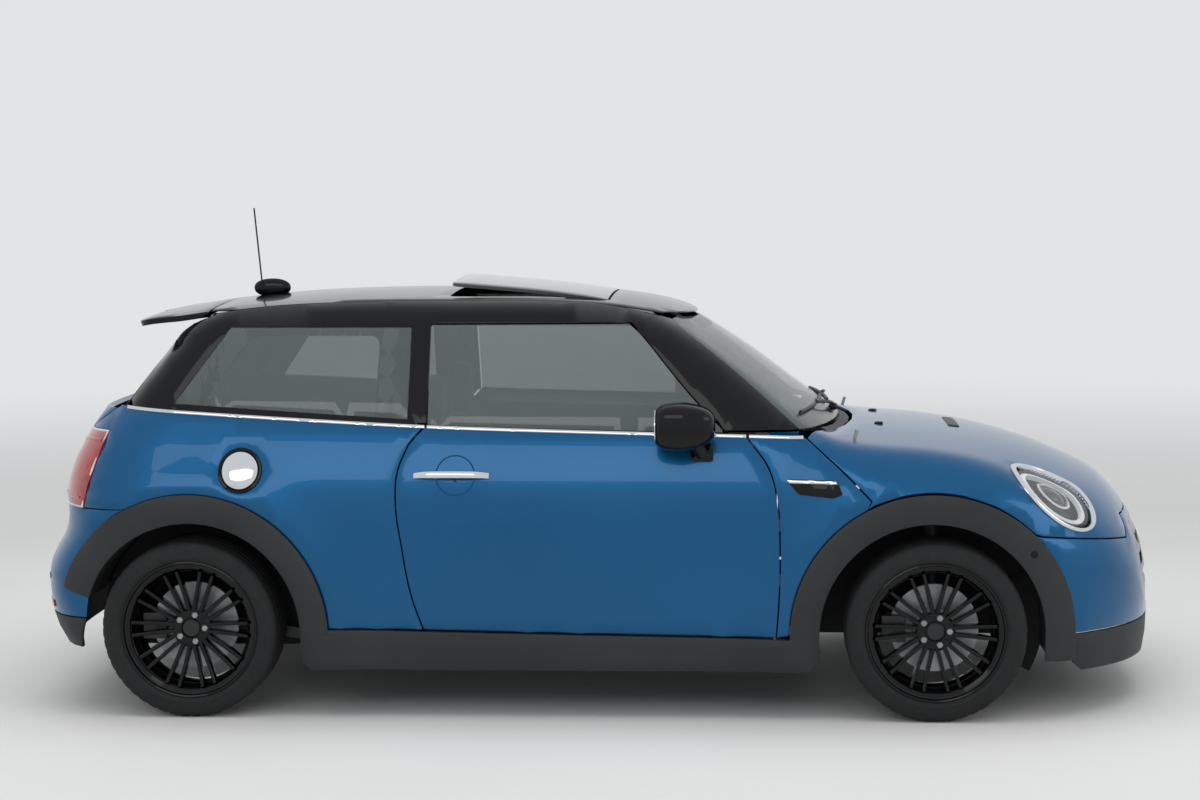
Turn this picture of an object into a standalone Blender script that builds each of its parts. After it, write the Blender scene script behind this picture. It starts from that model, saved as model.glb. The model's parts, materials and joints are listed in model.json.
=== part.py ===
"""A small three-door hatchback at its real size, in metres.

+X points to the nose, +Y to the car's left side and +Z up. The origin lies on the
ground under the middle of the car. Body panels are pieces of two smooth forms: the
lower body and the cabin. Each form is a field that is negative inside, zero on the
skin and positive outside. A panel is an outline filled with triangles, laid on the
skin along rays and thickened along the skin's normal.
"""

import math

import bmesh
import bpy
import numpy as np
from mathutils import Matrix, Vector, geometry

# Overall sizes of the body
LENGTH = 3.876
BODY_WIDTH = 1.727
BODY_HEIGHT = 1.414
HALF_LENGTH = LENGTH / 2
HALF_WIDTH = BODY_WIDTH / 2

# Wheels
WHEELBASE = 2.495
FRONT_AXLE_X = 1.145
REAR_AXLE_X = FRONT_AXLE_X - WHEELBASE
HALF_TRACK = 0.7425
TYRE_RADIUS = 0.300
TYRE_WIDTH = 0.205
RIM_RADIUS = 0.232
RIM_SEAT_RADIUS = 0.216
RIM_WALL = 0.012
HUB_RADIUS = 0.072
DISC_RADIUS = 0.147
DISC_THICKNESS = 0.022
SPOKE_PAIRS = 10
SPOKE_WIDTH = 0.011
SPOKE_DEPTH = 0.028
WHEEL_SIDES = 22

# Gaps
SEAT_GAP = 0.0003
CURVE_GAP = 0.0008
CHORD_ROOM = 0.005
PANEL_GAP = 0.005
SWING_GAP = 0.006
OVERRUN = 0.02

# Wall thicknesses
SKIN = 0.004
BONNET_SKIN = 0.010
BUMPER_WALL = 0.012
WALL_DEPTH = 0.055
DOOR_DEPTH = 0.085
ROOF_DEPTH = 0.026
PILLAR_DEPTH = 0.022
GLASS = 0.005
TRIM_WALL = 0.006
FLOOR_WALL = 0.018

# Wheel arches
ARCH_OUTER_RADIUS = 0.468
ARCH_INNER_RADIUS = 0.372
ARCH_Z = 0.288
ARCH_SHIFT = -0.010
TRIM_PROUD = 0.010
FLARE_HEIGHT = 0.016
FLARE_REACH = 0.085
LINER_Y = 0.600

# Belt strip, sill and shut lines
STRIP_HEIGHT = 0.012
SILL_TRIM_BOTTOM_Z = 0.165
BUMPER_LOW_Z = 0.285
VALANCE_LOW_Z = 0.150
REAR_VALANCE_Z = 0.330
REAR_LOW_Z = 0.215
TAILGATE_LOW_Z = 0.605
LAMP_INNER_Y = 0.570
TAILGATE_HALF = 0.560
FLANGE = 0.032
POST_FLANGE = 0.070

# Mesh fineness
STEP = 0.120
FINE_STEP = 0.060
DEEP_SLOPE = 0.010
SOLVER_STEPS = 34
NORMAL_STEP = 0.0005
FAR = 1.6

# Shares of half length (x) and of body height (z)
BONNET_PROFILE_SHARES = [
    (0.232, 0.92), (0.31, 0.82), (0.361, 0.735), (0.402, 0.692), (0.45, 0.672), (0.494, 0.665),
    (0.608, 0.654), (0.707, 0.635), (0.784, 0.607), (0.826, 0.586), (0.863, 0.564),
    (0.898, 0.541), (0.924, 0.515), (0.956, 0.47), (0.973, 0.438), (0.987, 0.402),
    (0.996, 0.354)]
ROOF_PROFILE_SHARES = [
    (-0.898, 0.909), (-0.846, 0.935), (-0.826, 0.945), (-0.738, 0.967), (-0.593, 0.989),
    (-0.433, 0.999), (-0.232, 1.0), (-0.052, 0.996), (0.052, 0.984), (0.129, 0.963),
    (0.186, 0.935), (0.232, 0.909)]
BELT_SHARES = [
    (-0.88, 0.736), (-0.846, 0.733), (-0.568, 0.709), (-0.272, 0.687), (0.0, 0.675),
    (0.268, 0.665), (0.372, 0.661)]
DOOR_FRONT_LINE_SHARES = [
    (0.320, 0.197), (0.325, 0.287), (0.327, 0.419), (0.324, 0.509), (0.308, 0.598),
    (0.272, 0.665)]
DOOR_REAR_LINE_SHARES = [
    (-0.281, 0.698), (-0.31, 0.653), (-0.327, 0.598), (-0.331, 0.508), (-0.322, 0.417),
    (-0.304, 0.284), (-0.286, 0.212)]
BONNET_SIDE_LINE_SHARES = [(0.373, 0.664), (0.438, 0.583), (0.492, 0.507)]
CANTRAIL_TOP_SHARES = [
    (0.119, 0.943), (0.07, 0.96), (0.01, 0.973), (-0.067, 0.979), (-0.234, 0.982),
    (-0.43, 0.98), (-0.572, 0.971), (-0.678, 0.955)]
PILLAR_FRONT_SHARES = [(0.361, 0.679), (0.258, 0.804), (0.138, 0.934)]
PILLAR_REAR_SHARES = [(0.088, 0.905), (0.192, 0.736), (0.231, 0.682)]
REAR_PILLAR_SHARES = [(-0.698, 0.936), (-0.747, 0.894), (-0.822, 0.75)]

# Shares of body height (z) and of half length (x) or half width (y)
NOSE_PROFILE_SHARES = [
    (0.071, 0.96), (0.099, 0.988), (0.141, 0.997), (0.212, 1.0), (0.318, 1.0),
    (0.375, 0.996), (0.424, 0.986), (0.467, 0.973), (0.509, 0.96), (0.601, 0.96)]
TAIL_PROFILE_SHARES = [
    (0.106, 0.929), (0.141, 0.962), (0.177, 0.98), (0.233, 0.995), (0.297, 1.0),
    (0.354, 0.996), (0.4, 0.979), (0.431, 0.966), (0.467, 0.962), (0.523, 0.963),
    (0.601, 0.95), (0.686, 0.916), (0.736, 0.89)]
SIDE_PROFILE_SHARES = [
    (0.099, 0.921), (0.141, 0.94), (0.212, 0.959), (0.297, 0.97), (0.389, 0.976),
    (0.467, 0.975), (0.523, 0.97), (0.566, 0.96), (0.608, 0.94), (0.651, 0.917),
    (0.693, 0.889), (0.75, 0.851)]
SIDE_TAPER_SHARES = [
    (-1.0, 0.965), (-0.70, 0.988), (-0.30, 1.0), (0.20, 1.0), (0.45, 0.993),
    (0.60, 0.986), (0.80, 0.968), (1.0, 0.93)]

# Curvature of the forms, per metre
NOSE_BOW = 0.30
BOW_START_X = 0.95
BOW_FULL_X = 1.60
TAIL_BOW = 0.10
BONNET_CROWN = 0.07
ROOF_CROWN = 0.09
SCREEN_BOW = 0.28
REAR_GLASS_BOW = 0.15
CABIN_TAPER = 0.050

# Cabin sides
CABIN_HALF_WIDTH = 0.762
CABIN_BELT_Z = 0.970
CABIN_MIDDLE_X = -0.350
TUMBLEHOME = 0.40
SCREEN_BASE_SHARES = (0.457, 0.658)
SCREEN_TOP_SHARES = (0.197, 0.924)
REAR_GLASS_BASE_SHARES = (-0.877, 0.707)
REAR_GLASS_TOP_SHARES = (-0.767, 0.894)

# Radii of the rounded meetings between faces of the forms
NOSE_CORNER = 0.42
TAIL_CORNER = 0.30
SHOULDER = 0.10
HEADER = 0.07
CANTRAIL = 0.075
PILLAR_ROUND = 0.09

# Rays round the lower body: a straight side, a fan at the corner, then the end
FAN_Y = 0.40
NOSE_FAN_X = 1.30
TAIL_FAN_X = -1.42
FAN_LENGTH = 0.60

# Rays over the bonnet: a flat plate whose rim fans out
PLATE_Z = 0.60
PLATE_X = 1.45
PLATE_Y = 0.55
PLATE_FAN_LENGTH = 0.30

# Joint axes
DOOR_AXIS_AHEAD = 0.045
DOOR_AXIS_DEPTH = 0.0165
BONNET_AXIS_X = 0.655
BONNET_AXIS_Z = 0.925
TAILGATE_AXIS_AHEAD = 0.025
TAILGATE_AXIS_DEPTH = 0.018
KINGPIN_LOW_Y = 0.675
KINGPIN_LOW_Z = 0.185
KINGPIN_TOP_Y = 0.520
KINGPIN_TOP_Z = 0.790

# Colours as linear red, green and blue
BLUE = (0.020, 0.130, 0.300)
GLOSS_BLACK = (0.008, 0.008, 0.010)
TRIM_GREY = (0.040, 0.040, 0.042)
GLASS_TINT = (0.10, 0.13, 0.13)
LENS = (0.75, 0.78, 0.80)
RED = (0.45, 0.01, 0.02)
RUBBER = (0.012, 0.012, 0.013)
METAL = (0.45, 0.45, 0.46)
UNDERBODY = (0.05, 0.05, 0.055)
SEAT_CLOTH = (0.03, 0.03, 0.033)


# Starting from an empty scene

for old in list(bpy.data.objects):
    bpy.data.objects.remove(old)


# Materials

def material(name, colour, roughness, metallic=0.0, alpha=1.0):
    made = bpy.data.materials.new(name)
    made.use_nodes = True
    shader = made.node_tree.nodes["Principled BSDF"]
    shader.inputs["Base Color"].default_value = (*colour, 1.0)
    shader.inputs["Roughness"].default_value = roughness
    shader.inputs["Metallic"].default_value = metallic
    shader.inputs["Alpha"].default_value = alpha
    return made


PAINT = material("blue_paint", BLUE, roughness=0.25, metallic=0.5)
BLACK_PAINT = material("black_paint", GLOSS_BLACK, roughness=0.15)
PLASTIC = material("trim_plastic", TRIM_GREY, roughness=0.65)
WINDOW = material("window_glass", GLASS_TINT, roughness=0.05, alpha=0.4)
CLEAR_LENS = material("clear_lens", LENS, roughness=0.08)
RED_LENS = material("red_lens", RED, roughness=0.12)
TYRE_RUBBER = material("tyre_rubber", RUBBER, roughness=0.80)
STEEL = material("steel", METAL, roughness=0.45, metallic=1.0)
UNDERSEAL = material("underseal", UNDERBODY, roughness=0.85)
CLOTH = material("seat_cloth", SEAT_CLOTH, roughness=0.90)


# Curves and outlines

def in_metres(shares, across=HALF_LENGTH, up=BODY_HEIGHT):
    return [(a * across, b * up) for a, b in shares]


def curve_through(points):
    """A smooth function through the points, straight beyond its two ends."""
    xs, ys = np.array(sorted(points)).T
    slopes = np.gradient(ys, xs)

    def value(x):
        x = np.asarray(x, float)
        i = np.clip(np.searchsorted(xs, x) - 1, 0, len(xs) - 2)
        width = xs[i + 1] - xs[i]
        t = (x - xs[i]) / width
        inside = np.clip(t, 0, 1)
        a = 2 * inside**3 - 3 * inside**2 + 1
        b = inside**3 - 2 * inside**2 + inside
        c = inside**3 - inside**2
        middle = a * ys[i] + (1 - a) * ys[i + 1] + width * (b * slopes[i] + c * slopes[i + 1])
        end_slope = np.where(t < 0, slopes[i], slopes[i + 1])
        return middle + (t - inside) * width * end_slope

    return value


def smooth_line(points, spacing=FINE_STEP):
    """Points along a smooth curve through the given ones."""
    points = np.array(points, float)
    places = np.concatenate([[0], np.cumsum(np.linalg.norm(np.diff(points, axis=0), axis=1))])
    count = max(2, round(places[-1] / spacing) + 1)
    wanted = np.linspace(0, places[-1], count)
    return [
        tuple(p) for p in np.stack(
            [curve_through(list(zip(places, points[:, k])))(wanted) for k in range(2)], axis=1)
    ]


def arc(centre, radius, start, end, count):
    angles = np.radians(np.linspace(start, end, count))
    return [(centre[0] + radius * math.cos(a), centre[1] + radius * math.sin(a)) for a in angles]


def angle_at_height(centre, radius, z):
    """The angle in degrees, from 0 to 90, at which the circle reaches height z."""
    return math.degrees(math.asin((z - centre[1]) / radius))


def ellipse(centre, half_long, half_short, turn, count):
    c, s = math.cos(math.radians(turn)), math.sin(math.radians(turn))
    loop = []
    for k in range(count):
        a = 2 * math.pi * k / count
        u, v = half_long * math.cos(a), half_short * math.sin(a)
        loop.append((centre[0] + c * u - s * v, centre[1] + s * u + c * v))
    return loop


def area(loop):
    x, y = np.array(loop).T
    return 0.5 * float(np.sum(x * np.roll(y, -1) - y * np.roll(x, -1)))


def inset(loop, distance):
    """The loop moved inward by the distance, with mitred corners."""
    points = np.array(loop, float)
    if area(loop) < 0:
        points = points[::-1]
    before = points - np.roll(points, 1, axis=0)
    after = np.roll(points, -1, axis=0) - points
    before /= np.linalg.norm(before, axis=1)[:, None]
    after /= np.linalg.norm(after, axis=1)[:, None]
    left_before = np.stack([-before[:, 1], before[:, 0]], axis=1)
    left_after = np.stack([-after[:, 1], after[:, 0]], axis=1)
    middle = left_before + left_after
    scale = 1 / np.maximum(0.5, (middle * left_before).sum(axis=1))
    return [tuple(p) for p in points + middle * scale[:, None] * distance]


def inside(points, loop):
    """Which of the points lie inside the loop."""
    x, y = points[:, 0][:, None], points[:, 1][:, None]
    x0, y0 = np.array(loop).T
    x1, y1 = np.roll(x0, -1), np.roll(y0, -1)
    spans = (y0 > y) != (y1 > y)
    rise = np.where(y1 == y0, 1.0, y1 - y0)
    crossing = x0 + (y - y0) / rise * (x1 - x0)
    return (spans & (x < crossing)).sum(axis=1) % 2 == 1


def divided(loop, step):
    """The loop with its long edges cut into pieces no longer than the step."""
    made = []
    for a, b in zip(loop, loop[1:] + loop[:1]):
        pieces = max(1, math.ceil(math.dist(a, b) / step))
        made += [(a[0] + (b[0] - a[0]) * k / pieces, a[1] + (b[1] - a[1]) * k / pieces)
                 for k in range(pieces)]
    return made


INNER_ROOM_SHARE = 0.62
ROW_SHARE = 0.866
JOIN = 1e-5


def filled(outline, holes, lines, step, stretch):
    """A flat mesh that fills the outline less the holes, with edges along the lines."""
    squeeze = np.array([1 / stretch, 1.0])
    loops = [divided([tuple(np.array(p) * squeeze) for p in loop], step)
             for loop in [outline, *holes, *lines]]
    gaps = loops[1:1 + len(holes)]
    rim = np.concatenate([np.array(loop) for loop in loops])
    low, high = rim.min(axis=0), rim.max(axis=0)
    rows = np.arange(low[1] + step / 2, high[1], step * ROW_SHARE)
    grid = np.array([(x + (k % 2) * step / 2, y) for k, y in enumerate(rows)
                     for x in np.arange(low[0], high[0], step)])
    if len(grid):
        keep = inside(grid, loops[0])
        for hole in gaps:
            keep &= ~inside(grid, hole)
        grid = grid[keep]
    if len(grid):
        room = np.linalg.norm(grid[:, None] - rim[None], axis=2).min(axis=1)
        grid = grid[room > step * INNER_ROOM_SHARE]
    edges, start = [], 0
    for loop in loops:
        edges += [(start + k, start + (k + 1) % len(loop)) for k in range(len(loop))]
        start += len(loop)
    every = np.concatenate([rim, grid]) if len(grid) else rim
    points, _, triangles, _, _, _ = geometry.delaunay_2d_cdt(
        [Vector(p) for p in every], edges, [], 0, JOIN)
    points = np.array([tuple(p) for p in points])
    triangles = np.array([tuple(t) for t in triangles])
    middles = points[triangles].mean(axis=1)
    keep = inside(middles, loops[0])
    for hole in gaps:
        keep &= ~inside(middles, hole)
    triangles = triangles[keep]
    used, places = np.unique(triangles, return_inverse=True)
    return points[used] / squeeze, places.reshape(-1, 3)


# The two forms

def rounded_meeting(a, b, radius):
    """The larger of two fields, with the edge where they meet rounded."""
    near = np.maximum(radius - np.abs(a - b), 0) / radius
    return np.maximum(a, b) + near * near * radius / 4


belt_z = curve_through(in_metres(BELT_SHARES))
bonnet_z = curve_through(in_metres(BONNET_PROFILE_SHARES))
roof_z = curve_through(in_metres(ROOF_PROFILE_SHARES))
nose_x = curve_through(in_metres(NOSE_PROFILE_SHARES, BODY_HEIGHT, HALF_LENGTH))
tail_x = curve_through(in_metres(TAIL_PROFILE_SHARES, BODY_HEIGHT, HALF_LENGTH))
side_y = curve_through(in_metres(SIDE_PROFILE_SHARES, BODY_HEIGHT, HALF_WIDTH))
side_taper = curve_through(in_metres(SIDE_TAPER_SHARES, HALF_LENGTH, 1))
ARCH_CENTRES = [(FRONT_AXLE_X + ARCH_SHIFT, ARCH_Z), (REAR_AXLE_X - ARCH_SHIFT / 2, ARCH_Z)]


def flare(x, z):
    """How far the body swells out round the wheel arches."""
    swell = 0
    for cx, cz in ARCH_CENTRES:
        away = (np.hypot(x - cx, z - cz) - ARCH_OUTER_RADIUS) / FLARE_REACH
        swell = swell + FLARE_HEIGHT * np.exp(-away * away)
    return swell


def nose_bow(x, y):
    """How far back the nose's curve in plan sets a point, fading out over the bonnet."""
    share = np.clip((x - BOW_START_X) / (BOW_FULL_X - BOW_START_X), 0, 1)
    return NOSE_BOW * y * y * share * share * (3 - 2 * share)


def lower_body(p):
    """Negative inside the lower body, from the nose to the tail."""
    x, y, z = p.T
    side = np.abs(y) - side_y(z) * side_taper(x) - flare(x, z)
    front = rounded_meeting(side, x + NOSE_BOW * y * y - nose_x(z), NOSE_CORNER)
    ends = rounded_meeting(front, -x + TAIL_BOW * y * y - tail_x(z), TAIL_CORNER)
    top = z - bonnet_z(x + nose_bow(x, y)) + BONNET_CROWN * y * y
    with_top = rounded_meeting(ends, top, SHOULDER)
    return np.where(x > 0, with_top, ends)


def leaning(base_shares, top_shares):
    """A straight line in side view, as x for a given z, and the share that squares it."""
    (x0, z0), (x1, z1) = in_metres([base_shares, top_shares])
    slope = (x1 - x0) / (z1 - z0)
    return x0, z0, slope, 1 / math.hypot(1, slope)


SCREEN_X, SCREEN_Z, SCREEN_SLOPE, SCREEN_SQUARE = leaning(SCREEN_BASE_SHARES, SCREEN_TOP_SHARES)
REAR_X, REAR_Z, REAR_SLOPE, REAR_SQUARE = leaning(REAR_GLASS_BASE_SHARES, REAR_GLASS_TOP_SHARES)


def cabin_side(p):
    x, y, z = p.T
    half = CABIN_HALF_WIDTH - CABIN_TAPER * (x - CABIN_MIDDLE_X) ** 2
    return np.abs(y) - half + TUMBLEHOME * (z - CABIN_BELT_Z)


def roof_only(p):
    """The roof's own surface, carried on past the rear glass for the spoiler."""
    x, y, z = p.T
    return rounded_meeting(z - roof_z(x) + ROOF_CROWN * y * y, cabin_side(p), CANTRAIL)


def cabin(p):
    """Negative inside the cabin, above the belt."""
    x, y, z = p.T
    screen = (x + SCREEN_BOW * y * y - SCREEN_X - SCREEN_SLOPE * (z - SCREEN_Z)) * SCREEN_SQUARE
    rear = (REAR_X + REAR_SLOPE * (z - REAR_Z) - x + REAR_GLASS_BOW * y * y) * REAR_SQUARE
    top = z - roof_z(x) + ROOF_CROWN * y * y
    ends = rounded_meeting(cabin_side(p), rounded_meeting(screen, rear, HEADER), PILLAR_ROUND)
    return rounded_meeting(ends, top, CANTRAIL)


def skin_point(field, origin, direction):
    """Where each ray leaves the form, and the skin's normal there."""
    near, far = np.zeros(len(origin)), np.full(len(origin), FAR)
    for _ in range(SOLVER_STEPS):
        middle = (near + far) / 2
        within = field(origin + direction * middle[:, None]) < 0
        near, far = np.where(within, middle, near), np.where(within, far, middle)
    points = origin + direction * near[:, None]
    slopes = [field(points + step) - field(points - step) for step in np.eye(3) * NORMAL_STEP]
    normals = np.stack(slopes, axis=1)
    return points, normals / np.linalg.norm(normals, axis=1)[:, None]


# Rays that lay a flat outline on a form. The right side has negative y.

def from_side(field):
    """(x, z) seen from the right side."""
    def place(flat):
        origin = np.stack([flat[:, 0], np.zeros(len(flat)), flat[:, 1]], axis=1)
        return skin_point(field, origin, np.tile([0.0, -1.0, 0.0], (len(flat), 1)))
    return place


def from_above(field, base_z):
    """(x, y) seen from above."""
    def place(flat):
        origin = np.stack([flat[:, 0], flat[:, 1], np.full(len(flat), base_z)], axis=1)
        return skin_point(field, origin, np.tile([0.0, 0.0, 1.0], (len(flat), 1)))
    return place


def from_end(field, base_x, way):
    """(y, z) seen from the front (way 1) or the back (way -1)."""
    def place(flat):
        origin = np.stack([np.full(len(flat), base_x), flat[:, 0], flat[:, 1]], axis=1)
        return skin_point(field, origin, np.tile([float(way), 0.0, 0.0], (len(flat), 1)))
    return place


def round_end(field, fan_x):
    """(s, z), where s runs along the right side, round the end and back on the left side."""
    way = math.copysign(1, fan_x)
    start, centre = abs(fan_x), abs(fan_x) + FAN_LENGTH + FAN_Y

    def place(flat):
        s, z = flat[:, 0], flat[:, 1]
        left = s > centre
        s = np.where(left, 2 * centre - s, s)
        turn = np.clip((s - start) / FAN_LENGTH, 0, 1) * math.pi / 2
        x = np.minimum(s, start) * way
        y = np.minimum(0, -FAN_Y + np.maximum(s - start - FAN_LENGTH, 0))
        side = np.where(left, -1.0, 1.0)
        origin = np.stack([x, y * side, z], axis=1)
        direction = np.stack([way * np.sin(turn), -np.cos(turn) * side, np.zeros(len(s))], axis=1)
        return skin_point(field, origin, direction)
    return place


def end_centre(fan_x):
    return abs(fan_x) + FAN_LENGTH + FAN_Y


SEARCH_STEPS = 40


def s_where(fan_x, z, axis, value):
    """The s at height z where the skin's x (axis 0) or y (axis 1) has this value."""
    place = round_end(lower_body, fan_x)
    low, high = 0.0, end_centre(fan_x)
    way = math.copysign(1, fan_x)
    for _ in range(SEARCH_STEPS):
        middle = (low + high) / 2
        point = place(np.array([[middle, z]]))[0][0]
        past = point[0] * way > abs(value) if axis == 0 else point[1] > -abs(value)
        low, high = (low, middle) if past else (middle, high)
    return (low + high) / 2


def over_plate(field):
    """(p, q) laid over the bonnet: level in the middle, folded down at the front and sides."""
    def place(flat):
        p, q = flat[:, 0], flat[:, 1]
        ex = np.maximum(p - PLATE_X, 0)
        ey = np.sign(q) * np.maximum(np.abs(q) - PLATE_Y, 0)
        reach = np.hypot(ex, ey)
        tilt = reach / PLATE_FAN_LENGTH
        safe = np.where(reach > 0, reach, 1)
        direction = np.stack([np.sin(tilt) * ex / safe, np.sin(tilt) * ey / safe,
                              np.cos(tilt)], axis=1)
        origin = np.stack([np.minimum(p, PLATE_X), np.clip(q, -PLATE_Y, PLATE_Y),
                           np.full(len(flat), PLATE_Z)], axis=1)
        return skin_point(field, origin, direction)
    return place


def onto_plate(point):
    """The (p, q) of a point in space."""
    ex = max(point[0] - PLATE_X, 0)
    ey = math.copysign(max(abs(point[1]) - PLATE_Y, 0), point[1])
    reach = math.hypot(ex, ey)
    if reach == 0:
        return point[0], point[1]
    tilt = math.atan2(reach, point[2] - PLATE_Z) * PLATE_FAN_LENGTH / reach
    p = PLATE_X + ex * tilt if ex > 0 else point[0]
    q = math.copysign(PLATE_Y, point[1]) + ey * tilt if ey else point[1]
    return p, q


# Meshes

def mesh_object(name, points, faces, look):
    mesh = bpy.data.meshes.new(name)
    mesh.from_pydata([tuple(map(float, p)) for p in points], [],
                     [tuple(map(int, f)) for f in faces])
    work = bmesh.new()
    work.from_mesh(mesh)
    bmesh.ops.recalc_face_normals(work, faces=work.faces)
    work.to_mesh(mesh)
    work.free()
    made = bpy.data.objects.new(name, mesh)
    bpy.context.scene.collection.objects.link(made)
    mesh.materials.append(look)
    return made


def sheet(name, outline, place, outer, inner, look, holes=(), step=STEP, stretch=1.0,
          deep=None, depth=0.0):
    """A closed panel that lies from depth outer to depth inner under the skin.

    Inside the loop called deep, which is set in from the panel's edge, it is as thick as
    depth instead.
    """
    lines = [inset(deep, -DEEP_SLOPE), deep] if deep else []
    flat, triangles = filled(list(outline), [list(h) for h in holes], lines, step, stretch)
    points, normals = place(flat)
    count = len(points)
    back = np.full(count, inner)
    if deep:
        back[inside(flat, inset(deep, -DEEP_SLOPE / 2))] = depth
    both = np.concatenate([points - normals * outer, points - normals * back[:, None]])
    faces = [tuple(t) for t in triangles] + [tuple(t[::-1] + count) for t in triangles]
    ends = np.concatenate([triangles[:, [0, 1]], triangles[:, [1, 2]], triangles[:, [2, 0]]])
    once = {}
    for a, b in ends:
        key = (min(a, b), max(a, b))
        once[key] = None if key in once else (a, b)
    faces += [(b, a, a + count, b + count) for a, b in filter(None, once.values())]
    return mesh_object(name, both, faces, look)


def mirrored(source, name):
    """A copy on the other side of the car."""
    graph = bpy.context.evaluated_depsgraph_get()
    mesh = bpy.data.meshes.new_from_object(source.evaluated_get(graph))
    mesh.transform(source.matrix_world)
    mesh.transform(Matrix.Diagonal((1, -1, 1, 1)))
    mesh.flip_normals()
    mesh.name = name
    made = bpy.data.objects.new(name, mesh)
    bpy.context.scene.collection.objects.link(made)
    return made


def helper(made):
    made.hide_render = True
    made.display_type = "WIRE"
    return made


def combine(target, other, operation):
    change = target.modifiers.new(f"{operation.lower()}_{other.name}", "BOOLEAN")
    change.operation = operation
    change.solver = "EXACT"
    change.object = helper(other)
    return target


def fuse(target, *others):
    for other in others:
        combine(target, other, "UNION")
    return target


def cut(target, *others):
    for other in others:
        combine(target, other, "DIFFERENCE")
    return target


def settled(made):
    """The object with its modifiers turned into plain mesh."""
    graph = bpy.context.evaluated_depsgraph_get()
    mesh = bpy.data.meshes.new_from_object(made.evaluated_get(graph))
    made.modifiers.clear()
    made.data = mesh
    return made


def prism(name, outline, low, high, look, axis="Y"):
    """An outline pushed from low to high along Y, X or Z."""
    turn = {"Y": lambda a, b, d: (a, d, b), "X": lambda a, b, d: (d, a, b),
            "Z": lambda a, b, d: (a, b, d)}[axis]
    count = len(outline)
    points = [turn(a, b, low) for a, b in outline] + [turn(a, b, high) for a, b in outline]
    faces = [tuple(range(count)), tuple(range(2 * count - 1, count - 1, -1))]
    faces += [(k, (k + 1) % count, (k + 1) % count + count, k + count) for k in range(count)]
    return mesh_object(name, points, faces, look)


def block(name, low, high, look):
    outline = [(low[0], low[2]), (high[0], low[2]), (high[0], high[2]), (low[0], high[2])]
    return prism(name, outline, low[1], high[1], look)


def tube(name, points, radius, sides, look):
    """A round bar along a path, with flat ends."""
    points = [Vector(p) for p in points]
    rings, across = [], None
    for k, point in enumerate(points):
        ahead = points[min(k + 1, len(points) - 1)] - points[max(k - 1, 0)]
        ahead.normalize()
        if across is None:
            across = ahead.orthogonal().normalized()
        across = (across - ahead * across.dot(ahead)).normalized()
        other = ahead.cross(across)
        rings.append([point + radius * (math.cos(a) * across + math.sin(a) * other)
                      for a in (2 * math.pi * (j + 0.5) / sides for j in range(sides))])
    every = [p for ring in rings for p in ring]
    faces = [tuple(range(sides)),
             tuple(range(len(every) - 1, len(every) - sides - 1, -1))]
    for k in range(len(rings) - 1):
        faces += [(k * sides + j, k * sides + (j + 1) % sides,
                   (k + 1) * sides + (j + 1) % sides, (k + 1) * sides + j)
                  for j in range(sides)]
    return mesh_object(name, every, faces, look)


def turned(name, profile, sides, look):
    """A closed profile of (radius, y) turned round the Y axis, flat side down."""
    count = len(profile)
    outward = 1 / math.cos(math.pi / sides)
    points = []
    for k in range(sides):
        a = 2 * math.pi * (k + 0.5) / sides - math.pi / 2
        points += [(r * outward * math.cos(a), y, r * outward * math.sin(a)) for r, y in profile]
    faces = [(k * count + j, k * count + (j + 1) % count,
              (k + 1) % sides * count + (j + 1) % count, (k + 1) % sides * count + j)
             for k in range(sides) for j in range(count)]
    return mesh_object(name, points, faces, look)


def curtain(name, outline, place, outer, end_y, look, step=STEP, stretch=1.0):
    """A closed solid from a depth under the right-hand skin straight inward to y = -end_y."""
    made = sheet(name, outline, place, outer, outer + TRIM_WALL, look, (), step, stretch)
    count = len(made.data.vertices) // 2
    for vertex in list(made.data.vertices)[count:]:
        front = made.data.vertices[vertex.index - count].co
        vertex.co = (front.x, -end_y, front.z)
    return made


# Outlines in side view, shared by the panels on both sides of each shut line

ARC_STEP = 9
BONNET_ARCH_ANGLE = 117
BUMPER_ARCH_ANGLE = 45
QUARTER_ARCH_ANGLE = 117
TAIL_ARCH_ANGLE = 162
FRONT_ARCH, REAR_ARCH = ARCH_CENTRES
LOW_SIDE = from_side(lower_body)
CABIN_SIDE = from_side(cabin)
TAIL = round_end(lower_body, TAIL_FAN_X)
NOSE = round_end(lower_body, NOSE_FAN_X)


def arch(centre, radius, start, end):
    return arc(centre, radius, start, end, abs(end - start) // ARC_STEP + 1)


def belt_line(start, end, lift, count=9):
    return [(x, float(belt_z(x)) + lift) for x in np.linspace(start, end, count)]


DOOR_FRONT = smooth_line(in_metres(DOOR_FRONT_LINE_SHARES))
DOOR_REAR = smooth_line(in_metres(DOOR_REAR_LINE_SHARES)[1:])
DOOR_REAR_TOP_X = in_metres(DOOR_REAR_LINE_SHARES)[0][0]
BONNET_SIDE = smooth_line(in_metres(BONNET_SIDE_LINE_SHARES))
PILLAR_FRONT = smooth_line(in_metres(PILLAR_FRONT_SHARES))
PILLAR_REAR = smooth_line(in_metres(PILLAR_REAR_SHARES))
CANTRAIL_TOP = smooth_line(in_metres(CANTRAIL_TOP_SHARES), STEP)
DOOR_OUTLINE = [
    *DOOR_FRONT,
    *belt_line(DOOR_FRONT[-1][0] - STRIP_HEIGHT, DOOR_REAR_TOP_X, STRIP_HEIGHT),
    *DOOR_REAR]
WINDOW_TOP_Z = 1.316
DOOR_AXIS_X = max(x for x, z in DOOR_FRONT) + PANEL_GAP / 2 + DOOR_AXIS_AHEAD
DOOR_AXIS_Y = -(max(-LOW_SIDE(np.array(DOOR_FRONT))[0][:, 1]) - DOOR_AXIS_DEPTH)


# Doors

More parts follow.
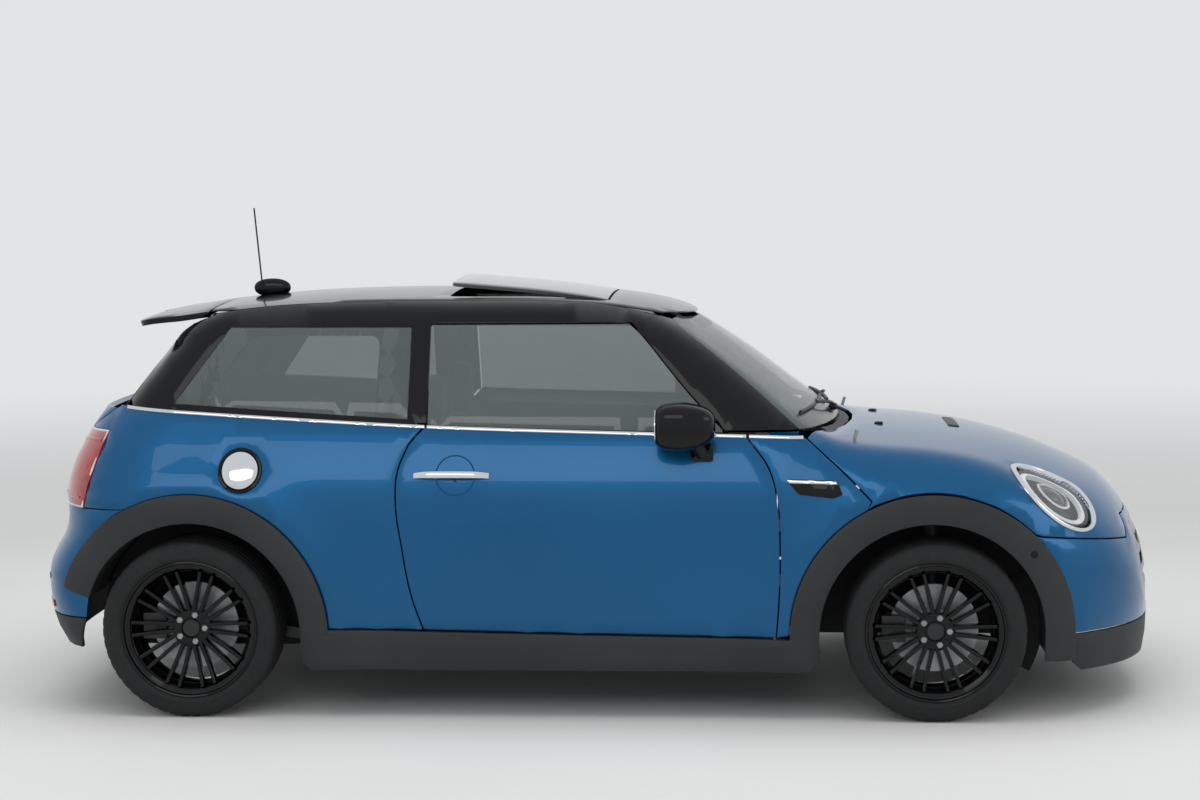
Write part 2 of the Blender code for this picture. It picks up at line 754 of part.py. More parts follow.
HINGE_RADIUS = 0.005
HINGE_HEIGHT = 0.040
HINGE_ARM = 0.005
HINGE_REACH = 0.053
HINGE_ARM_DEPTH = 0.014
HINGE_LUG = 0.014
HINGE_HEIGHT_SHARES = (0.33, 0.46)
DOOR_TOP_FLANGE = 0.006
HANDLE_SHARES = (-0.299, -0.170)
HANDLE_Z = 0.820
HANDLE_HEIGHT = 0.026
HANDLE_STAND_OFF = 0.022
HANDLE_THICKNESS = 0.014
HANDLE_END = 0.030


def circle(centre, radius, count=12):
    return arc(centre, radius, 0, 360 * (count - 1) / count, count)


def rectangle(x0, z0, x1, z1):
    return [(x0, z0), (x1, z0), (x1, z1), (x0, z1)]


def door_box_outline():
    """The thick inner part of the door, set back from its edges."""
    front = [(x - POST_FLANGE, z) for x, z in DOOR_FRONT[:-1]]
    low = DOOR_FRONT[0][1] + FLANGE
    front = [(x, max(z, low)) for x, z in front if z > low - FLANGE]
    rear = [(x + FLANGE, max(z, low)) for x, z in DOOR_REAR]
    top = belt_line(front[-1][0] - FLANGE, DOOR_REAR_TOP_X + FLANGE, -DOOR_TOP_FLANGE)
    return front + top + rear


def make_door():
    shell = sheet("door_right", inset(DOOR_OUTLINE, PANEL_GAP / 2), LOW_SIDE, 0, SKIN, PAINT,
                  deep=door_box_outline(), depth=DOOR_DEPTH)
    parts = []
    for share in HINGE_HEIGHT_SHARES:
        z = share * BODY_HEIGHT
        low, high = z - HINGE_HEIGHT / 2, z + HINGE_HEIGHT / 2
        parts.append(prism("door_barrel", circle((DOOR_AXIS_X, DOOR_AXIS_Y), HINGE_RADIUS),
                           low, high, STEEL, "Z"))
        arm = [(DOOR_AXIS_X - HINGE_ARM, DOOR_AXIS_Y), (DOOR_AXIS_X + HINGE_ARM, DOOR_AXIS_Y),
               (DOOR_AXIS_X + HINGE_ARM, DOOR_AXIS_Y + HINGE_REACH),
               (DOOR_AXIS_X - POST_FLANGE - FLANGE - DOOR_AXIS_AHEAD,
                DOOR_AXIS_Y + HINGE_REACH),
               (DOOR_AXIS_X - POST_FLANGE - FLANGE - DOOR_AXIS_AHEAD,
                DOOR_AXIS_Y + HINGE_REACH - HINGE_ARM_DEPTH),
               (DOOR_AXIS_X - HINGE_ARM, DOOR_AXIS_Y + HINGE_REACH - HINGE_ARM_DEPTH)]
        parts.append(prism("door_arm", arm, low, high, STEEL, "Z"))
    start, end = (share * HALF_LENGTH for share in HANDLE_SHARES)
    bar = rectangle(start, HANDLE_Z - HANDLE_HEIGHT / 2, end, HANDLE_Z + HANDLE_HEIGHT / 2)
    parts.append(sheet("handle_bar", bar, LOW_SIDE, -HANDLE_STAND_OFF - HANDLE_THICKNESS,
                       -HANDLE_STAND_OFF, STEEL))
    for x in (start, end - HANDLE_END):
        foot = rectangle(x + HINGE_ARM / 2, HANDLE_Z - HANDLE_HEIGHT / 3,
                         x + HANDLE_END - HINGE_ARM / 2, HANDLE_Z + HANDLE_HEIGHT / 3)
        parts.append(sheet("handle_foot", foot, LOW_SIDE,
                           -HANDLE_STAND_OFF - HANDLE_THICKNESS / 2, FLANGE, STEEL))
    return settled(fuse(shell, *parts))


door_right = make_door()
door_left = mirrored(door_right, "door_left")


def inset_line(line, distance):
    """An open line moved sideways, along x."""
    return [(x + distance, z) for x, z in line]


def door_glass_outline():
    base = STRIP_HEIGHT + SEAT_GAP
    rear_x = DOOR_REAR_TOP_X + PANEL_GAP / 2
    front = inset_line(PILLAR_REAR, -PANEL_GAP)
    front = [p for p in front if p[1] < WINDOW_TOP_Z - PANEL_GAP]
    top = [(front[0][0] - FLANGE - PANEL_GAP, WINDOW_TOP_Z - PANEL_GAP),
           (rear_x, WINDOW_TOP_Z - PANEL_GAP)]
    low = [p for p in belt_line(rear_x, front[-1][0], base)]
    front = [p for p in front if p[1] > low[-1][1] + PANEL_GAP]
    return top + low + front[::-1]


door_glass_right = sheet("door_glass_right", door_glass_outline(), CABIN_SIDE, 0, GLASS, WINDOW)
door_glass_left = mirrored(door_glass_right, "door_glass_left")

# Mirrors, on the front upper corner of each door

MIRROR_CENTRE = (0.320, -0.878, 0.990)
MIRROR_HALF = (0.085, 0.088, 0.072)
MIRROR_SHIFT = 0.014
MIRROR_FOOT = rectangle(0.340, 0.865, 0.415, 0.925)
MIRROR_PAD = 0.010
MIRROR_STALK_RADIUS = 0.020
MIRROR_ROUND = 0.030
MIRROR_NOSE_SHARE = 0.22


def make_mirror():
    pad = sheet("door_mirror_right", MIRROR_FOOT, LOW_SIDE, -CURVE_GAP - MIRROR_PAD, -CURVE_GAP,
                BLACK_PAINT)
    x, y, z = MIRROR_CENTRE
    hx, hy, hz = MIRROR_HALF
    shell = block("mirror_shell", (x - hx, y - hy, z - hz), (x + hx, y + hy, z + hz), BLACK_PAINT)
    shape = bmesh.new()
    shape.from_mesh(shell.data)
    bmesh.ops.bevel(shape, geom=shape.edges[:], offset=MIRROR_ROUND, segments=2, profile=0.5,
                    affect="EDGES")
    for vertex in shape.verts:
        if vertex.co.x > x:
            ahead = (vertex.co.x - x) / hx
            vertex.co.y = y + (vertex.co.y - y) * (1 - ahead * MIRROR_NOSE_SHARE)
            vertex.co.z = z + (vertex.co.z - z) * (1 - ahead * MIRROR_NOSE_SHARE)
    shape.to_mesh(shell.data)
    shape.free()
    middle_x = sum(p[0] for p in MIRROR_FOOT) / len(MIRROR_FOOT)
    middle_z = sum(p[1] for p in MIRROR_FOOT) / len(MIRROR_FOOT)
    pad_y = float(LOW_SIDE(np.array([(middle_x, middle_z)]))[0][0][1])
    stalk = tube("mirror_stalk",
                 [(middle_x, pad_y - MIRROR_PAD, middle_z),
                  (middle_x - MIRROR_SHIFT, (pad_y + y) / 2, middle_z + MIRROR_SHIFT),
                  (x + MIRROR_SHIFT, y + MIRROR_SHIFT, z - hz / 2)],
                 MIRROR_STALK_RADIUS, 8, BLACK_PAINT)
    return settled(fuse(pad, stalk, shell))


door_mirror_right = make_mirror()
door_mirror_left = mirrored(door_mirror_right, "door_mirror_left")

# Front wings, behind the clamshell bonnet

POST_FRONT_X = DOOR_AXIS_X + HINGE_RADIUS + PANEL_GAP
FENDER_OUTLINE = [
    *DOOR_FRONT,
    *belt_line(DOOR_FRONT[-1][0] + STRIP_HEIGHT, BONNET_SIDE[0][0] - STRIP_HEIGHT, STRIP_HEIGHT, 4),
    *BONNET_SIDE[:-1],
    *arch(FRONT_ARCH, ARCH_OUTER_RADIUS, BONNET_ARCH_ANGLE, 180)]
fender_right = sheet("fender_right", inset(FENDER_OUTLINE, PANEL_GAP / 2), LOW_SIDE, 0, SKIN, PAINT,
                     step=FINE_STEP)
fender_left = mirrored(fender_right, "fender_left")

# Plastic cladding on each side: both arch trims, their liners and the sill trim

SILL_LINE = [DOOR_FRONT[0], DOOR_REAR[-1]]
LINER_WALL = 0.005
LINER_FROM = -9
LINER_SET = 0.002
TRIM_REACH = PANEL_GAP / 2 - CURVE_GAP


def sill_z(x, drop):
    (x0, z0), (x1, z1) = SILL_LINE
    return z0 + (z1 - z0) * (x - x0) / (x1 - x0) - drop


def cladding_outline():
    outer, inner = ARCH_OUTER_RADIUS + TRIM_REACH, ARCH_INNER_RADIUS
    low = SILL_TRIM_BOTTOM_Z
    fx, rx = FRONT_ARCH[0], REAR_ARCH[0]
    drop = PANEL_GAP / 2
    return [
        (fx + outer, low + FLANGE), *arch(FRONT_ARCH, outer, 0, 180),
        (fx - outer + SEAT_GAP, sill_z(fx - outer, drop)),
        (rx + outer - SEAT_GAP, sill_z(rx + outer, drop)),
        *arch(REAR_ARCH, outer, 0, TAIL_ARCH_ANGLE),
        *arch(REAR_ARCH, inner, TAIL_ARCH_ANGLE, 0),
        (rx + inner, low + FLANGE), (rx + inner + FLANGE, low), (fx - inner - FLANGE, low),
        (fx - inner, low + FLANGE), *arch(FRONT_ARCH, inner, 180, 0),
        (fx + inner, low + FLANGE)]


def liner(centre, start, end):
    radius = ARCH_INNER_RADIUS + LINER_SET
    ring = arch(centre, radius + LINER_WALL, start, end) + arch(centre, radius, end, start)
    return curtain("arch_liner", ring, LOW_SIDE, SKIN / 2, LINER_Y, PLASTIC)


def make_cladding():
    trim = sheet("cladding_right", cladding_outline(), LOW_SIDE, -TRIM_PROUD, SKIN, PLASTIC,
                 step=STEP, stretch=1.3)
    return settled(fuse(trim, liner(FRONT_ARCH, LINER_FROM, 180 - LINER_FROM),
                        liner(REAR_ARCH, LINER_FROM, TAIL_ARCH_ANGLE)))


cladding_right = make_cladding()
cladding_left = mirrored(cladding_right, "cladding_left")


# Body sides: quarter panel, sill, posts and the frame round the windows

LAMP_FRONT_SHARES = [(-0.890, 0.497), (-0.871, 0.588), (-0.847, 0.680)]
LAMP_TOP_Z = 0.962
LAMP_LOW_Z = 0.703
QUARTER_END_X = -1.610
QUARTER_GLASS_SHARES = [(-0.315, 0.708), (-0.315, 0.922), (-0.640, 0.922), (-0.735, 0.742)]
FUEL_CENTRE = (-1.168, 0.837)
FUEL_HOLE_RADIUS = 0.074
FUEL_CAP_PROUD = 0.010
SILL_INNER_Y = 0.700
SILL_LOW_Z = 0.178
SILL_DROP = 0.014
SILL_START_X = -0.930
SILL_STEP_X = (-0.860, -0.660)
SILL_STEP_Z = 0.370
POST_INNER_Y = 0.700
POST_LOW_Z = 0.240
POST_TOP_Z = 0.900
POST_END_X = 0.748
FOOT_DROP = 0.033
FOOT_START_X = 0.600
FOOT_END_X = 0.696
FOOT_LOW_Z = 0.870
FOOT_TOP_Z = 0.953
FOOT_Y = (0.655, 0.722)
WALL_FROM_LAMP = 0.045


def tail_s(points):
    """Side-view points as (s, z) round the tail."""
    return [(-x if -x <= -TAIL_FAN_X else s_where(TAIL_FAN_X, z, 0, x), z) for x, z in points]


def nose_s(points):
    """Side-view points as (s, z) round the nose."""
    return [(x if x <= NOSE_FAN_X else s_where(NOSE_FAN_X, z, 0, x), z) for x, z in points]


def end_s(fan_x, points):
    """Points seen from the end, (y, z), as (s, z)."""
    return [(s_where(fan_x, z, 1, y), z) for y, z in points]


def whole_end(fan_x, right):
    """A run of (s, z) points on the right side, followed by its mirror image on the left."""
    centre = end_centre(fan_x)
    return [*right, *[(2 * centre - s, z) for s, z in right[::-1]]]


LAMP_FRONT = tail_s(in_metres(LAMP_FRONT_SHARES))
LAMP_INNER = end_s(TAIL_FAN_X, [(LAMP_INNER_Y, LAMP_TOP_Z), (LAMP_INNER_Y, LAMP_LOW_Z)])
LAMP_TOP = smooth_line([LAMP_FRONT[-1], LAMP_INNER[0]], STEP / 3)
LAMP_BOTTOM = smooth_line([LAMP_INNER[1], LAMP_FRONT[0]], STEP / 3)
QUARTER_END = tail_s([(QUARTER_END_X, float(belt_z(QUARTER_END_X)) + STRIP_HEIGHT)])


def quarter_outline():
    rear_arch_x = REAR_ARCH[0] + ARCH_OUTER_RADIUS
    foot = [(DOOR_REAR[-1][0] - PANEL_GAP, sill_z(DOOR_REAR[-1][0], 0)),
            (rear_arch_x, sill_z(rear_arch_x, 0))]
    round_arch = arch(REAR_ARCH, ARCH_OUTER_RADIUS, ARC_STEP, QUARTER_ARCH_ANGLE)
    belt = belt_line(QUARTER_END_X, DOOR_REAR_TOP_X - PANEL_GAP, STRIP_HEIGHT)
    return [*tail_s(DOOR_REAR), *tail_s(foot), *tail_s(round_arch), *LAMP_FRONT[:-1],
            *LAMP_TOP, *QUARTER_END, *tail_s(belt[1:])]


def quarter_wall_outline():
    """The double-walled part of the quarter panel, set back from its edges."""
    front = [(x - FLANGE, z) for x, z in DOOR_REAR if z > SILL_STEP_Z]
    round_arch = arch(REAR_ARCH, ARCH_OUTER_RADIUS + FLANGE, ARC_STEP, QUARTER_ARCH_ANGLE - ARC_STEP)
    lamp = [(s - WALL_FROM_LAMP, z) for s, z in LAMP_FRONT[1:]]
    last_x = QUARTER_END_X + WALL_FROM_LAMP
    top = belt_line(last_x, front[0][0], 0)
    return [*tail_s(front), *tail_s(round_arch), *lamp, *tail_s(top)]


def window_frame_outline():
    """The frame round the side windows, from the front pillar's foot to the tailgate."""
    foot = [(PILLAR_REAR[-1][0], PILLAR_FRONT[0][1])]
    rear = smooth_line(in_metres(REAR_PILLAR_SHARES))
    sill = belt_line(rear[-1][0] + WALL_FROM_LAMP, DOOR_REAR_TOP_X - FLANGE, -FOOT_DROP, 6)
    post = [(DOOR_REAR_TOP_X - FLANGE, STRIP_HEIGHT + PANEL_GAP + float(belt_z(DOOR_REAR_TOP_X))),
            (DOOR_REAR_TOP_X, STRIP_HEIGHT + PANEL_GAP + float(belt_z(DOOR_REAR_TOP_X))),
            (DOOR_REAR_TOP_X, WINDOW_TOP_Z), (PILLAR_REAR[0][0] - FLANGE, WINDOW_TOP_Z)]
    return [*PILLAR_FRONT, *CANTRAIL_TOP, *rear, *sill, *post, *PILLAR_REAR, *foot]


def body_posts():
    """The hidden structure that ties sill, posts, quarter panel and window frame."""
    under_skin = SKIN + CHORD_ROOM
    rear, front = SILL_STEP_X
    sill = [(SILL_START_X, SILL_LOW_Z), (POST_END_X, SILL_LOW_Z),
            (POST_END_X, sill_z(POST_END_X, SILL_DROP)), (front, sill_z(front, SILL_DROP)),
            (front, SILL_STEP_Z), (rear, SILL_STEP_Z), (SILL_START_X, sill_z(rear, SILL_DROP))]
    return [
        curtain("sill", sill, LOW_SIDE, under_skin, SILL_INNER_Y, PAINT),
        curtain("front_post", rectangle(POST_FRONT_X, POST_LOW_Z, POST_END_X, POST_TOP_Z),
                LOW_SIDE, under_skin, POST_INNER_Y, PAINT),
        block("pillar_foot", (FOOT_START_X, -FOOT_Y[1], FOOT_LOW_Z),
              (FOOT_END_X, -FOOT_Y[0], FOOT_TOP_Z), PAINT),
        block("bonnet_lug", (BONNET_AXIS_X - BONNET_LUG, -FOOT_Y[0] - SKIN,
                             BONNET_AXIS_Z - BONNET_LUG),
              (BONNET_AXIS_X + BONNET_LUG, -BONNET_HINGE_Y - SEAT_GAP,
               BONNET_AXIS_Z + BONNET_LUG), STEEL),
    ]


def hinge_lugs():
    """Small ears above and below each door hinge barrel, fixed to the front post."""
    lugs = []
    for share in HINGE_HEIGHT_SHARES:
        for way in (-1, 1):
            near = share * BODY_HEIGHT + way * (HINGE_HEIGHT / 2 + SEAT_GAP)
            low, high = sorted((near, near + way * HINGE_LUG))
            ear = [(DOOR_AXIS_X - HINGE_RADIUS, DOOR_AXIS_Y - HINGE_RADIUS),
                   (POST_FRONT_X + HINGE_LUG, DOOR_AXIS_Y - HINGE_RADIUS / 2),
                   (POST_FRONT_X + HINGE_LUG, DOOR_AXIS_Y + HINGE_LUG),
                   (DOOR_AXIS_X - HINGE_RADIUS, DOOR_AXIS_Y + HINGE_RADIUS)]
            lugs.append(prism("hinge_lug", ear, low, high, STEEL, "Z"))
    return lugs


BONNET_LUG = 0.014
BONNET_HINGE_Y = 0.635


def make_body_side():
    quarter = sheet("body_side_right", inset(quarter_outline(), PANEL_GAP / 2), TAIL, 0, SKIN,
                    PAINT, holes=[tail_s(circle(FUEL_CENTRE, FUEL_HOLE_RADIUS))],
                    deep=quarter_wall_outline(), depth=WALL_DEPTH)
    frame = sheet("window_frame", window_frame_outline(), CABIN_SIDE, 0, PILLAR_DEPTH,
                  BLACK_PAINT, holes=[in_metres(QUARTER_GLASS_SHARES)])
    return settled(fuse(quarter, *body_posts(), frame, *hinge_lugs()))


body_side_right = make_body_side()
body_side_left = mirrored(body_side_right, "body_side_left")

QUARTER_FINENESS = 0.8
QUARTER_GLASS = inset(in_metres(QUARTER_GLASS_SHARES), CURVE_GAP)
quarter_glass_right = sheet("quarter_glass_right", QUARTER_GLASS, CABIN_SIDE, 0, GLASS, WINDOW,
                            step=STEP * QUARTER_FINENESS)
quarter_glass_left = mirrored(quarter_glass_right, "quarter_glass_left")

fuel_cap = sheet("fuel_cap", circle(FUEL_CENTRE, FUEL_HOLE_RADIUS - CURVE_GAP), LOW_SIDE,
                 -FUEL_CAP_PROUD, WALL_DEPTH, STEEL)

# Tail lamps, each wrapped round a rear corner

LAMP_DEPTH = 0.030
LAMP_PROUD = 0.003
LAMP_TRIM = 0.0015
LAMP_OUTLINE = [*LAMP_FRONT[1:-1], *[(s, z - LAMP_TRIM) for s, z in LAMP_TOP],
                *[(s, z + LAMP_TRIM) for s, z in LAMP_BOTTOM]]
tail_lamp_right = sheet("tail_lamp_right", inset(LAMP_OUTLINE, CURVE_GAP - PANEL_GAP / 2), TAIL,
                        -LAMP_PROUD, LAMP_DEPTH, RED_LENS)
tail_lamp_left = mirrored(tail_lamp_right, "tail_lamp_left")

# Roof, windscreen and sunroof

HEADER_X = 0.345
ROOF_REAR_X = -1.330
ROOF_FLANGE = 0.050
ROOF_BASE_Z = 0.9
SUNROOF_SHARES = (-0.262, 0.026)
SUNROOF_HALF = 0.420
SUNROOF_TILT = 0.084
SUNROOF_THICKNESS = 0.012
SCREEN_LOW_Z = 0.957
CABIN_TOP = from_above(cabin, ROOF_BASE_Z)
ROOF_TOP = from_above(roof_only, ROOF_BASE_Z)
SCREEN_FACE = from_end(cabin, 0, 1)
CABIN_BACK = from_end(cabin, CABIN_MIDDLE_X, -1)
LOWER_BACK = from_end(lower_body, CABIN_MIDDLE_X, -1)
LOWER_TOP = from_above(lower_body, PLATE_Z)


def points_of(place, flat):
    return place(np.array(flat))[0]


def both_sides(right):
    """A run of (a, y) points on the right, then its mirror image in reverse."""
    return [*right, *[(a, -y) for a, y in right[::-1]]]


CANTRAIL_POINTS = points_of(CABIN_SIDE, CANTRAIL_TOP)
TAILGATE_AXIS_X = ROOF_REAR_X + TAILGATE_AXIS_AHEAD + PANEL_GAP * 2
TAILGATE_AXIS_Z = float(roof_z(TAILGATE_AXIS_X)) - TAILGATE_AXIS_DEPTH
TAILGATE_HINGE_Y = 0.200
TAILGATE_HINGE_WIDTH = 0.035


def header_line(count=9):
    """The roof's front edge from the right cantrail to the left one, as (x, y)."""
    end_x, end_y, _ = CANTRAIL_POINTS[0]
    return [(end_x + (HEADER_X - end_x) * (1 - (y / end_y) ** 2), y)
            for y in np.linspace(end_y, -end_y, count)]


HEADER_LINE = header_line()
SUNROOF_START, SUNROOF_END = (share * HALF_LENGTH for share in SUNROOF_SHARES)


def make_roof():
    right = [(p[0], p[1]) for p in CANTRAIL_POINTS[:0:-1] if p[0] > ROOF_REAR_X]
    right = [(ROOF_REAR_X, right[0][1]), *right]
    outline = [*right, *HEADER_LINE, *[(x, -y) for x, y in right[::-1]]]
    hole = rectangle(SUNROOF_START, -SUNROOF_HALF, SUNROOF_END, SUNROOF_HALF)
    made = sheet("roof", inset(outline, CURVE_GAP), ROOF_TOP, 0, SKIN, BLACK_PAINT,
                 holes=[hole], stretch=1.5, deep=inset(outline, ROOF_FLANGE), depth=ROOF_DEPTH)
    lugs = []
    for side in (-1, 1):
        near = side * (TAILGATE_HINGE_Y + SEAT_GAP)
        low, high = sorted((near, near + side * HINGE_LUG))
        profile = rectangle(TAILGATE_AXIS_X - HINGE_RADIUS, TAILGATE_AXIS_Z - HINGE_RADIUS,
                            TAILGATE_AXIS_X + FLANGE,
                            TAILGATE_AXIS_Z + TAILGATE_AXIS_DEPTH - SKIN * 2)
        lugs.append(prism("tailgate_lug", profile, low, high, STEEL))
    return settled(fuse(made, *lugs))


roof = make_roof()


def make_sunroof():
    outline = inset(rectangle(SUNROOF_START, -SUNROOF_HALF, SUNROOF_END - SKIN, SUNROOF_HALF),
                    CURVE_GAP)
    made = sheet("sunroof_panel", outline, ROOF_TOP, 0, SUNROOF_THICKNESS, WINDOW, stretch=1.5)
    front = points_of(ROOF_TOP, [(SUNROOF_END, SUNROOF_HALF)])[0]
    pivot = Vector((front[0], 0, front[2]))
    made.data.transform(Matrix.Translation(pivot) @ Matrix.Rotation(SUNROOF_TILT, 4, "Y")
                        @ Matrix.Translation(-pivot))
    return made


sunroof_panel = make_sunroof()


def make_windscreen():
    sides = [(p[1], p[2]) for p in points_of(CABIN_SIDE, PILLAR_FRONT)]
    header = [(p[1], p[2]) for p in points_of(CABIN_TOP, HEADER_LINE)]
    left = [(-y, z) for y, z in sides[::-1]]
    low = [(y, SCREEN_LOW_Z) for y in np.linspace(-sides[0][0], sides[0][0], 7)[1:-1]]
    return sheet("windscreen", inset([*sides, *header[1:-1], *left, *low], CURVE_GAP), SCREEN_FACE,
                 0, GLASS, WINDOW)


windscreen = make_windscreen()

# Bonnet: one clamshell that covers the front, with holes for the headlamps

BONNET_REAR_X = 0.900
BONNET_REAR_BOW = 0.30
BONNET_REAR_Y = 0.700
NOSE_SEAM = [(0.500, 0.571), (0.455, 0.600), (0.420, 0.640), (0.200, 0.640)]
HEADLAMP_CENTRE = (1.555, 0.745)
HEADLAMP_HALF = (0.168, 0.115)
HEADLAMP_LONG = Vector((0.301, -0.040, -0.232))
SEAM_SPACING = 0.060
RING_WIDTH = 0.020
RING_PROUD = 0.006
LENS_DROP = 0.008
LENS_ROOM = 0.010
HEADLAMP_DEPTH = 0.060
HEADLAMP_STEM = 0.022
HEADLAMP_STEM_LOW_Z = 0.600
HEADLAMP_STEM_X = 1.500
HEADLAMP_STEM_Y = 0.590
BONNET_ARM = 0.010
BONNET_ARM_PATH = [(0.000, 0.000), (0.080, -0.100), (0.200, -0.100), (0.240, 0.026)]
BONNET_ARM_WIDTH = 0.030
PLATE = over_plate(lower_body)
NOSE_ARCH_RADIUS = ARCH_OUTER_RADIUS + PANEL_GAP


def on_plate(points):
    return [onto_plate(p) for p in points]


def nose_seam():
    """The shut line between bonnet and bumper, from the right arch to the middle, as (s, z)."""
    arch_end = nose_s(arch(FRONT_ARCH, ARCH_OUTER_RADIUS, BUMPER_ARCH_ANGLE, 0)[:1])
    path = [*arch_end, *end_s(NOSE_FAN_X, NOSE_SEAM)]
    made = []
    for a, b in zip(path, path[1:]):
        made += divided([a, b], SEAM_SPACING)[:max(1, math.ceil(math.dist(a, b) / SEAM_SPACING))]
    return [*made[1:], path[-1]]


def bonnet_outline():
    rear_y = np.linspace(0, -BONNET_REAR_Y, 5)
    rear = points_of(LOWER_TOP, [(BONNET_REAR_X - BONNET_REAR_BOW * y * y, y) for y in rear_y])
    side = points_of(LOW_SIDE, BONNET_SIDE[:-1])
    round_arch = points_of(LOW_SIDE, arch(FRONT_ARCH, NOSE_ARCH_RADIUS, BONNET_ARCH_ANGLE,
                                          BUMPER_ARCH_ANGLE))
    seam = points_of(NOSE, nose_seam())
    right = on_plate([*rear, *side, *round_arch, *seam])
    return [*right, *[(p, -q) for p, q in right[:0:-1]]]


def headlamp_loop(grow, side, count=14):
    """The lamp's outline: an ellipse square to the skin at its centre, laid over the bonnet."""
    centre, normal = (Vector(part[0]) for part in NOSE(np.array(nose_s([HEADLAMP_CENTRE]))))
    long_way = (HEADLAMP_LONG - normal * HEADLAMP_LONG.dot(normal)).normalized()
    short_way = normal.cross(long_way)
    loop = []
    for a, b in ellipse((0, 0), HEADLAMP_HALF[0] + grow, HEADLAMP_HALF[1] + grow, 0, count):
        p, q = onto_plate(centre + long_way * a + short_way * b)
        loop.append((p, q * side))
    return loop


def gooseneck(name, axis_x, axis_z, path, low, high):
    """A bent arm of even width along a path in side view, starting at a joint axis."""
    points = [Vector((axis_x + dx, axis_z + dz)) for dx, dz in path]
    left, right = [], []
    for k, point in enumerate(points):
        before = (point - points[max(k - 1, 0)]).normalized() if k else None
        after = (points[k + 1] - point).normalized() if k + 1 < len(points) else None
        along = ((before or after) + (after or before)).normalized()
        across = Vector((-along.y, along.x)) * BONNET_ARM / 2
        if before and after:
            across /= max(0.5, along.dot(after))
        left.append(tuple(point + across))
        right.append(tuple(point - across))
    return prism(name, [*left, *right[::-1]], low, high, STEEL)


def make_bonnet():
    made = sheet("bonnet", inset(bonnet_outline(), PANEL_GAP / 2), PLATE, 0, BONNET_SKIN, PAINT,
                 holes=[headlamp_loop(0, side) for side in (1, -1)], stretch=1.2)
    parts = []
    for side in (1, -1):
        parts.append(sheet("headlamp_ring", headlamp_loop(RING_WIDTH, side), PLATE, -RING_PROUD,
                           BONNET_SKIN / 2, STEEL, holes=[headlamp_loop(-SKIN / 2, side)]))
        outer = -side * BONNET_HINGE_Y
        low, high = sorted((outer, outer + side * BONNET_ARM_WIDTH))
        parts.append(gooseneck("bonnet_arm", BONNET_AXIS_X, BONNET_AXIS_Z, BONNET_ARM_PATH,
                               low, high))
        parts.append(prism("bonnet_barrel", circle((BONNET_AXIS_X, BONNET_AXIS_Z), BONNET_ARM),
                           low, high, STEEL))
    return settled(fuse(made, *parts))


bonnet = make_bonnet()


def make_headlamp():
    lens = sheet("headlamp_right", headlamp_loop(-LENS_ROOM, 1), PLATE, LENS_DROP,
                 LENS_DROP + HEADLAMP_DEPTH, CLEAR_LENS)
    top_z = points_of(LOWER_TOP, [(HEADLAMP_STEM_X, -HEADLAMP_STEM_Y)])[0][2]
    stem = block("headlamp_stem",
                 (HEADLAMP_STEM_X - HEADLAMP_STEM, -HEADLAMP_STEM_Y - HEADLAMP_STEM,
                  HEADLAMP_STEM_LOW_Z),
                 (HEADLAMP_STEM_X + HEADLAMP_STEM, -HEADLAMP_STEM_Y + HEADLAMP_STEM,
                  top_z - LENS_DROP - HEADLAMP_DEPTH / 2), PLASTIC)
    return settled(fuse(lens, stem))


headlamp_right = make_headlamp()
headlamp_left = mirrored(headlamp_right, "headlamp_left")

# Front bumper, grille and the apron below them

GRILLE_HALF = [(0.360, 0.305), (0.430, 0.450), (0.375, 0.604)]
GRILLE_SLOT_HEIGHT = 0.038
GRILLE_SLOT_ZS = (0.345, 0.410, 0.475, 0.540)
GRILLE_SLOT_MARGIN = 0.045
GRILLE_DROP = 0.004
GRILLE_SPACING = 0.090
VALANCE_SEAM_Z = 0.285


def nose_point_loop(points):
    """Seen from the front, (|y|, z) up the right side, as a whole symmetric loop of (s, z)."""
    return divided(whole_end(NOSE_FAN_X, end_s(NOSE_FAN_X, points)), GRILLE_SPACING)


def bumper_outline():
    round_arch = arch(FRONT_ARCH, ARCH_OUTER_RADIUS + BUMPER_EASE, BUMPER_ARCH_ANGLE, 0)
    foot = [(FRONT_ARCH[0] + ARCH_OUTER_RADIUS, BUMPER_LOW_Z)]
    start = nose_s([*foot, *round_arch[::-1]])
    return whole_end(NOSE_FAN_X, [*start, *nose_seam()])


def both(parts_for):
    """The parts made for the left side (1) and the right side (-1)."""
    return [part for side in (1, -1) for part in parts_for(side)]


def side_block(name, x, y, z, side, look):
    """A block given by its ranges, with y measured outward on the given side."""
    low, high = sorted((y[0] * side, y[1] * side))
    return block(name, (x[0], low, z[0]), (x[1], high, z[1]), look)


BEAM_X = (1.770, 1.800)
BUMPER_TAB = (1.862, (0.437, 0.465), (0.430, 0.490))
VALANCE_TAB = (1.912, (0.300, 0.330), (0.250, 0.275), 1.830, 0.450)
REAR_PANEL_X = -1.723
REAR_TAB = (-1.893, (0.440, 0.490), (0.450, 0.500))
REAR_VALANCE_TAB = (-1.898, (0.330, 0.365), (0.270, 0.295), -1.750, 0.450)
BUMPER_EASE = 0.0015


def tab_parts(tab, face_x):
    """Two small brackets that carry a bumper cover on a flat face at face_x."""
    def parts_for(side):
        near, far = sorted((tab[0], face_x))
        return [side_block("tab", (near, far), tab[1], tab[2], side, PLASTIC)]
    return both(parts_for)


def apron_parts(tab, face_x):
    """Two bent brackets that carry an apron on a flat face at face_x."""
    def parts_for(side):
        foot = side_block("apron_foot", sorted((tab[0], face_x)), tab[1], tab[2], side, PLASTIC)
        rise = side_block("apron_rise", sorted((tab[3], face_x)),
                          (tab[1][0] + SKIN / 2, tab[1][1] - SKIN / 2),
                          (tab[2][0] + SKIN / 2, tab[4]), side, PLASTIC)
        return [foot, rise]
    return both(parts_for)


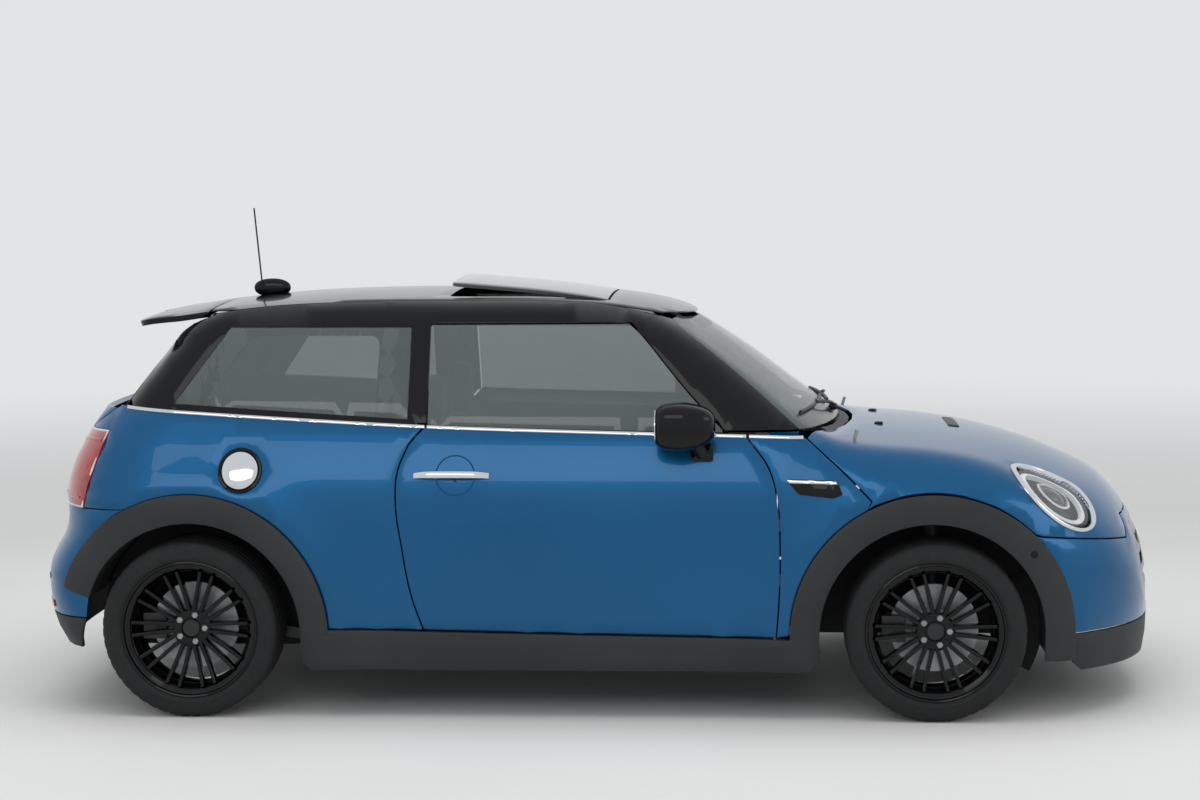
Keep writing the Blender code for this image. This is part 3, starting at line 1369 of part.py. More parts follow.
def make_front_bumper():
    made = sheet("front_bumper", inset(bumper_outline(), PANEL_GAP / 2), NOSE, 0, BUMPER_WALL,
                 PAINT, holes=[nose_point_loop(GRILLE_HALF)], stretch=1.2)
    return settled(fuse(made, *tab_parts(BUMPER_TAB, BEAM_X[1] + SEAT_GAP)))


def grille_half_width(z):
    ys, zs = zip(*GRILLE_HALF)
    return float(np.interp(z, zs, ys))


def make_grille():
    slots = []
    for z in GRILLE_SLOT_ZS:
        low, high = z - GRILLE_SLOT_HEIGHT / 2, z + GRILLE_SLOT_HEIGHT / 2
        slots.append(nose_point_loop([(grille_half_width(low) - GRILLE_SLOT_MARGIN, low),
                                      (grille_half_width(high) - GRILLE_SLOT_MARGIN, high)]))
    return sheet("grille", inset(nose_point_loop(GRILLE_HALF), CURVE_GAP), NOSE, GRILLE_DROP,
                 BUMPER_WALL, PLASTIC, holes=slots)


def make_valance():
    right = nose_s([(FRONT_ARCH[0] + ARCH_OUTER_RADIUS, VALANCE_SEAM_Z),
                    (FRONT_ARCH[0] + ARCH_OUTER_RADIUS, VALANCE_LOW_Z + FLANGE),
                    (FRONT_ARCH[0] + ARCH_OUTER_RADIUS + FLANGE, VALANCE_LOW_Z)])
    outline = whole_end(NOSE_FAN_X, right)
    made = sheet("front_valance", inset(outline, PANEL_GAP / 2), NOSE, 0, BUMPER_WALL, PLASTIC,
                 stretch=2)
    return settled(fuse(made, *apron_parts(VALANCE_TAB, BEAM_X[1] + SEAT_GAP)))


front_bumper = make_front_bumper()
grille = make_grille()
front_valance = make_valance()

# Rear bumper and the apron below it

REAR_EDGE = [(-1.712, 0.330), (-1.745, 0.215)]


def tail_arch_end():
    """The rear ends of the cladding: outer and inner corner."""
    return (arch(REAR_ARCH, ARCH_OUTER_RADIUS, TAIL_ARCH_ANGLE, TAIL_ARCH_ANGLE + ARC_STEP)[0],
            arch(REAR_ARCH, ARCH_INNER_RADIUS, TAIL_ARCH_ANGLE, TAIL_ARCH_ANGLE + ARC_STEP)[0])


def rear_bumper_outline():
    top = [*LAMP_BOTTOM[::-1], *end_s(TAIL_FAN_X, [(LAMP_INNER_Y, TAILGATE_LOW_Z)])]
    outer, inner = tail_arch_end()
    right = [*tail_s([REAR_EDGE[0], inner]),
             *tail_s(arch(REAR_ARCH, ARCH_OUTER_RADIUS + BUMPER_EASE, QUARTER_ARCH_ANGLE,
                          TAIL_ARCH_ANGLE)[::-1]),
             *top]
    return whole_end(TAIL_FAN_X, right)


def make_rear_valance():
    right = tail_s([*REAR_EDGE[::-1]])
    made = sheet("rear_valance", inset(whole_end(TAIL_FAN_X, right), PANEL_GAP / 2), TAIL, 0,
                 BUMPER_WALL, PLASTIC, stretch=2)
    return settled(fuse(made, *apron_parts(REAR_VALANCE_TAB, REAR_PANEL_X - SEAT_GAP)))


def make_rear_bumper():
    made = sheet("rear_bumper", inset(rear_bumper_outline(), PANEL_GAP / 2), TAIL, 0,
                 BUMPER_WALL, PAINT, stretch=1.2)
    return settled(fuse(made, *tab_parts(REAR_TAB, REAR_PANEL_X - SEAT_GAP)))


rear_bumper = make_rear_bumper()
rear_valance = make_rear_valance()

# Tailgate with its glass and spoiler

GATE_TOP_Z = 1.020
GATE_DEPTH = 0.060
GATE_FLANGE = 0.030
RING_FOOT_Z = 0.970
RING_TOP_Z = 1.318
RING_CROWN = 0.10
RING_DEPTH = 0.028
REAR_GLASS_HALF = [(0.520, 1.058), (0.405, 1.252)]
SLAB_X = (-1.475, -1.346)
SLAB_HALF = 0.480
SLAB_DEPTHS = (0.030, 0.072)
SPOILER_RIGHT = [(-1.338, -0.512), (-1.450, -0.506), (-1.585, -0.455), (-1.606, -0.250)]
GATE_ARM_PATH = [(0.000, 0.000), (-0.010, -0.040), (-0.065, -0.046), (-0.085, -0.046)]


def gate_lower_outline():
    corner = points_of(TAIL, QUARTER_END)[0]
    lamp_y = LAMP_INNER_Y - CURVE_GAP
    right = [(-lamp_y, TAILGATE_LOW_Z), (-lamp_y, LAMP_TOP_Z),
             (corner[1] + PANEL_GAP, corner[2] - STRIP_HEIGHT)]
    return [*right, *[(-y, z) for y, z in right[::-1]]]


def gate_ring_outline():
    right = [(p[1], p[2]) for p in
             points_of(CABIN_SIDE, smooth_line(in_metres(REAR_PILLAR_SHARES), STEP / 2))]
    right = [(y, z) for y, z in right if z < RING_TOP_Z - RING_CROWN * y * y - PANEL_GAP]
    foot_y = right[-1][0]
    crown = [(y, RING_TOP_Z - RING_CROWN * y * y)
             for y in np.linspace(right[0][0], -right[0][0], 7)]
    return [*crown, *[(-y, z) for y, z in right], (-foot_y, RING_FOOT_Z), (foot_y, RING_FOOT_Z),
            *right[::-1]]


def make_tailgate():
    outline = inset(gate_lower_outline(), PANEL_GAP / 2)
    lower = sheet("tailgate", outline, LOWER_BACK, 0, SKIN, PAINT,
                  deep=inset(outline, GATE_FLANGE), depth=GATE_DEPTH, stretch=1.4)
    hole = [(-y, z) for y, z in REAR_GLASS_HALF] + REAR_GLASS_HALF[::-1]
    ring = sheet("gate_ring", inset(gate_ring_outline(), PANEL_GAP), CABIN_BACK, 0, RING_DEPTH,
                 BLACK_PAINT, holes=[hole], stretch=1.2)
    slab = sheet("gate_slab", rectangle(SLAB_X[0], -SLAB_HALF, SLAB_X[1], SLAB_HALF), ROOF_TOP,
                 SLAB_DEPTHS[0], SLAB_DEPTHS[1], BLACK_PAINT, step=STEP * 2)
    parts = [ring, slab]
    for side in (-1, 1):
        outer = side * TAILGATE_HINGE_Y
        low, high = sorted((outer, outer - side * TAILGATE_HINGE_WIDTH))
        parts.append(gooseneck("gate_arm", TAILGATE_AXIS_X, TAILGATE_AXIS_Z, GATE_ARM_PATH,
                               low, high))
        parts.append(prism("gate_barrel", circle((TAILGATE_AXIS_X, TAILGATE_AXIS_Z), HINGE_RADIUS),
                           low, high, STEEL))
    return settled(fuse(lower, *parts))


tailgate = make_tailgate()
REAR_GLASS = inset([(-y, z) for y, z in REAR_GLASS_HALF] + REAR_GLASS_HALF[::-1], CURVE_GAP)
tailgate_glass = sheet("tailgate_glass", REAR_GLASS, CABIN_BACK, 0, GLASS, WINDOW)
SLAB = rectangle(SLAB_X[0], -SLAB_HALF, SLAB_X[1], SLAB_HALF)
spoiler = sheet("spoiler", both_sides(SPOILER_RIGHT), ROOF_TOP, 0, SLAB_DEPTHS[0] + SKIN / 2,
                BLACK_PAINT)
slab_room = sheet("slab_room", inset(SLAB, -CURVE_GAP), ROOF_TOP, SLAB_DEPTHS[0] - CURVE_GAP * 1.8, SLAB_DEPTHS[1],
                  BLACK_PAINT, step=STEP * 2)
spoiler = settled(cut(spoiler, slab_room))

# Scuttle under the windscreen's lower edge, and the aerial

SCUTTLE_START = 0.856
SCUTTLE_HALF = 0.520
SCUTTLE_DEPTHS = (0.011, 0.017)
SCUTTLE_WEB_X = (0.785, 0.870)
SCUTTLE_WEB_HALF = 0.150
SCUTTLE_WEB_TOP = 0.936
FIREWALL_TOP_Z = 0.780
FIREWALL_X = 0.800
AERIAL_X = (-1.286, -1.152)
AERIAL_HALF = 0.020
AERIAL_TOP_Z = 1.447
WHIP_RADIUS = 0.003
WHIP = [(-1.258, 0.0, 1.425), (-1.283, 0.0, 1.708)]


def make_scuttle():
    ys = np.linspace(-SCUTTLE_HALF, SCUTTLE_HALF, 7)
    front = [(BONNET_REAR_X - PANEL_GAP * 2 - BONNET_REAR_BOW * y * y, y) for y in ys]
    back = [(SCUTTLE_START - SCREEN_BOW * y * y, y) for y in ys[::-1]]
    top = sheet("scuttle", front + back, LOWER_TOP, *SCUTTLE_DEPTHS, PLASTIC)
    web = block("scuttle_web", (SCUTTLE_WEB_X[0], -SCUTTLE_WEB_HALF, FIREWALL_TOP_Z + SEAT_GAP),
                (SCUTTLE_WEB_X[1], SCUTTLE_WEB_HALF, SCUTTLE_WEB_TOP), PLASTIC)
    return settled(fuse(top, web))


def make_aerial():
    start, end = AERIAL_X
    foot = rectangle(start, -AERIAL_HALF, end, AERIAL_HALF)
    pad = sheet("antenna", foot, ROOF_TOP, -SKIN, -SEAT_GAP, BLACK_PAINT)
    base_z = float(roof_z(start))
    fin = [(start + SKIN, base_z + SKIN / 2), (end - SKIN, float(roof_z(end)) + SKIN / 2),
           (start + FLANGE, AERIAL_TOP_Z), (start + SKIN * 2, AERIAL_TOP_Z)]
    blade = prism("aerial_fin", fin, -AERIAL_HALF / 2, AERIAL_HALF / 2, BLACK_PAINT)
    whip = tube("aerial_whip", WHIP, WHIP_RADIUS, 6, BLACK_PAINT)
    return settled(fuse(pad, blade, whip))


scuttle = make_scuttle()
antenna = make_aerial()

# Floor, firewall and wheel houses

FLOOR_HALF = SILL_INNER_Y - SEAT_GAP
FLOOR_Z = 0.200
SEAT_PAN_Z = 0.300
BOOT_Z = 0.420
FLOOR_PATH = [(FIREWALL_X, FIREWALL_TOP_Z), (FIREWALL_X - 0.02, 0.560), (0.600, FLOOR_Z),
              (-0.560, FLOOR_Z), (-0.640, SEAT_PAN_Z), (-1.060, SEAT_PAN_Z), (-1.130, BOOT_Z),
              (-1.705, BOOT_Z), (-1.705, 0.598)]
WHEEL_HOUSE_RADIUS = 0.395
WHEEL_HOUSE_FRONT_Y = 0.440
WHEEL_HOUSE_REAR_Y = 0.560


def thick_line(path, width):
    """An open line given an even width, as a closed outline."""
    upper, lower = [], []
    points = [Vector(p) for p in path]
    for k, point in enumerate(points):
        before = (point - points[k - 1]).normalized() if k else None
        after = (points[k + 1] - point).normalized() if k + 1 < len(points) else None
        along = ((before or after) + (after or before)).normalized()
        across = Vector((-along.y, along.x)) / max(0.5, along.dot(after or before))
        lower.append(tuple(point + across * width))
        upper.append(tuple(point))
    return [*upper, *lower[::-1]]


def make_floor():
    floor = prism("floor_pan", thick_line(FLOOR_PATH, FLOOR_WALL), -FLOOR_HALF, FLOOR_HALF,
                  UNDERSEAL)
    cutters = []
    for centre, inner_y in ((FRONT_ARCH, WHEEL_HOUSE_FRONT_Y), (REAR_ARCH, WHEEL_HOUSE_REAR_Y)):
        for side in (-1, 1):
            low, high = sorted((side * inner_y, side * HALF_WIDTH))
            cutters.append(prism("wheel_house", circle(centre, WHEEL_HOUSE_RADIUS, 24), low, high,
                                 UNDERSEAL))
    return settled(cut(floor, *cutters))


floor_pan = make_floor()

# Engine, its carrier, and the front suspension's fixed parts

RAIL_X = (0.805, 1.790)
RAIL_Y = (0.400, 0.450)
RAIL_Z = (0.420, 0.500)
CROSS_X = (1.085, 1.205)
CROSS_Z = (0.172, 0.2497)
BEAM_HALF = 0.470
ENGINE_LOW = (1.020, -0.350, 0.250)
ENGINE_HIGH = (1.520, 0.350, 0.780)
LAMP_POST = 0.018
TOWER = 0.016
TOWER_HALF = 0.050
LOWER_ARM_HALF = 0.024
FRONT_WHEEL = Vector((FRONT_AXLE_X, HALF_TRACK, TYRE_RADIUS))
REAR_WHEEL = Vector((REAR_AXLE_X, HALF_TRACK, TYRE_RADIUS))
KINGPIN_LOW = Vector((FRONT_AXLE_X, KINGPIN_LOW_Y, KINGPIN_LOW_Z))
KINGPIN_TOP = Vector((FRONT_AXLE_X, KINGPIN_TOP_Y, KINGPIN_TOP_Z))
KINGPIN = (KINGPIN_TOP - KINGPIN_LOW).normalized()
KINGPIN_ACROSS = Vector((0, KINGPIN.z, -KINGPIN.y))


def pin_pad(name, end, way, thickness, half, out_y, out_z):
    """A plate square to the kingpin axis, 0.3 mm past its end, with a leg to a given point."""
    near = end + KINGPIN * way * SEAT_GAP
    far = near + KINGPIN * way * thickness
    corners = [near - KINGPIN_ACROSS * half, near + KINGPIN_ACROSS * half,
               far + KINGPIN_ACROSS * half, far - KINGPIN_ACROSS * half]
    outline = [(p.y, p.z) for p in corners]
    low, high = FRONT_AXLE_X - LOWER_ARM_HALF, FRONT_AXLE_X + LOWER_ARM_HALF
    pad = prism(name, outline, low, high, STEEL, "X")
    middle = (near + far) / 2
    leg = [(middle.y, middle.z - thickness / 3), (middle.y, middle.z + thickness / 6),
           (out_y, out_z + thickness / 2), (out_y, out_z - thickness / 2)]
    return [pad, prism(name + "_leg", leg, low + SKIN, high - SKIN, STEEL, "X")]


def make_front_subframe():
    made = block("front_subframe", (CROSS_X[0], -RAIL_Y[1], CROSS_Z[0]),
                 (CROSS_X[1], RAIL_Y[1], CROSS_Z[1]), STEEL)
    parts = [block("crash_beam", (BEAM_X[0], -BEAM_HALF, RAIL_Z[0] - SKIN),
                   (BEAM_X[1], BEAM_HALF, RAIL_Z[1] + SKIN), STEEL)]
    for side in (-1, 1):
        low, high = sorted((side * RAIL_Y[0], side * RAIL_Y[1]))
        parts.append(block("rail", (RAIL_X[0], low, RAIL_Z[0]), (RAIL_X[1], high, RAIL_Z[1]),
                           STEEL))
        parts.append(block("upright", (CROSS_X[0] + SKIN, low + SKIN, CROSS_Z[0] + SKIN),
                           (CROSS_X[1] - SKIN, high - SKIN, KINGPIN_TOP_Z + TOWER * 2), STEEL))
        low, high = sorted((side * (RAIL_Y[1] - SKIN), side * (HEADLAMP_STEM_Y + LAMP_POST)))
        parts.append(block("lamp_arm", (HEADLAMP_STEM_X - LAMP_POST, low, RAIL_Z[1] - FLANGE),
                           (HEADLAMP_STEM_X + LAMP_POST, high, RAIL_Z[1] - SKIN), STEEL))
        low, high = sorted((side * (HEADLAMP_STEM_Y - LAMP_POST),
                            side * (HEADLAMP_STEM_Y + LAMP_POST - SKIN)))
        parts.append(block("lamp_post", (HEADLAMP_STEM_X - LAMP_POST + SKIN, low,
                                         RAIL_Z[1] - FLANGE + SKIN),
                           (HEADLAMP_STEM_X + LAMP_POST - SKIN, high,
                            HEADLAMP_STEM_LOW_Z - SEAT_GAP), STEEL))
    pads = (pin_pad("tower", KINGPIN_TOP, 1, TOWER, TOWER_HALF, RAIL_Y[0] + SKIN * 2,
                    KINGPIN_TOP_Z + TOWER)
            + pin_pad("lower_arm", KINGPIN_LOW, -1, TOWER, LOWER_ARM_HALF, RAIL_Y[1] - SKIN * 2,
                      CROSS_Z[0] + TOWER * 0.6))
    for pad in pads:
        parts += [pad, mirrored(pad, pad.name + "_left")]
    return settled(fuse(made, *parts))


engine = block("engine", ENGINE_LOW, ENGINE_HIGH, STEEL)
front_subframe = make_front_subframe()

# Steering knuckles: hub boss, strut along the inclined pin, and brake caliper

DISC_INNER_Y = -0.030
DISC_OUTER_Y = -0.008
BOSS_RADIUS = 0.050
BOSS_DEPTH = 0.050
PIN_RADIUS = 0.016
STRUT_RADIUS = 0.026
STRUT_START = 0.62
CALIPER_X = (0.095, 0.174)
CALIPER_SLOT_X = 0.160
CALIPER_Y = (-0.058, 0.022)
CALIPER_ROOM = 0.005
CALIPER_HALF = 0.044
CALIPER_LINK = 0.020


def brake_parts(wheel, side):
    """The boss that carries a wheel and the caliper that holds its disc, on one side."""
    seat_y = wheel.y + DISC_INNER_Y - SEAT_GAP
    boss = turned("boss", [(0, seat_y - BOSS_DEPTH), (BOSS_RADIUS, seat_y - BOSS_DEPTH),
                           (BOSS_RADIUS, seat_y), (0, seat_y)], 16, STEEL)
    boss.data.transform(Matrix.Translation((wheel.x, 0, wheel.z)))
    low_y, high_y = wheel.y + CALIPER_Y[0], wheel.y + CALIPER_Y[1]
    slot = (wheel.y + DISC_INNER_Y - CALIPER_ROOM, wheel.y + DISC_OUTER_Y + CALIPER_ROOM)
    a, b, c = CALIPER_X[0], CALIPER_SLOT_X, CALIPER_X[1]
    outline = [(a, low_y), (c, low_y), (c, high_y), (a, high_y), (a, slot[1]), (b, slot[1]),
               (b, slot[0]), (a, slot[0])]
    caliper = prism("caliper", [(wheel.x + x * side, y) for x, y in outline],
                    wheel.z - CALIPER_HALF, wheel.z + CALIPER_HALF, STEEL, "Z")
    near, far = sorted((wheel.x, wheel.x + side * (CALIPER_X[0] + CALIPER_LINK)))
    link = block("caliper_link", (near, low_y + SKIN, wheel.z - CALIPER_LINK),
                 (far, slot[0] - SKIN / 2, wheel.z + CALIPER_LINK), STEEL)
    return boss, caliper, link


def make_knuckle():
    middle = KINGPIN_LOW.lerp(KINGPIN_TOP, STRUT_START)
    pin = tube("knuckle_left", [KINGPIN_LOW, middle + KINGPIN * PIN_RADIUS], PIN_RADIUS, 8, STEEL)
    strut = tube("strut", [middle, KINGPIN_TOP], STRUT_RADIUS, 10, STEEL)
    return settled(fuse(pin, strut, *brake_parts(FRONT_WHEEL, -1)))


knuckle_left = make_knuckle()
knuckle_right = mirrored(knuckle_left, "knuckle_right")

# Rear axle beam with its arms and brakes, and the exhaust

AXLE_ARM_Y = (0.545, 0.595)
AXLE_ARM_X = -0.960
AXLE_ARM_Z = (0.215, 0.250)
AXLE_MOUNT_X = (-0.990, -0.940)
BEAM_RADIUS = 0.032
BEAM_CENTRE_X = -1.180
BEAM_CENTRE_Z = 0.262
PIPE_RADIUS = 0.022
PIPE_Y = 0.180
PIPE_Z = 0.150
PIPE_PATH = [(1.000, PIPE_Y, 0.215), (0.820, PIPE_Y, PIPE_Z), (-1.000, PIPE_Y, PIPE_Z),
             (-1.180, PIPE_Y, 0.190), (-1.450, PIPE_Y, 0.250)]
MUFFLER_LOW = (-1.760, -0.300, 0.190)
MUFFLER_HIGH = (-1.420, 0.300, 0.330)
TAILPIPE = [(-1.740, 0.400, 0.215), (-1.900, 0.400, 0.188)]
TAILPIPE_ARM = [(-1.700, 0.280, 0.240), (-1.745, 0.400, 0.216)]
HANGER_X = (-0.300, -0.250)
HANGER_HALF = 0.012


def make_rear_axle():
    made = tube("rear_axle", [(BEAM_CENTRE_X, -AXLE_ARM_Y[1], BEAM_CENTRE_Z),
                              (BEAM_CENTRE_X, AXLE_ARM_Y[1], BEAM_CENTRE_Z)], BEAM_RADIUS, 10,
                STEEL)
    rear = REAR_WHEEL.x
    arm_outline = [(AXLE_ARM_X + SKIN, AXLE_ARM_Z[0]), (AXLE_ARM_X + SKIN, AXLE_ARM_Z[1]),
                   (rear + SKIN, REAR_WHEEL.z + CALIPER_LINK),
                   (rear - FLANGE, REAR_WHEEL.z + CALIPER_LINK),
                   (rear - FLANGE, REAR_WHEEL.z - CALIPER_LINK)]
    arm = prism("trailing_arm", arm_outline, *AXLE_ARM_Y, STEEL)
    mount = block("axle_mount", (AXLE_MOUNT_X[0], AXLE_ARM_Y[0] + SKIN / 2, AXLE_ARM_Z[0] + SKIN),
                  (AXLE_MOUNT_X[1], AXLE_ARM_Y[1] - SKIN / 2,
                   SEAT_PAN_Z - FLOOR_WALL - SEAT_GAP), STEEL)
    stub = block("stub", (rear - CALIPER_LINK, AXLE_ARM_Y[1] - SKIN, REAR_WHEEL.z - CALIPER_LINK + SKIN),
                 (rear + CALIPER_LINK, REAR_WHEEL.y + DISC_INNER_Y - BOSS_DEPTH / 2,
                  REAR_WHEEL.z + CALIPER_LINK - SKIN), STEEL)
    parts = [arm, mount, stub, *brake_parts(REAR_WHEEL, -1)]
    copies = [mirrored(part, part.name + "_right") for part in parts]
    return settled(fuse(made, *parts, *copies))


def make_exhaust():
    made = tube("exhaust", PIPE_PATH, PIPE_RADIUS, 8, STEEL)
    muffler = block("muffler", MUFFLER_LOW, MUFFLER_HIGH, STEEL)
    tail = tube("tailpipe", TAILPIPE, PIPE_RADIUS, 8, STEEL)
    neck = tube("tailpipe_neck", TAILPIPE_ARM, PIPE_RADIUS - SKIN, 8, STEEL)
    hanger = block("hanger", (HANGER_X[0], PIPE_Y - HANGER_HALF, PIPE_Z),
                   (HANGER_X[1], PIPE_Y + HANGER_HALF, FLOOR_Z - FLOOR_WALL - SEAT_GAP), STEEL)
    high = block("muffler_hanger", (MUFFLER_LOW[0] + FLANGE, -HANGER_HALF, MUFFLER_HIGH[2] - SKIN),
                 (MUFFLER_LOW[0] + FLANGE * 2, HANGER_HALF, BOOT_Z - FLOOR_WALL - SEAT_GAP), STEEL)
    return settled(fuse(made, muffler, tail, neck, hanger, high))


rear_axle = make_rear_axle()
exhaust = make_exhaust()

# Seats, dashboard and steering wheel

SEAT_Y = (0.130, 0.600)
SEAT_BASE = [(0.020, 0.2003), (-0.360, 0.2003), (-0.360, 0.290), (0.020, 0.290)]
CUSHION = [(0.080, 0.285), (0.100, 0.400), (-0.330, 0.370), (-0.440, 0.620), (-0.520, 0.930),
           (-0.600, 0.940), (-0.590, 0.700), (-0.500, 0.400), (-0.430, 0.285)]
HEADREST = [(-0.545, 0.925), (-0.530, 1.110), (-0.610, 1.120), (-0.620, 0.930)]
HEADREST_HALF = 0.120
REAR_SEAT = [(-0.660, 0.3003), (-0.620, 0.460), (-1.010, 0.430), (-1.130, 0.960), (-1.210, 0.960),
             (-1.120, 0.430), (-1.056, 0.3003)]
REAR_SEAT_HALF = 0.540
DASH = [(0.460, 0.700), (0.440, 0.860), (0.560, 0.930), (0.610, 0.910), (0.610, 0.700)]
DASH_HALF = 0.650
DASH_BEAM = [(0.600, 0.705), (0.600, 0.760), (0.7790, 0.760), (0.7700, 0.705)]
DASH_BEAM_HALF = 0.500
COLUMN_TILT = 25
COLUMN_RADIUS = 0.022
WHEEL_CENTRE = Vector((0.310, -0.365, 0.830))
COLUMN_LENGTH = 0.090
COLUMN_START = 0.260
STEERING_RADIUS = 0.175
STEERING_GRIP = 0.015


def make_front_seat():
    low, high = SEAT_Y
    seat = prism("front_seat_left", CUSHION, low, high, CLOTH)
    base = prism("seat_base", SEAT_BASE, low + FLANGE, high - FLANGE, CLOTH)
    middle = (low + high) / 2
    rest = prism("headrest", HEADREST, middle - HEADREST_HALF, middle + HEADREST_HALF, CLOTH)
    return settled(fuse(seat, base, rest))


front_seat_left = make_front_seat()
front_seat_right = mirrored(front_seat_left, "front_seat_right")
rear_seat = prism("rear_seat", REAR_SEAT, -REAR_SEAT_HALF, REAR_SEAT_HALF, CLOTH)
COLUMN_WAY = Vector((-math.cos(math.radians(COLUMN_TILT)), 0, math.sin(math.radians(COLUMN_TILT))))


def make_dashboard():
    made = prism("dashboard", DASH, -DASH_HALF, DASH_HALF, PLASTIC)
    beam = prism("dash_beam", DASH_BEAM, -DASH_BEAM_HALF, DASH_BEAM_HALF, PLASTIC)
    column = tube("column", [WHEEL_CENTRE - COLUMN_WAY * COLUMN_START,
                             WHEEL_CENTRE - COLUMN_WAY * (COLUMN_LENGTH + SEAT_GAP)],
                  COLUMN_RADIUS, 10, PLASTIC)
    return settled(fuse(made, beam, column))


def make_steering_wheel():
    """Made about the Y axis with the driver towards -Y, then turned into place."""
    grip = [(STEERING_RADIUS + STEERING_GRIP * math.cos(a), STEERING_GRIP * math.sin(a))
            for a in (math.radians(k) for k in range(0, 360, 60))]
    ring = turned("steering_wheel", grip, 20, PLASTIC)
    hub = turned("steering_hub", [(0, -STEERING_GRIP), (0.060, -STEERING_GRIP),
                                  (COLUMN_RADIUS, COLUMN_LENGTH), (0, COLUMN_LENGTH)], 10, PLASTIC)
    reach = STEERING_RADIUS
    arms = [block("steering_arms", (-reach, -STEERING_GRIP / 2, -STEERING_GRIP),
                  (reach, STEERING_GRIP / 2, STEERING_GRIP), PLASTIC),
            block("steering_leg", (-STEERING_GRIP, -STEERING_GRIP / 2 + SKIN / 2, -reach),
                  (STEERING_GRIP, STEERING_GRIP / 2 - SKIN / 2, 0), PLASTIC)]
    made = settled(fuse(ring, hub, *arms))
    turn = Vector((0, -1, 0)).rotation_difference(COLUMN_WAY).to_matrix().to_4x4()
    made.data.transform(Matrix.Translation(WHEEL_CENTRE) @ turn)
    return made


dashboard = make_dashboard()
steering_wheel = make_steering_wheel()

# Wheels. Local +Y points away from the car.

RIM_PROFILE = [(0.232, 0.094), (0.216, 0.087), (0.200, 0.045), (0.200, -0.040), (0.216, -0.087),
               (0.232, -0.094), (0.224, -0.096), (0.204, -0.080), (0.190, -0.035), (0.190, 0.045),
               (0.206, 0.080), (0.224, 0.096)]
TYRE_PROFILE = [(0.2167, 0.0860), (0.2327, 0.0930), (0.245, 0.1010), (0.275, 0.1015),
                (0.300, 0.082), (0.300, -0.082), (0.275, -0.1015), (0.245, -0.1010),
                (0.2327, -0.0930), (0.2167, -0.0860), (0.2007, -0.0390), (0.2007, 0.0440)]
SPOKE_Y = (0.034, 0.060)
SPOKE_HUB_HALF = 0.013
SPOKE_RIM_HALF = 0.021
SPOKE_START = 0.050
SPOKE_END = 0.197
HUB_Y = 0.052


def spoke(angle, side):
    """One straight spoke from the hub to the rim, one of a pair."""
    inner, outer = side * SPOKE_HUB_HALF, side * SPOKE_RIM_HALF
    half = SPOKE_WIDTH / 2
    outline = [(inner - half, SPOKE_START), (inner + half, SPOKE_START),
               (outer + half, SPOKE_END), (outer - half, SPOKE_END)]
    c, s = math.cos(angle), math.sin(angle)
    turned_outline = [(c * a - s * b, s * a + c * b) for a, b in outline]
    return prism("spoke", turned_outline, *SPOKE_Y, BLACK_PAINT)


def make_rim():
    barrel = turned("rim_front_left", RIM_PROFILE, WHEEL_SIDES, BLACK_PAINT)
    hub = turned("rim_hub", [(0, DISC_INNER_Y), (DISC_RADIUS, DISC_INNER_Y),
                             (DISC_RADIUS, DISC_OUTER_Y), (HUB_RADIUS, DISC_OUTER_Y),
                             (HUB_RADIUS, HUB_Y), (0, HUB_Y)], WHEEL_SIDES // 2, STEEL)
    spokes = [spoke(2 * math.pi * k / SPOKE_PAIRS, side)
              for k in range(SPOKE_PAIRS) for side in (-1, 1)]
    return settled(fuse(barrel, hub, *spokes))


def placed_copy(source, name, centre, side):
    made = bpy.data.objects.new(name, source.data.copy())
    bpy.context.scene.collection.objects.link(made)
    if side < 0:
        made.data.transform(Matrix.Rotation(math.pi, 4, "Z"))
    made.location = (centre.x, centre.y * side, centre.z)
    return made


first_rim = make_rim()
first_tyre = turned("tyre_front_left", TYRE_PROFILE, WHEEL_SIDES, TYRE_RUBBER)
for end, centre in (("front", FRONT_WHEEL), ("rear", REAR_WHEEL)):
    for place_name, side in (("left", 1), ("right", -1)):
        if (end, place_name) != ("front", "left"):
            placed_copy(first_rim, f"rim_{end}_{place_name}", centre, side)
            placed_copy(first_tyre, f"tyre_{end}_{place_name}", centre, side)
first_rim.location = FRONT_WHEEL
first_tyre.location = FRONT_WHEEL


# Origins of the moving pieces, on their joint axes

def set_origin(made, point):
    point = Vector(point)
    made.data.transform(Matrix.Translation(-point))
    made.location = point


for made, side in ((door_right, 1), (door_left, -1)):
    set_origin(made, (DOOR_AXIS_X, DOOR_AXIS_Y * side, HINGE_HEIGHT_SHARES[0] * BODY_HEIGHT))
for made in (knuckle_left, knuckle_right):
    side = 1 if made is knuckle_left else -1
    set_origin(made, (KINGPIN_LOW.x, KINGPIN_LOW.y * side, KINGPIN_LOW.z))
set_origin(bonnet, (BONNET_AXIS_X, 0, BONNET_AXIS_Z))
set_origin(tailgate, (TAILGATE_AXIS_X, 0, TAILGATE_AXIS_Z))
set_origin(steering_wheel, WHEEL_CENTRE)
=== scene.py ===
# %% [markdown]
# # A small three-door hatchback
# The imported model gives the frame: every body, joint and size. This file dresses it.
# Panels are laid again on the same two smooth forms that the solids use, only finer,
# so that light runs over them without facets, and the finishes are added.

# %% Load the frame and keep its box
import json
import math

import bmesh
import bpy
import numpy as np
from mathutils import Matrix, Vector, geometry

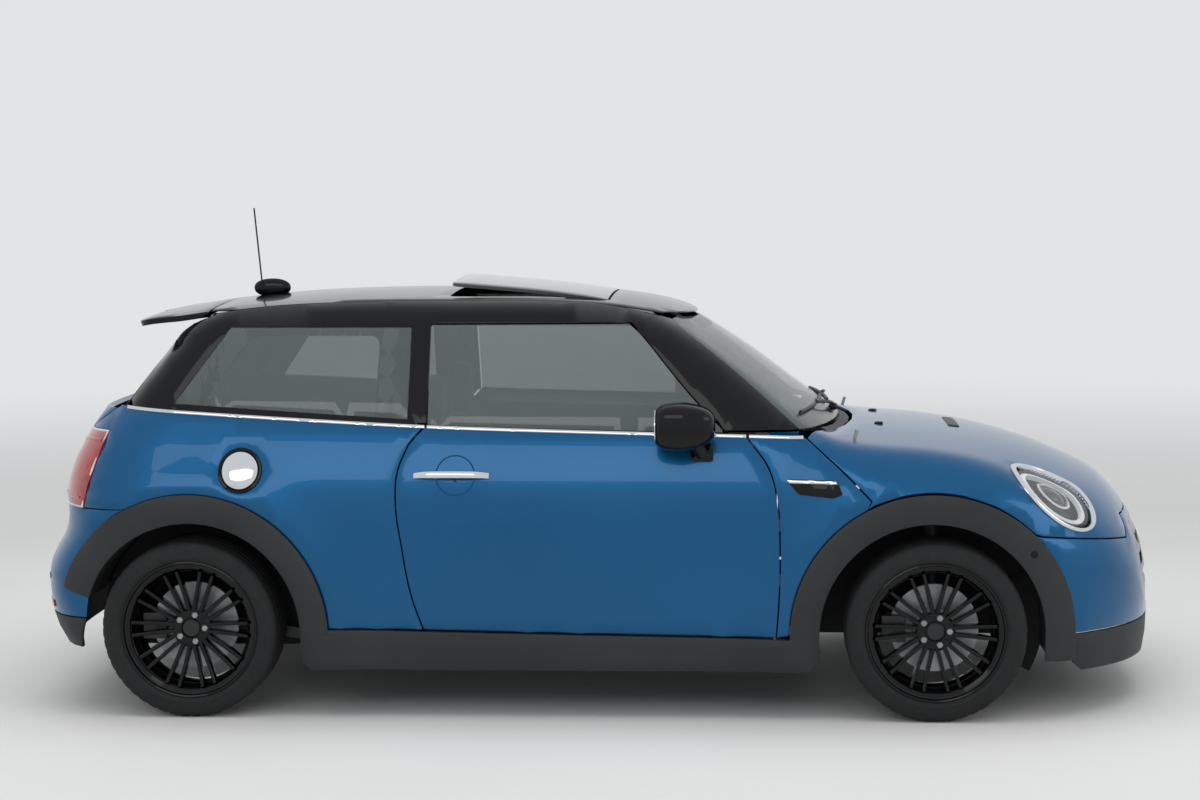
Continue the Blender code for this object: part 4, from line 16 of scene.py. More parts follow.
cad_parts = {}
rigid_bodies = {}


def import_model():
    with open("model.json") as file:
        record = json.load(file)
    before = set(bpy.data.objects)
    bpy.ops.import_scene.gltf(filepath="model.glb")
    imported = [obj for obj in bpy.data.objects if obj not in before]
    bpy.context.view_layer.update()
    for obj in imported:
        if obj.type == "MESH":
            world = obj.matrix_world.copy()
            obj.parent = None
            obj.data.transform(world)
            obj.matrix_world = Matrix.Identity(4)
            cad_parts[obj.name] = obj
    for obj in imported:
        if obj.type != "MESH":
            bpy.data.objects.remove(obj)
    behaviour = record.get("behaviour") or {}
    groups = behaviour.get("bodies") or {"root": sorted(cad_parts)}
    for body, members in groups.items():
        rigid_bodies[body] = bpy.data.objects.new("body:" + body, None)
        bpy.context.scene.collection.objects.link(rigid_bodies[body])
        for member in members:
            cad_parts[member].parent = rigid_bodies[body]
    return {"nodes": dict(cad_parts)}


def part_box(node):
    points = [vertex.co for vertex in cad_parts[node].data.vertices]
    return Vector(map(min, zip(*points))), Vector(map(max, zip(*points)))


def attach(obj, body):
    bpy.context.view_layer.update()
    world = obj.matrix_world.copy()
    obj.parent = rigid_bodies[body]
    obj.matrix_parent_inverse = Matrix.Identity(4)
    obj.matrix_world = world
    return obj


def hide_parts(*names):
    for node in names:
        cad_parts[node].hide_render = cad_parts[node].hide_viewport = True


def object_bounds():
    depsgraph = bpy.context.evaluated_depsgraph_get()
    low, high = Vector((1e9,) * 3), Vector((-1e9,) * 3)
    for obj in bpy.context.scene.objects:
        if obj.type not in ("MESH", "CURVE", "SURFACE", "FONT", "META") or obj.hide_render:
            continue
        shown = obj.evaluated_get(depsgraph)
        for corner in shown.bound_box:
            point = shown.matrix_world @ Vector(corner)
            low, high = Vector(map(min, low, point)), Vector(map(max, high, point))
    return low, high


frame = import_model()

cad_box = [list(corner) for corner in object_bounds()]
for leftover in [o for o in bpy.data.objects if o.type in {"CAMERA", "LIGHT"} or o.name == "Cube"]:
    bpy.data.objects.remove(leftover)

# %% [markdown]
# ## Finishes
# Colours are picked as sRGB hex, the way a paint chart prints them, and turned to the
# linear values that a renderer adds up. One helper adds a node with its settings and links.

# %% Colour and node helpers
def linear(hex_colour):
    parts = [int(hex_colour[k:k + 2], 16) / 255 for k in (1, 3, 5)]
    return [c / 12.92 if c <= 0.04045 else ((c + 0.055) / 1.055) ** 2.4 for c in parts] + [1.0]


def node(tree, kind, values=(), links=(), **settings):
    made = tree.nodes.new(kind)
    for key, value in settings.items():
        setattr(made, key, value)
    for key, value in dict(values).items():
        made.inputs[key].default_value = value
    for key, source in dict(links).items():
        tree.links.new(source, made.inputs[key])
    return made


def surface(name, values):
    """A new material with one shader, its node tree and a coordinate in metres."""
    made = bpy.data.materials.new(name)
    made.use_nodes = True
    tree = made.node_tree
    shader = tree.nodes["Principled BSDF"]
    for key, value in values.items():
        shader.inputs[key].default_value = value
    place = node(tree, "ShaderNodeTexCoord").outputs["Object"]
    return made, tree, shader, place


def spread(tree, place, shader, size_mm, low, high, socket="Roughness", detail=4.0):
    """Noise of a real size, in mm, that moves a shader value between low and high."""
    noise = node(tree, "ShaderNodeTexNoise", {"Scale": 1000 / size_mm, "Detail": detail},
                 {"Vector": place})
    ramp = node(tree, "ShaderNodeMapRange", {"To Min": low, "To Max": high},
                {"Value": noise.outputs["Fac"]})
    tree.links.new(ramp.outputs["Result"], shader.inputs[socket])
    return noise


def tint(tree, place, shader, size_mm, dark, light):
    """Noise of a real size, in mm, that moves the colour between two hex values."""
    noise = node(tree, "ShaderNodeTexNoise", {"Scale": 1000 / size_mm, "Detail": 3.0},
                 {"Vector": place})
    ramp = node(tree, "ShaderNodeValToRGB", links={"Fac": noise.outputs["Fac"]})
    ramp.color_ramp.elements[0].position, ramp.color_ramp.elements[1].position = 0.3, 0.7
    ramp.color_ramp.elements[0].color = linear(dark)
    ramp.color_ramp.elements[1].color = linear(light)
    tree.links.new(ramp.outputs["Color"], shader.inputs["Base Color"])


def relief(tree, place, shader, size_mm, depth_mm, kind="ShaderNodeTexNoise", **settings):
    """Bumps of a real size and depth, both in mm."""
    pattern = node(tree, kind, {"Scale": 1000 / size_mm}, {"Vector": place}, **settings)
    height = pattern.outputs["Fac"] if "Fac" in pattern.outputs else pattern.outputs["Distance"]
    bump = node(tree, "ShaderNodeBump", {"Distance": depth_mm / 1000, "Strength": 1.0},
                {"Height": height})
    tree.links.new(bump.outputs["Normal"], shader.inputs["Normal"])

# %% [markdown]
# ### Blue metallic clearcoat
# Body colour is a pigment coat full of aluminium flakes under clear lacquer. The flakes
# tilt a little, so the colour glitters; the lacquer mirrors the sky. Flakes are about
# 0.03 mm, too fine to show, so they are drawn 1.5 mm wide. The eye gets a deep blue
# with a pale sheen on top.

# %% Paint
PAINT, tree, shader, place = surface("blue_metallic_clearcoat", {
    "Metallic": 0.75, "Roughness": 0.34, "Coat Weight": 0.7, "Coat Roughness": 0.02,
    "Coat IOR": 1.4, "Specular IOR Level": 0.25})
tint(tree, place, shader, 900, "#005280", "#02588A")
relief(tree, place, shader, 1.5, 0.004, "ShaderNodeTexVoronoi", feature="F1")
print("paint:", PAINT.name)

# %% [markdown]
# ### Black lacquer, grained plastic, chrome
# The roof, pillars and mirrors are black paint under lacquer. Bumper skirts and arch
# trims are moulded polypropylene with a fine leather-like grain of about 1 mm. The belt
# strip and lamp rings are chromed plastic.

# %% Trim finishes
# Black enamel under lacquer: no colour of its own, so the eye sees the sky in it.
BLACK_PAINT, tree, shader, place = surface("black_lacquer", {
    "Base Color": linear("#060709"), "Coat Weight": 0.45, "Coat Roughness": 0.02,
    "Coat IOR": 1.42, "Specular IOR Level": 0.1})
spread(tree, place, shader, 300, 0.12, 0.22)

# Moulded in a grained tool: dark grey, soft light, no mirror.
PLASTIC, tree, shader, place = surface("grained_polypropylene", {"Specular IOR Level": 0.4})
tint(tree, place, shader, 220, "#232528", "#2B2D30")
spread(tree, place, shader, 60, 0.48, 0.6)
relief(tree, place, shader, 1.6, 0.12, "ShaderNodeTexVoronoi", feature="F1")

# Smooth black ABS for small mouldings: a dull sheen.
DARK_PLASTIC, tree, shader, place = surface("black_abs", {"Roughness": 0.45})
tint(tree, place, shader, 150, "#0D0E10", "#131417")
spread(tree, place, shader, 40, 0.35, 0.5)

# Chromed ABS: a clean mirror, a little cold.
CHROME, tree, shader, place = surface("chromed_plastic", {"Metallic": 1.0})
tint(tree, place, shader, 400, "#D4D7DB", "#E2E4E7")
spread(tree, place, shader, 200, 0.05, 0.11)

# %% [markdown]
# Bare metal and coatings under the car.

# %% Metals and coating
# Rolled and turned steel: grey, with blurred reflections.
STEEL, tree, shader, place = surface("rolled_steel", {"Metallic": 1.0})
tint(tree, place, shader, 50, "#8B8D90", "#A3A5A8")
spread(tree, place, shader, 20, 0.3, 0.5)

# Cast iron and alloy: darker and rougher than rolled steel.
CAST, tree, shader, place = surface("cast_iron", {"Metallic": 0.8})
tint(tree, place, shader, 30, "#4A4B4D", "#5A5A5B")
spread(tree, place, shader, 12, 0.5, 0.7)

# Sprayed rubbery coating: black, lumpy, matt.
UNDERSEAL, tree, shader, place = surface("stone_chip_coating", {"Roughness": 0.85})
tint(tree, place, shader, 90, "#141517", "#1C1D1F")
relief(tree, place, shader, 4, 0.5)
print("trim finishes:", BLACK_PAINT.name, PLASTIC.name, CHROME.name)

# %% [markdown]
# ### Glass, lenses, rubber and cloth
# Car windows are tinted about a quarter, and float glass is very smooth; their grey-green hue
# is the tint, and their pale grey brightness is a painted reflection of the room. Lamp lenses
# are moulded polycarbonate. Tyres are carbon-black rubber. Seats are woven polyester, whose
# threads are about 1 mm apart.

# %% Clear and soft finishes
# Tinted glass: grey-green tint, with a painted reflection of the pale room in its pale grey colour;
# the cabin shows dimly through.
WINDOW, tree, shader, place = surface("tinted_float_glass", {
    "Base Color": linear("#64716F"), "Alpha": 0.46, "IOR": 1.52, "Specular IOR Level": 0.8,
    "Coat Weight": 0.6, "Coat Roughness": 0.0})
spread(tree, place, shader, 500, 0.0, 0.02)

# Dark glass of the roof: nearly black, sharp reflections.
PRIVACY, tree, shader, place = surface("dark_float_glass", {
    "Base Color": linear("#0A0D0E"), "Alpha": 0.9, "IOR": 1.52, "Coat Weight": 1.0,
    "Coat Roughness": 0.0})
spread(tree, place, shader, 500, 0.0, 0.02)

# Clear moulded lens: only its gloss shows.
CLEAR_LENS, tree, shader, place = surface("clear_polycarbonate", {
    "Base Color": linear("#E4EAEE"), "Alpha": 0.16, "IOR": 1.58, "Coat Weight": 1.0})
spread(tree, place, shader, 300, 0.02, 0.05)

# %% [markdown]
# Lamp plastics are dyed in the mass, so the colour sits under the gloss.

# %% Lamp plastics and soft finishes
# Red moulded lens: deep colour under gloss.
RED_LENS, tree, shader, place = surface("red_polycarbonate", {"Coat Weight": 1.0, "IOR": 1.58})
tint(tree, place, shader, 60, "#8E1018", "#B01B22")
spread(tree, place, shader, 80, 0.08, 0.16)

# Frosted lamp ring: white and soft.
DAYLIGHT, tree, shader, place = surface("frosted_polycarbonate", {"Roughness": 0.3})
tint(tree, place, shader, 30, "#DADFE3", "#F0F2F4")
spread(tree, place, shader, 25, 0.2, 0.4)

# Carbon-black rubber: matt, slightly dusty.
TYRE_RUBBER, tree, shader, place = surface("tyre_rubber", {"Specular IOR Level": 0.4})
tint(tree, place, shader, 40, "#101112", "#17181A")
spread(tree, place, shader, 15, 0.6, 0.78)

# Woven cloth: dark, with a pale bloom along edges. Threads drawn 2.2 mm wide to show.
CLOTH, tree, shader, place = surface("woven_polyester", {
    "Sheen Weight": 0.25, "Sheen Roughness": 0.5, "Roughness": 0.9})
tint(tree, place, shader, 3, "#1E2023", "#2C2F33")
relief(tree, place, shader, 2.2, 0.35, "ShaderNodeTexVoronoi", feature="F1")

# Reflective sheet: white, fine-grained.
PLATE_WHITE, tree, shader, place = surface("reflective_sheet", {"Coat Weight": 0.6})
tint(tree, place, shader, 20, "#DDDEDC", "#E8E8E6")
spread(tree, place, shader, 4, 0.25, 0.4)

# Silvered glass: a full mirror.
MIRROR, tree, shader, place = surface("silvered_glass", {"Metallic": 1.0, "IOR": 1.52})
tint(tree, place, shader, 400, "#DDE1E4", "#E9ECEE")
spread(tree, place, shader, 400, 0.0, 0.02)
print("materials:", len(bpy.data.materials))

# %% [markdown]
# ### Outlines
# Every panel starts as a flat outline, as a cutter would draw it. These helpers move it
# inward, test what lies inside it and cut its long edges.

# %% Loops in a plane
SKIN = 0.004
STEP = 0.045


def area(loop):
    x, y = np.array(loop).T
    return 0.5 * float(np.sum(x * np.roll(y, -1) - y * np.roll(x, -1)))


def inset(loop, distance):
    """The loop moved inward by the distance, with mitred corners."""
    points = np.array(loop, float)
    if area(loop) < 0:
        points = points[::-1]
    before = points - np.roll(points, 1, axis=0)
    after = np.roll(points, -1, axis=0) - points
    before /= np.linalg.norm(before, axis=1)[:, None]
    after /= np.linalg.norm(after, axis=1)[:, None]
    left_before = np.stack([-before[:, 1], before[:, 0]], axis=1)
    left_after = np.stack([-after[:, 1], after[:, 0]], axis=1)
    middle = left_before + left_after
    scale = 1 / np.maximum(0.5, (middle * left_before).sum(axis=1))
    return [tuple(p) for p in points + middle * scale[:, None] * distance]


def inside(points, loop):
    """Which of the points lie inside the loop."""
    x, y = points[:, 0][:, None], points[:, 1][:, None]
    x0, y0 = np.array(loop).T
    x1, y1 = np.roll(x0, -1), np.roll(y0, -1)
    spans = (y0 > y) != (y1 > y)
    rise = np.where(y1 == y0, 1.0, y1 - y0)
    crossing = x0 + (y - y0) / rise * (x1 - x0)
    return (spans & (x < crossing)).sum(axis=1) % 2 == 1


def divided(loop, step):
    """The loop with its long edges cut into pieces no longer than the step."""
    made = []
    for a, b in zip(loop, loop[1:] + loop[:1]):
        pieces = max(1, math.ceil(math.dist(a, b) / step))
        made += [(a[0] + (b[0] - a[0]) * k / pieces, a[1] + (b[1] - a[1]) * k / pieces)
                 for k in range(pieces)]
    return made


print("panel thickness:", SKIN)

# %% [markdown]
# ### Filling
# An outline is filled with even triangles, so that it can bend with the body. A plain
# face would fold badly, and a remesh would lose the edge.

# %% Filling an outline
INNER_ROOM_SHARE = 0.62
ROW_SHARE = 0.866
JOIN = 1e-5


def filled(outline, holes, lines, step, stretch):
    """A flat mesh that fills the outline less the holes, with edges along the lines."""
    squeeze = np.array([1 / stretch, 1.0])
    loops = [divided([tuple(np.array(p) * squeeze) for p in loop], step)
             for loop in [outline, *holes, *lines]]
    gaps = loops[1:1 + len(holes)]
    rim = np.concatenate([np.array(loop) for loop in loops])
    low, high = rim.min(axis=0), rim.max(axis=0)
    rows = np.arange(low[1] + step / 2, high[1], step * ROW_SHARE)
    grid = np.array([(x + (k % 2) * step / 2, y) for k, y in enumerate(rows)
                     for x in np.arange(low[0], high[0], step)])
    if len(grid):
        keep = inside(grid, loops[0])
        for hole in gaps:
            keep &= ~inside(grid, hole)
        grid = grid[keep]
    if len(grid):
        room = np.linalg.norm(grid[:, None] - rim[None], axis=2).min(axis=1)
        grid = grid[room > step * INNER_ROOM_SHARE]
    edges, start = [], 0
    for loop in loops:
        edges += [(start + k, start + (k + 1) % len(loop)) for k in range(len(loop))]
        start += len(loop)
    every = np.concatenate([rim, grid]) if len(grid) else rim
    points, _, triangles, _, _, _ = geometry.delaunay_2d_cdt(
        [Vector(p) for p in every], edges, [], 0, JOIN)
    points = np.array([tuple(p) for p in points])
    triangles = np.array([tuple(t) for t in triangles])
    middles = points[triangles].mean(axis=1)
    keep = inside(middles, loops[0])
    for hole in gaps:
        keep &= ~inside(middles, hole)
    triangles = triangles[keep]
    used, places = np.unique(triangles, return_inverse=True)
    return points[used] / squeeze, places.reshape(-1, 3)

# %% [markdown]
# A mesh is made from points and faces. The left side is the right side turned over.

# %% Meshes and mirror images
def mesh_object(name, points, faces, look):
    mesh = bpy.data.meshes.new(name)
    mesh.from_pydata([tuple(map(float, p)) for p in points], [],
                     [tuple(map(int, f)) for f in faces])
    work = bmesh.new()
    work.from_mesh(mesh)
    bmesh.ops.recalc_face_normals(work, faces=work.faces)
    work.to_mesh(mesh)
    work.free()
    made = bpy.data.objects.new(name, mesh)
    bpy.context.scene.collection.objects.link(made)
    mesh.materials.append(look)
    return made


def mirrored(source, name):
    """A copy on the other side of the car."""
    graph = bpy.context.evaluated_depsgraph_get()
    mesh = bpy.data.meshes.new_from_object(source.evaluated_get(graph))
    mesh.transform(source.matrix_world)
    mesh.transform(Matrix.Diagonal((1, -1, 1, 1)))
    mesh.flip_normals()
    mesh.name = name
    made = bpy.data.objects.new(name, mesh)
    bpy.context.scene.collection.objects.link(made)
    return made

# %% [markdown]
# ## Pieces
# A pressed panel has a rolled edge a few millimetres wide, which catches the light along
# each shut line. Here the outline is repeated 3 mm further in, and the outermost ring of
# points is let down by 2 mm.

# %% Laying a panel
EDGE_ROLL = 0.003
ROLL_DROP_SHARE = 0.6
SHARP_ANGLE = math.radians(38)
BODY = "body"
made_pieces = []


def keep(made, body, slot, *nodes):
    """A finished piece: it rides on its body and may stand for CAD nodes."""
    points = np.empty(3 * len(made.data.vertices))
    made.data.vertices.foreach_get("co", points)
    points = np.clip(points.reshape(-1, 3), cad_box[0], cad_box[1])
    made.data.vertices.foreach_set("co", points.ravel())
    made.data.shade_smooth()
    made.data.set_sharp_from_angle(angle=SHARP_ANGLE)
    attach(made, body)
    if nodes:
        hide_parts(*nodes)
    made_pieces.append(made)
    return made


def panel(name, outline, place, look, outer=0.0, inner=SKIN, holes=(), lines=(), step=STEP,
          stretch=1.0, roll=EDGE_ROLL, shape=None):
    """A thin panel with a rolled edge. shape gives extra height for flat points."""
    loops = [list(outline), *[list(hole) for hole in holes]]
    guides = [inset(loops[0], roll), *[inset(hole, -roll) for hole in loops[1:]], *lines]
    flat, triangles = filled(loops[0], loops[1:], guides, step, stretch)
    points, normals = place(flat)
    count = len(points)
    ends = np.concatenate([triangles[:, [0, 1]], triangles[:, [1, 2]], triangles[:, [2, 0]]])
    once = {}
    for a, b in ends:
        key = (min(a, b), max(a, b))
        once[key] = None if key in once else (a, b)
    rim = [pair for pair in once.values() if pair]
    height = np.full(count, -outer)
    if shape:
        height = height + shape(flat, points)
    edge = sorted({a for a, b in rim} | {b for a, b in rim})
    height[edge] -= roll * ROLL_DROP_SHARE
    both = np.concatenate([points + normals * height[:, None], points - normals * inner])
    faces = [tuple(t) for t in triangles] + [tuple(t[::-1] + count) for t in triangles]
    faces += [(b, a, a + count, b + count) for a, b in rim]
    return mesh_object(name, both, faces, look)

# %% [markdown]
# Trims and lenses are rings and domes: one loop repeated at rising heights. Most pieces
# come in pairs, so one call makes both sides.

# %% Rings, and pieces in pairs
def banded(name, loops, heights, place, look, closed=True):
    """A ring or dome from a run of like loops laid on a skin, each with its own height."""
    rows = []
    for loop, height in zip(loops, heights):
        points, normals = place(np.array(loop))
        rows.append(points + normals * height)
    count = len(rows[0])
    faces = [(k * count + j, k * count + (j + 1) % count, (k + 1) * count + (j + 1) % count,
              (k + 1) * count + j) for k in range(len(rows) - 1)
             for j in range(count if closed else count - 1)]
    return mesh_object(name, np.concatenate(rows), faces, look)


def pair(made, body, slot, *nodes):
    """The piece on the right side and its mirror image on the left."""
    other = mirrored(made, made.name.replace("_right", "_left"))
    keep(made, body.replace("SIDE", "right"), slot, *[n + "_right" for n in nodes])
    keep(other, body.replace("SIDE", "left"), slot, *[n + "_left" for n in nodes])
    return made, other

# %% [markdown]
# ## The form
# Length, width and height come first; the rest is measured against them.

# %% Overall sizes of the body
LENGTH = 3.876
BODY_WIDTH = 1.727
BODY_HEIGHT = 1.414
HALF_LENGTH = LENGTH / 2
HALF_WIDTH = BODY_WIDTH / 2
WHEELBASE = 2.495
FRONT_AXLE_X = 1.145
REAR_AXLE_X = FRONT_AXLE_X - WHEELBASE
PANEL_GAP = 0.005
ARCH_OUTER_RADIUS = 0.468
ARCH_Z = 0.288
ARCH_SHIFT = -0.010
FLARE_HEIGHT = 0.016
FLARE_REACH = 0.085
STRIP_HEIGHT = 0.012
LAMP_INNER_Y = 0.570
FINE_STEP = 0.030
print("length:", LENGTH, "wheelbase:", WHEELBASE)

# %% [markdown]
# ### Profiles
# Shares of half the length and of the height, along the lines that the eye follows.

# %% Profiles of the body
BONNET_PROFILE_SHARES = [
    (0.232, 0.92), (0.31, 0.82), (0.361, 0.735), (0.402, 0.692), (0.45, 0.672), (0.494, 0.665),
    (0.608, 0.654), (0.707, 0.635), (0.784, 0.607), (0.826, 0.586), (0.863, 0.564),
    (0.898, 0.541), (0.924, 0.515), (0.956, 0.47), (0.973, 0.438), (0.987, 0.402),
    (0.996, 0.354)]
BELT_SHARES = [
    (-0.88, 0.736), (-0.846, 0.733), (-0.568, 0.709), (-0.272, 0.687), (0.0, 0.675),
    (0.268, 0.665), (0.372, 0.661)]
DOOR_FRONT_LINE_SHARES = [
    (0.320, 0.197), (0.325, 0.287), (0.327, 0.419), (0.324, 0.509), (0.308, 0.598),
    (0.272, 0.665)]
DOOR_REAR_LINE_SHARES = [
    (-0.281, 0.698), (-0.31, 0.653), (-0.327, 0.598), (-0.331, 0.508), (-0.322, 0.417),
    (-0.304, 0.284), (-0.286, 0.212)]
BONNET_SIDE_LINE_SHARES = [(0.373, 0.664), (0.438, 0.583), (0.492, 0.507)]
NOSE_PROFILE_SHARES = [
    (0.071, 0.96), (0.099, 0.988), (0.141, 0.997), (0.212, 1.0), (0.318, 1.0),
    (0.375, 0.996), (0.424, 0.986), (0.467, 0.973), (0.509, 0.96), (0.601, 0.96)]
TAIL_PROFILE_SHARES = [
    (0.106, 0.929), (0.141, 0.962), (0.177, 0.98), (0.233, 0.995), (0.297, 1.0),
    (0.354, 0.996), (0.4, 0.979), (0.431, 0.966), (0.467, 0.962), (0.523, 0.963),
    (0.601, 0.95), (0.686, 0.916), (0.736, 0.89)]
SIDE_PROFILE_SHARES = [
    (0.099, 0.921), (0.141, 0.94), (0.212, 0.959), (0.297, 0.97), (0.389, 0.976),
    (0.467, 0.975), (0.523, 0.97), (0.566, 0.96), (0.608, 0.94), (0.651, 0.917),
    (0.693, 0.889), (0.75, 0.851)]
SIDE_TAPER_SHARES = [
    (-1.0, 0.965), (-0.70, 0.988), (-0.30, 1.0), (0.20, 1.0), (0.45, 0.993),
    (0.60, 0.986), (0.80, 0.968), (1.0, 0.93)]

# %% [markdown]
# A curve through the measured points gives a height or depth at any place between.

# %% Curves through the profiles
def in_metres(shares, across=HALF_LENGTH, up=BODY_HEIGHT):
    return [(a * across, b * up) for a, b in shares]


def curve_through(points):
    """A smooth function through the points, straight beyond its two ends."""
    xs, ys = np.array(sorted(points)).T
    slopes = np.gradient(ys, xs)

    def value(x):
        x = np.asarray(x, float)
        i = np.clip(np.searchsorted(xs, x) - 1, 0, len(xs) - 2)
        width = xs[i + 1] - xs[i]
        t = (x - xs[i]) / width
        inside = np.clip(t, 0, 1)
        a = 2 * inside**3 - 3 * inside**2 + 1
        b = inside**3 - 2 * inside**2 + inside
        c = inside**3 - inside**2
        middle = a * ys[i] + (1 - a) * ys[i + 1] + width * (b * slopes[i] + c * slopes[i + 1])
        end_slope = np.where(t < 0, slopes[i], slopes[i + 1])
        return middle + (t - inside) * width * end_slope

    return value


def smooth_line(points, spacing=FINE_STEP):
    """Points along a smooth curve through the given ones."""
    points = np.array(points, float)
    places = np.concatenate([[0], np.cumsum(np.linalg.norm(np.diff(points, axis=0), axis=1))])
    count = max(2, round(places[-1] / spacing) + 1)
    wanted = np.linspace(0, places[-1], count)
    return [
        tuple(p) for p in np.stack(
            [curve_through(list(zip(places, points[:, k])))(wanted) for k in range(2)], axis=1)
    ]


belt_z = curve_through(in_metres(BELT_SHARES))
bonnet_z = curve_through(in_metres(BONNET_PROFILE_SHARES))
nose_x = curve_through(in_metres(NOSE_PROFILE_SHARES, BODY_HEIGHT, HALF_LENGTH))
tail_x = curve_through(in_metres(TAIL_PROFILE_SHARES, BODY_HEIGHT, HALF_LENGTH))
side_y = curve_through(in_metres(SIDE_PROFILE_SHARES, BODY_HEIGHT, HALF_WIDTH))
side_taper = curve_through(in_metres(SIDE_TAPER_SHARES, HALF_LENGTH, 1))
print("belt height at the door:", round(float(belt_z(0)), 3))

# %% [markdown]
# ### The body as one form
# One field says how far any point is from the skin. Fields blend with round edges, so
# wings, bonnet and tail flow together, which separate patches would not.

# %% Lower body as one field
NOSE_BOW = 0.30
BOW_START_X = 0.95
BOW_FULL_X = 1.60
TAIL_BOW = 0.10
BONNET_CROWN = 0.07
NOSE_CORNER = 0.42
TAIL_CORNER = 0.30
SHOULDER = 0.10


def arc(centre, radius, start, end, count):
    angles = np.radians(np.linspace(start, end, count))
    return [(centre[0] + radius * math.cos(a), centre[1] + radius * math.sin(a)) for a in angles]


def rounded_meeting(a, b, radius):
    """The larger of two fields, with the edge where they meet rounded."""
    near = np.maximum(radius - np.abs(a - b), 0) / radius
    return np.maximum(a, b) + near * near * radius / 4


ARCH_CENTRES = [(FRONT_AXLE_X + ARCH_SHIFT, ARCH_Z), (REAR_AXLE_X - ARCH_SHIFT / 2, ARCH_Z)]


def flare(x, z):
    """How far the body swells out round the wheel arches."""
    swell = 0
    for cx, cz in ARCH_CENTRES:
        away = (np.hypot(x - cx, z - cz) - ARCH_OUTER_RADIUS) / FLARE_REACH
        swell = swell + FLARE_HEIGHT * np.exp(-away * away)
    return swell


def nose_bow(x, y):
    """How far back the nose's curve in plan sets a point, fading out over the bonnet."""
    share = np.clip((x - BOW_START_X) / (BOW_FULL_X - BOW_START_X), 0, 1)
    return NOSE_BOW * y * y * share * share * (3 - 2 * share)


def lower_body(p):
    """Negative inside the lower body, from the nose to the tail."""
    x, y, z = p.T
    side = np.abs(y) - side_y(z) * side_taper(x) - flare(x, z)
    front = rounded_meeting(side, x + NOSE_BOW * y * y - nose_x(z), NOSE_CORNER)
    ends = rounded_meeting(front, -x + TAIL_BOW * y * y - tail_x(z), TAIL_CORNER)
    top = z - bonnet_z(x + nose_bow(x, y)) + BONNET_CROWN * y * y
    with_top = rounded_meeting(ends, top, SHOULDER)
    return np.where(x > 0, with_top, ends)


print("arch centres:", ARCH_CENTRES)

# %% [markdown]
# ### Laying flat shapes on the skin
# A ray goes from each flat point to the skin, where the field is zero.

# %% Rays from a flat place
SOLVER_STEPS = 26
NORMAL_STEP = 0.0005
FAR = 1.6


def skin_point(field, origin, direction):
    """Where each ray leaves the form, and the skin's normal there."""
    near, far = np.zeros(len(origin)), np.full(len(origin), FAR)
    for _ in range(SOLVER_STEPS):
        middle = (near + far) / 2
        within = field(origin + direction * middle[:, None]) < 0
        near, far = np.where(within, middle, near), np.where(within, far, middle)
    points = origin + direction * near[:, None]
    slopes = [field(points + step) - field(points - step) for step in np.eye(3) * NORMAL_STEP]
    normals = np.stack(slopes, axis=1)
    return points, normals / np.linalg.norm(normals, axis=1)[:, None]


def from_side(field):
    """(x, z) seen from the right side."""
    def place(flat):
        origin = np.stack([flat[:, 0], np.zeros(len(flat)), flat[:, 1]], axis=1)
        return skin_point(field, origin, np.tile([0.0, -1.0, 0.0], (len(flat), 1)))
    return place


LOW_SIDE = from_side(lower_body)

# %% [markdown]
# The tail is unrolled round a fan, so that shapes there keep their size.

# %% The tail unrolled
FAN_Y = 0.40
TAIL_FAN_X = -1.42
FAN_LENGTH = 0.60


def round_end(field, fan_x):
    """(s, z), where s runs along the right side, round the end and back on the left side."""
    way = math.copysign(1, fan_x)
    start, centre = abs(fan_x), abs(fan_x) + FAN_LENGTH + FAN_Y

    def place(flat):
        s, z = flat[:, 0], flat[:, 1]
        left = s > centre
        s = np.where(left, 2 * centre - s, s)
        turn = np.clip((s - start) / FAN_LENGTH, 0, 1) * math.pi / 2
        x = np.minimum(s, start) * way
        y = np.minimum(0, -FAN_Y + np.maximum(s - start - FAN_LENGTH, 0))
        side = np.where(left, -1.0, 1.0)
        origin = np.stack([x, y * side, z], axis=1)
        direction = np.stack([way * np.sin(turn), -np.cos(turn) * side, np.zeros(len(s))], axis=1)
        return skin_point(field, origin, direction)
    return place


def end_centre(fan_x):
    return abs(fan_x) + FAN_LENGTH + FAN_Y


SEARCH_STEPS = 22


def s_where(fan_x, zs, axis, values):
    """The s at each height z where the skin's x (axis 0) or y (axis 1) has this value."""
    place = round_end(lower_body, fan_x)
    low, high = np.zeros(len(zs)), np.full(len(zs), end_centre(fan_x))
    way = math.copysign(1, fan_x)
    for _ in range(SEARCH_STEPS):
        middle = (low + high) / 2
        points = place(np.stack([middle, zs], axis=1))[0]
        if axis == 0:
            past = points[:, 0] * way > np.abs(values)
        else:
            past = points[:, 1] > -np.abs(values)
        low, high = np.where(past, low, middle), np.where(past, middle, high)
    return (low + high) / 2


TAIL = round_end(lower_body, TAIL_FAN_X)


def side_s(fan_x, points):
    """Side-view points as (s, z) round an end."""
    way = math.copysign(1, fan_x)
    x, z = np.array(points, float).T
    found = s_where(fan_x, z, 0, x)
    along = np.where(x * way <= abs(fan_x), x * way, found)
    return [(float(a), float(b)) for a, b in zip(along, z)]


def tail_s(points):
    return side_s(TAIL_FAN_X, points)


def end_s(fan_x, points):
    """Points seen from the end, (y, z), as (s, z)."""
    y, z = np.array(points, float).T
    return [(float(a), float(b)) for a, b in zip(s_where(fan_x, z, 1, y), z)]

# %% [markdown]
# ### Outlines of door and wing
# Neighbours share one shut line, and each is set back by half the gap.

# %% Door and wing outlines
ARC_STEP = 3
BONNET_ARCH_ANGLE = 117
QUARTER_ARCH_ANGLE = 117
FRONT_ARCH, REAR_ARCH = ARCH_CENTRES


def arch(centre, radius, start, end):
    return arc(centre, radius, start, end, abs(end - start) // ARC_STEP + 1)


def belt_line(start, end, lift, count=9):
    return [(x, float(belt_z(x)) + lift) for x in np.linspace(start, end, count)]


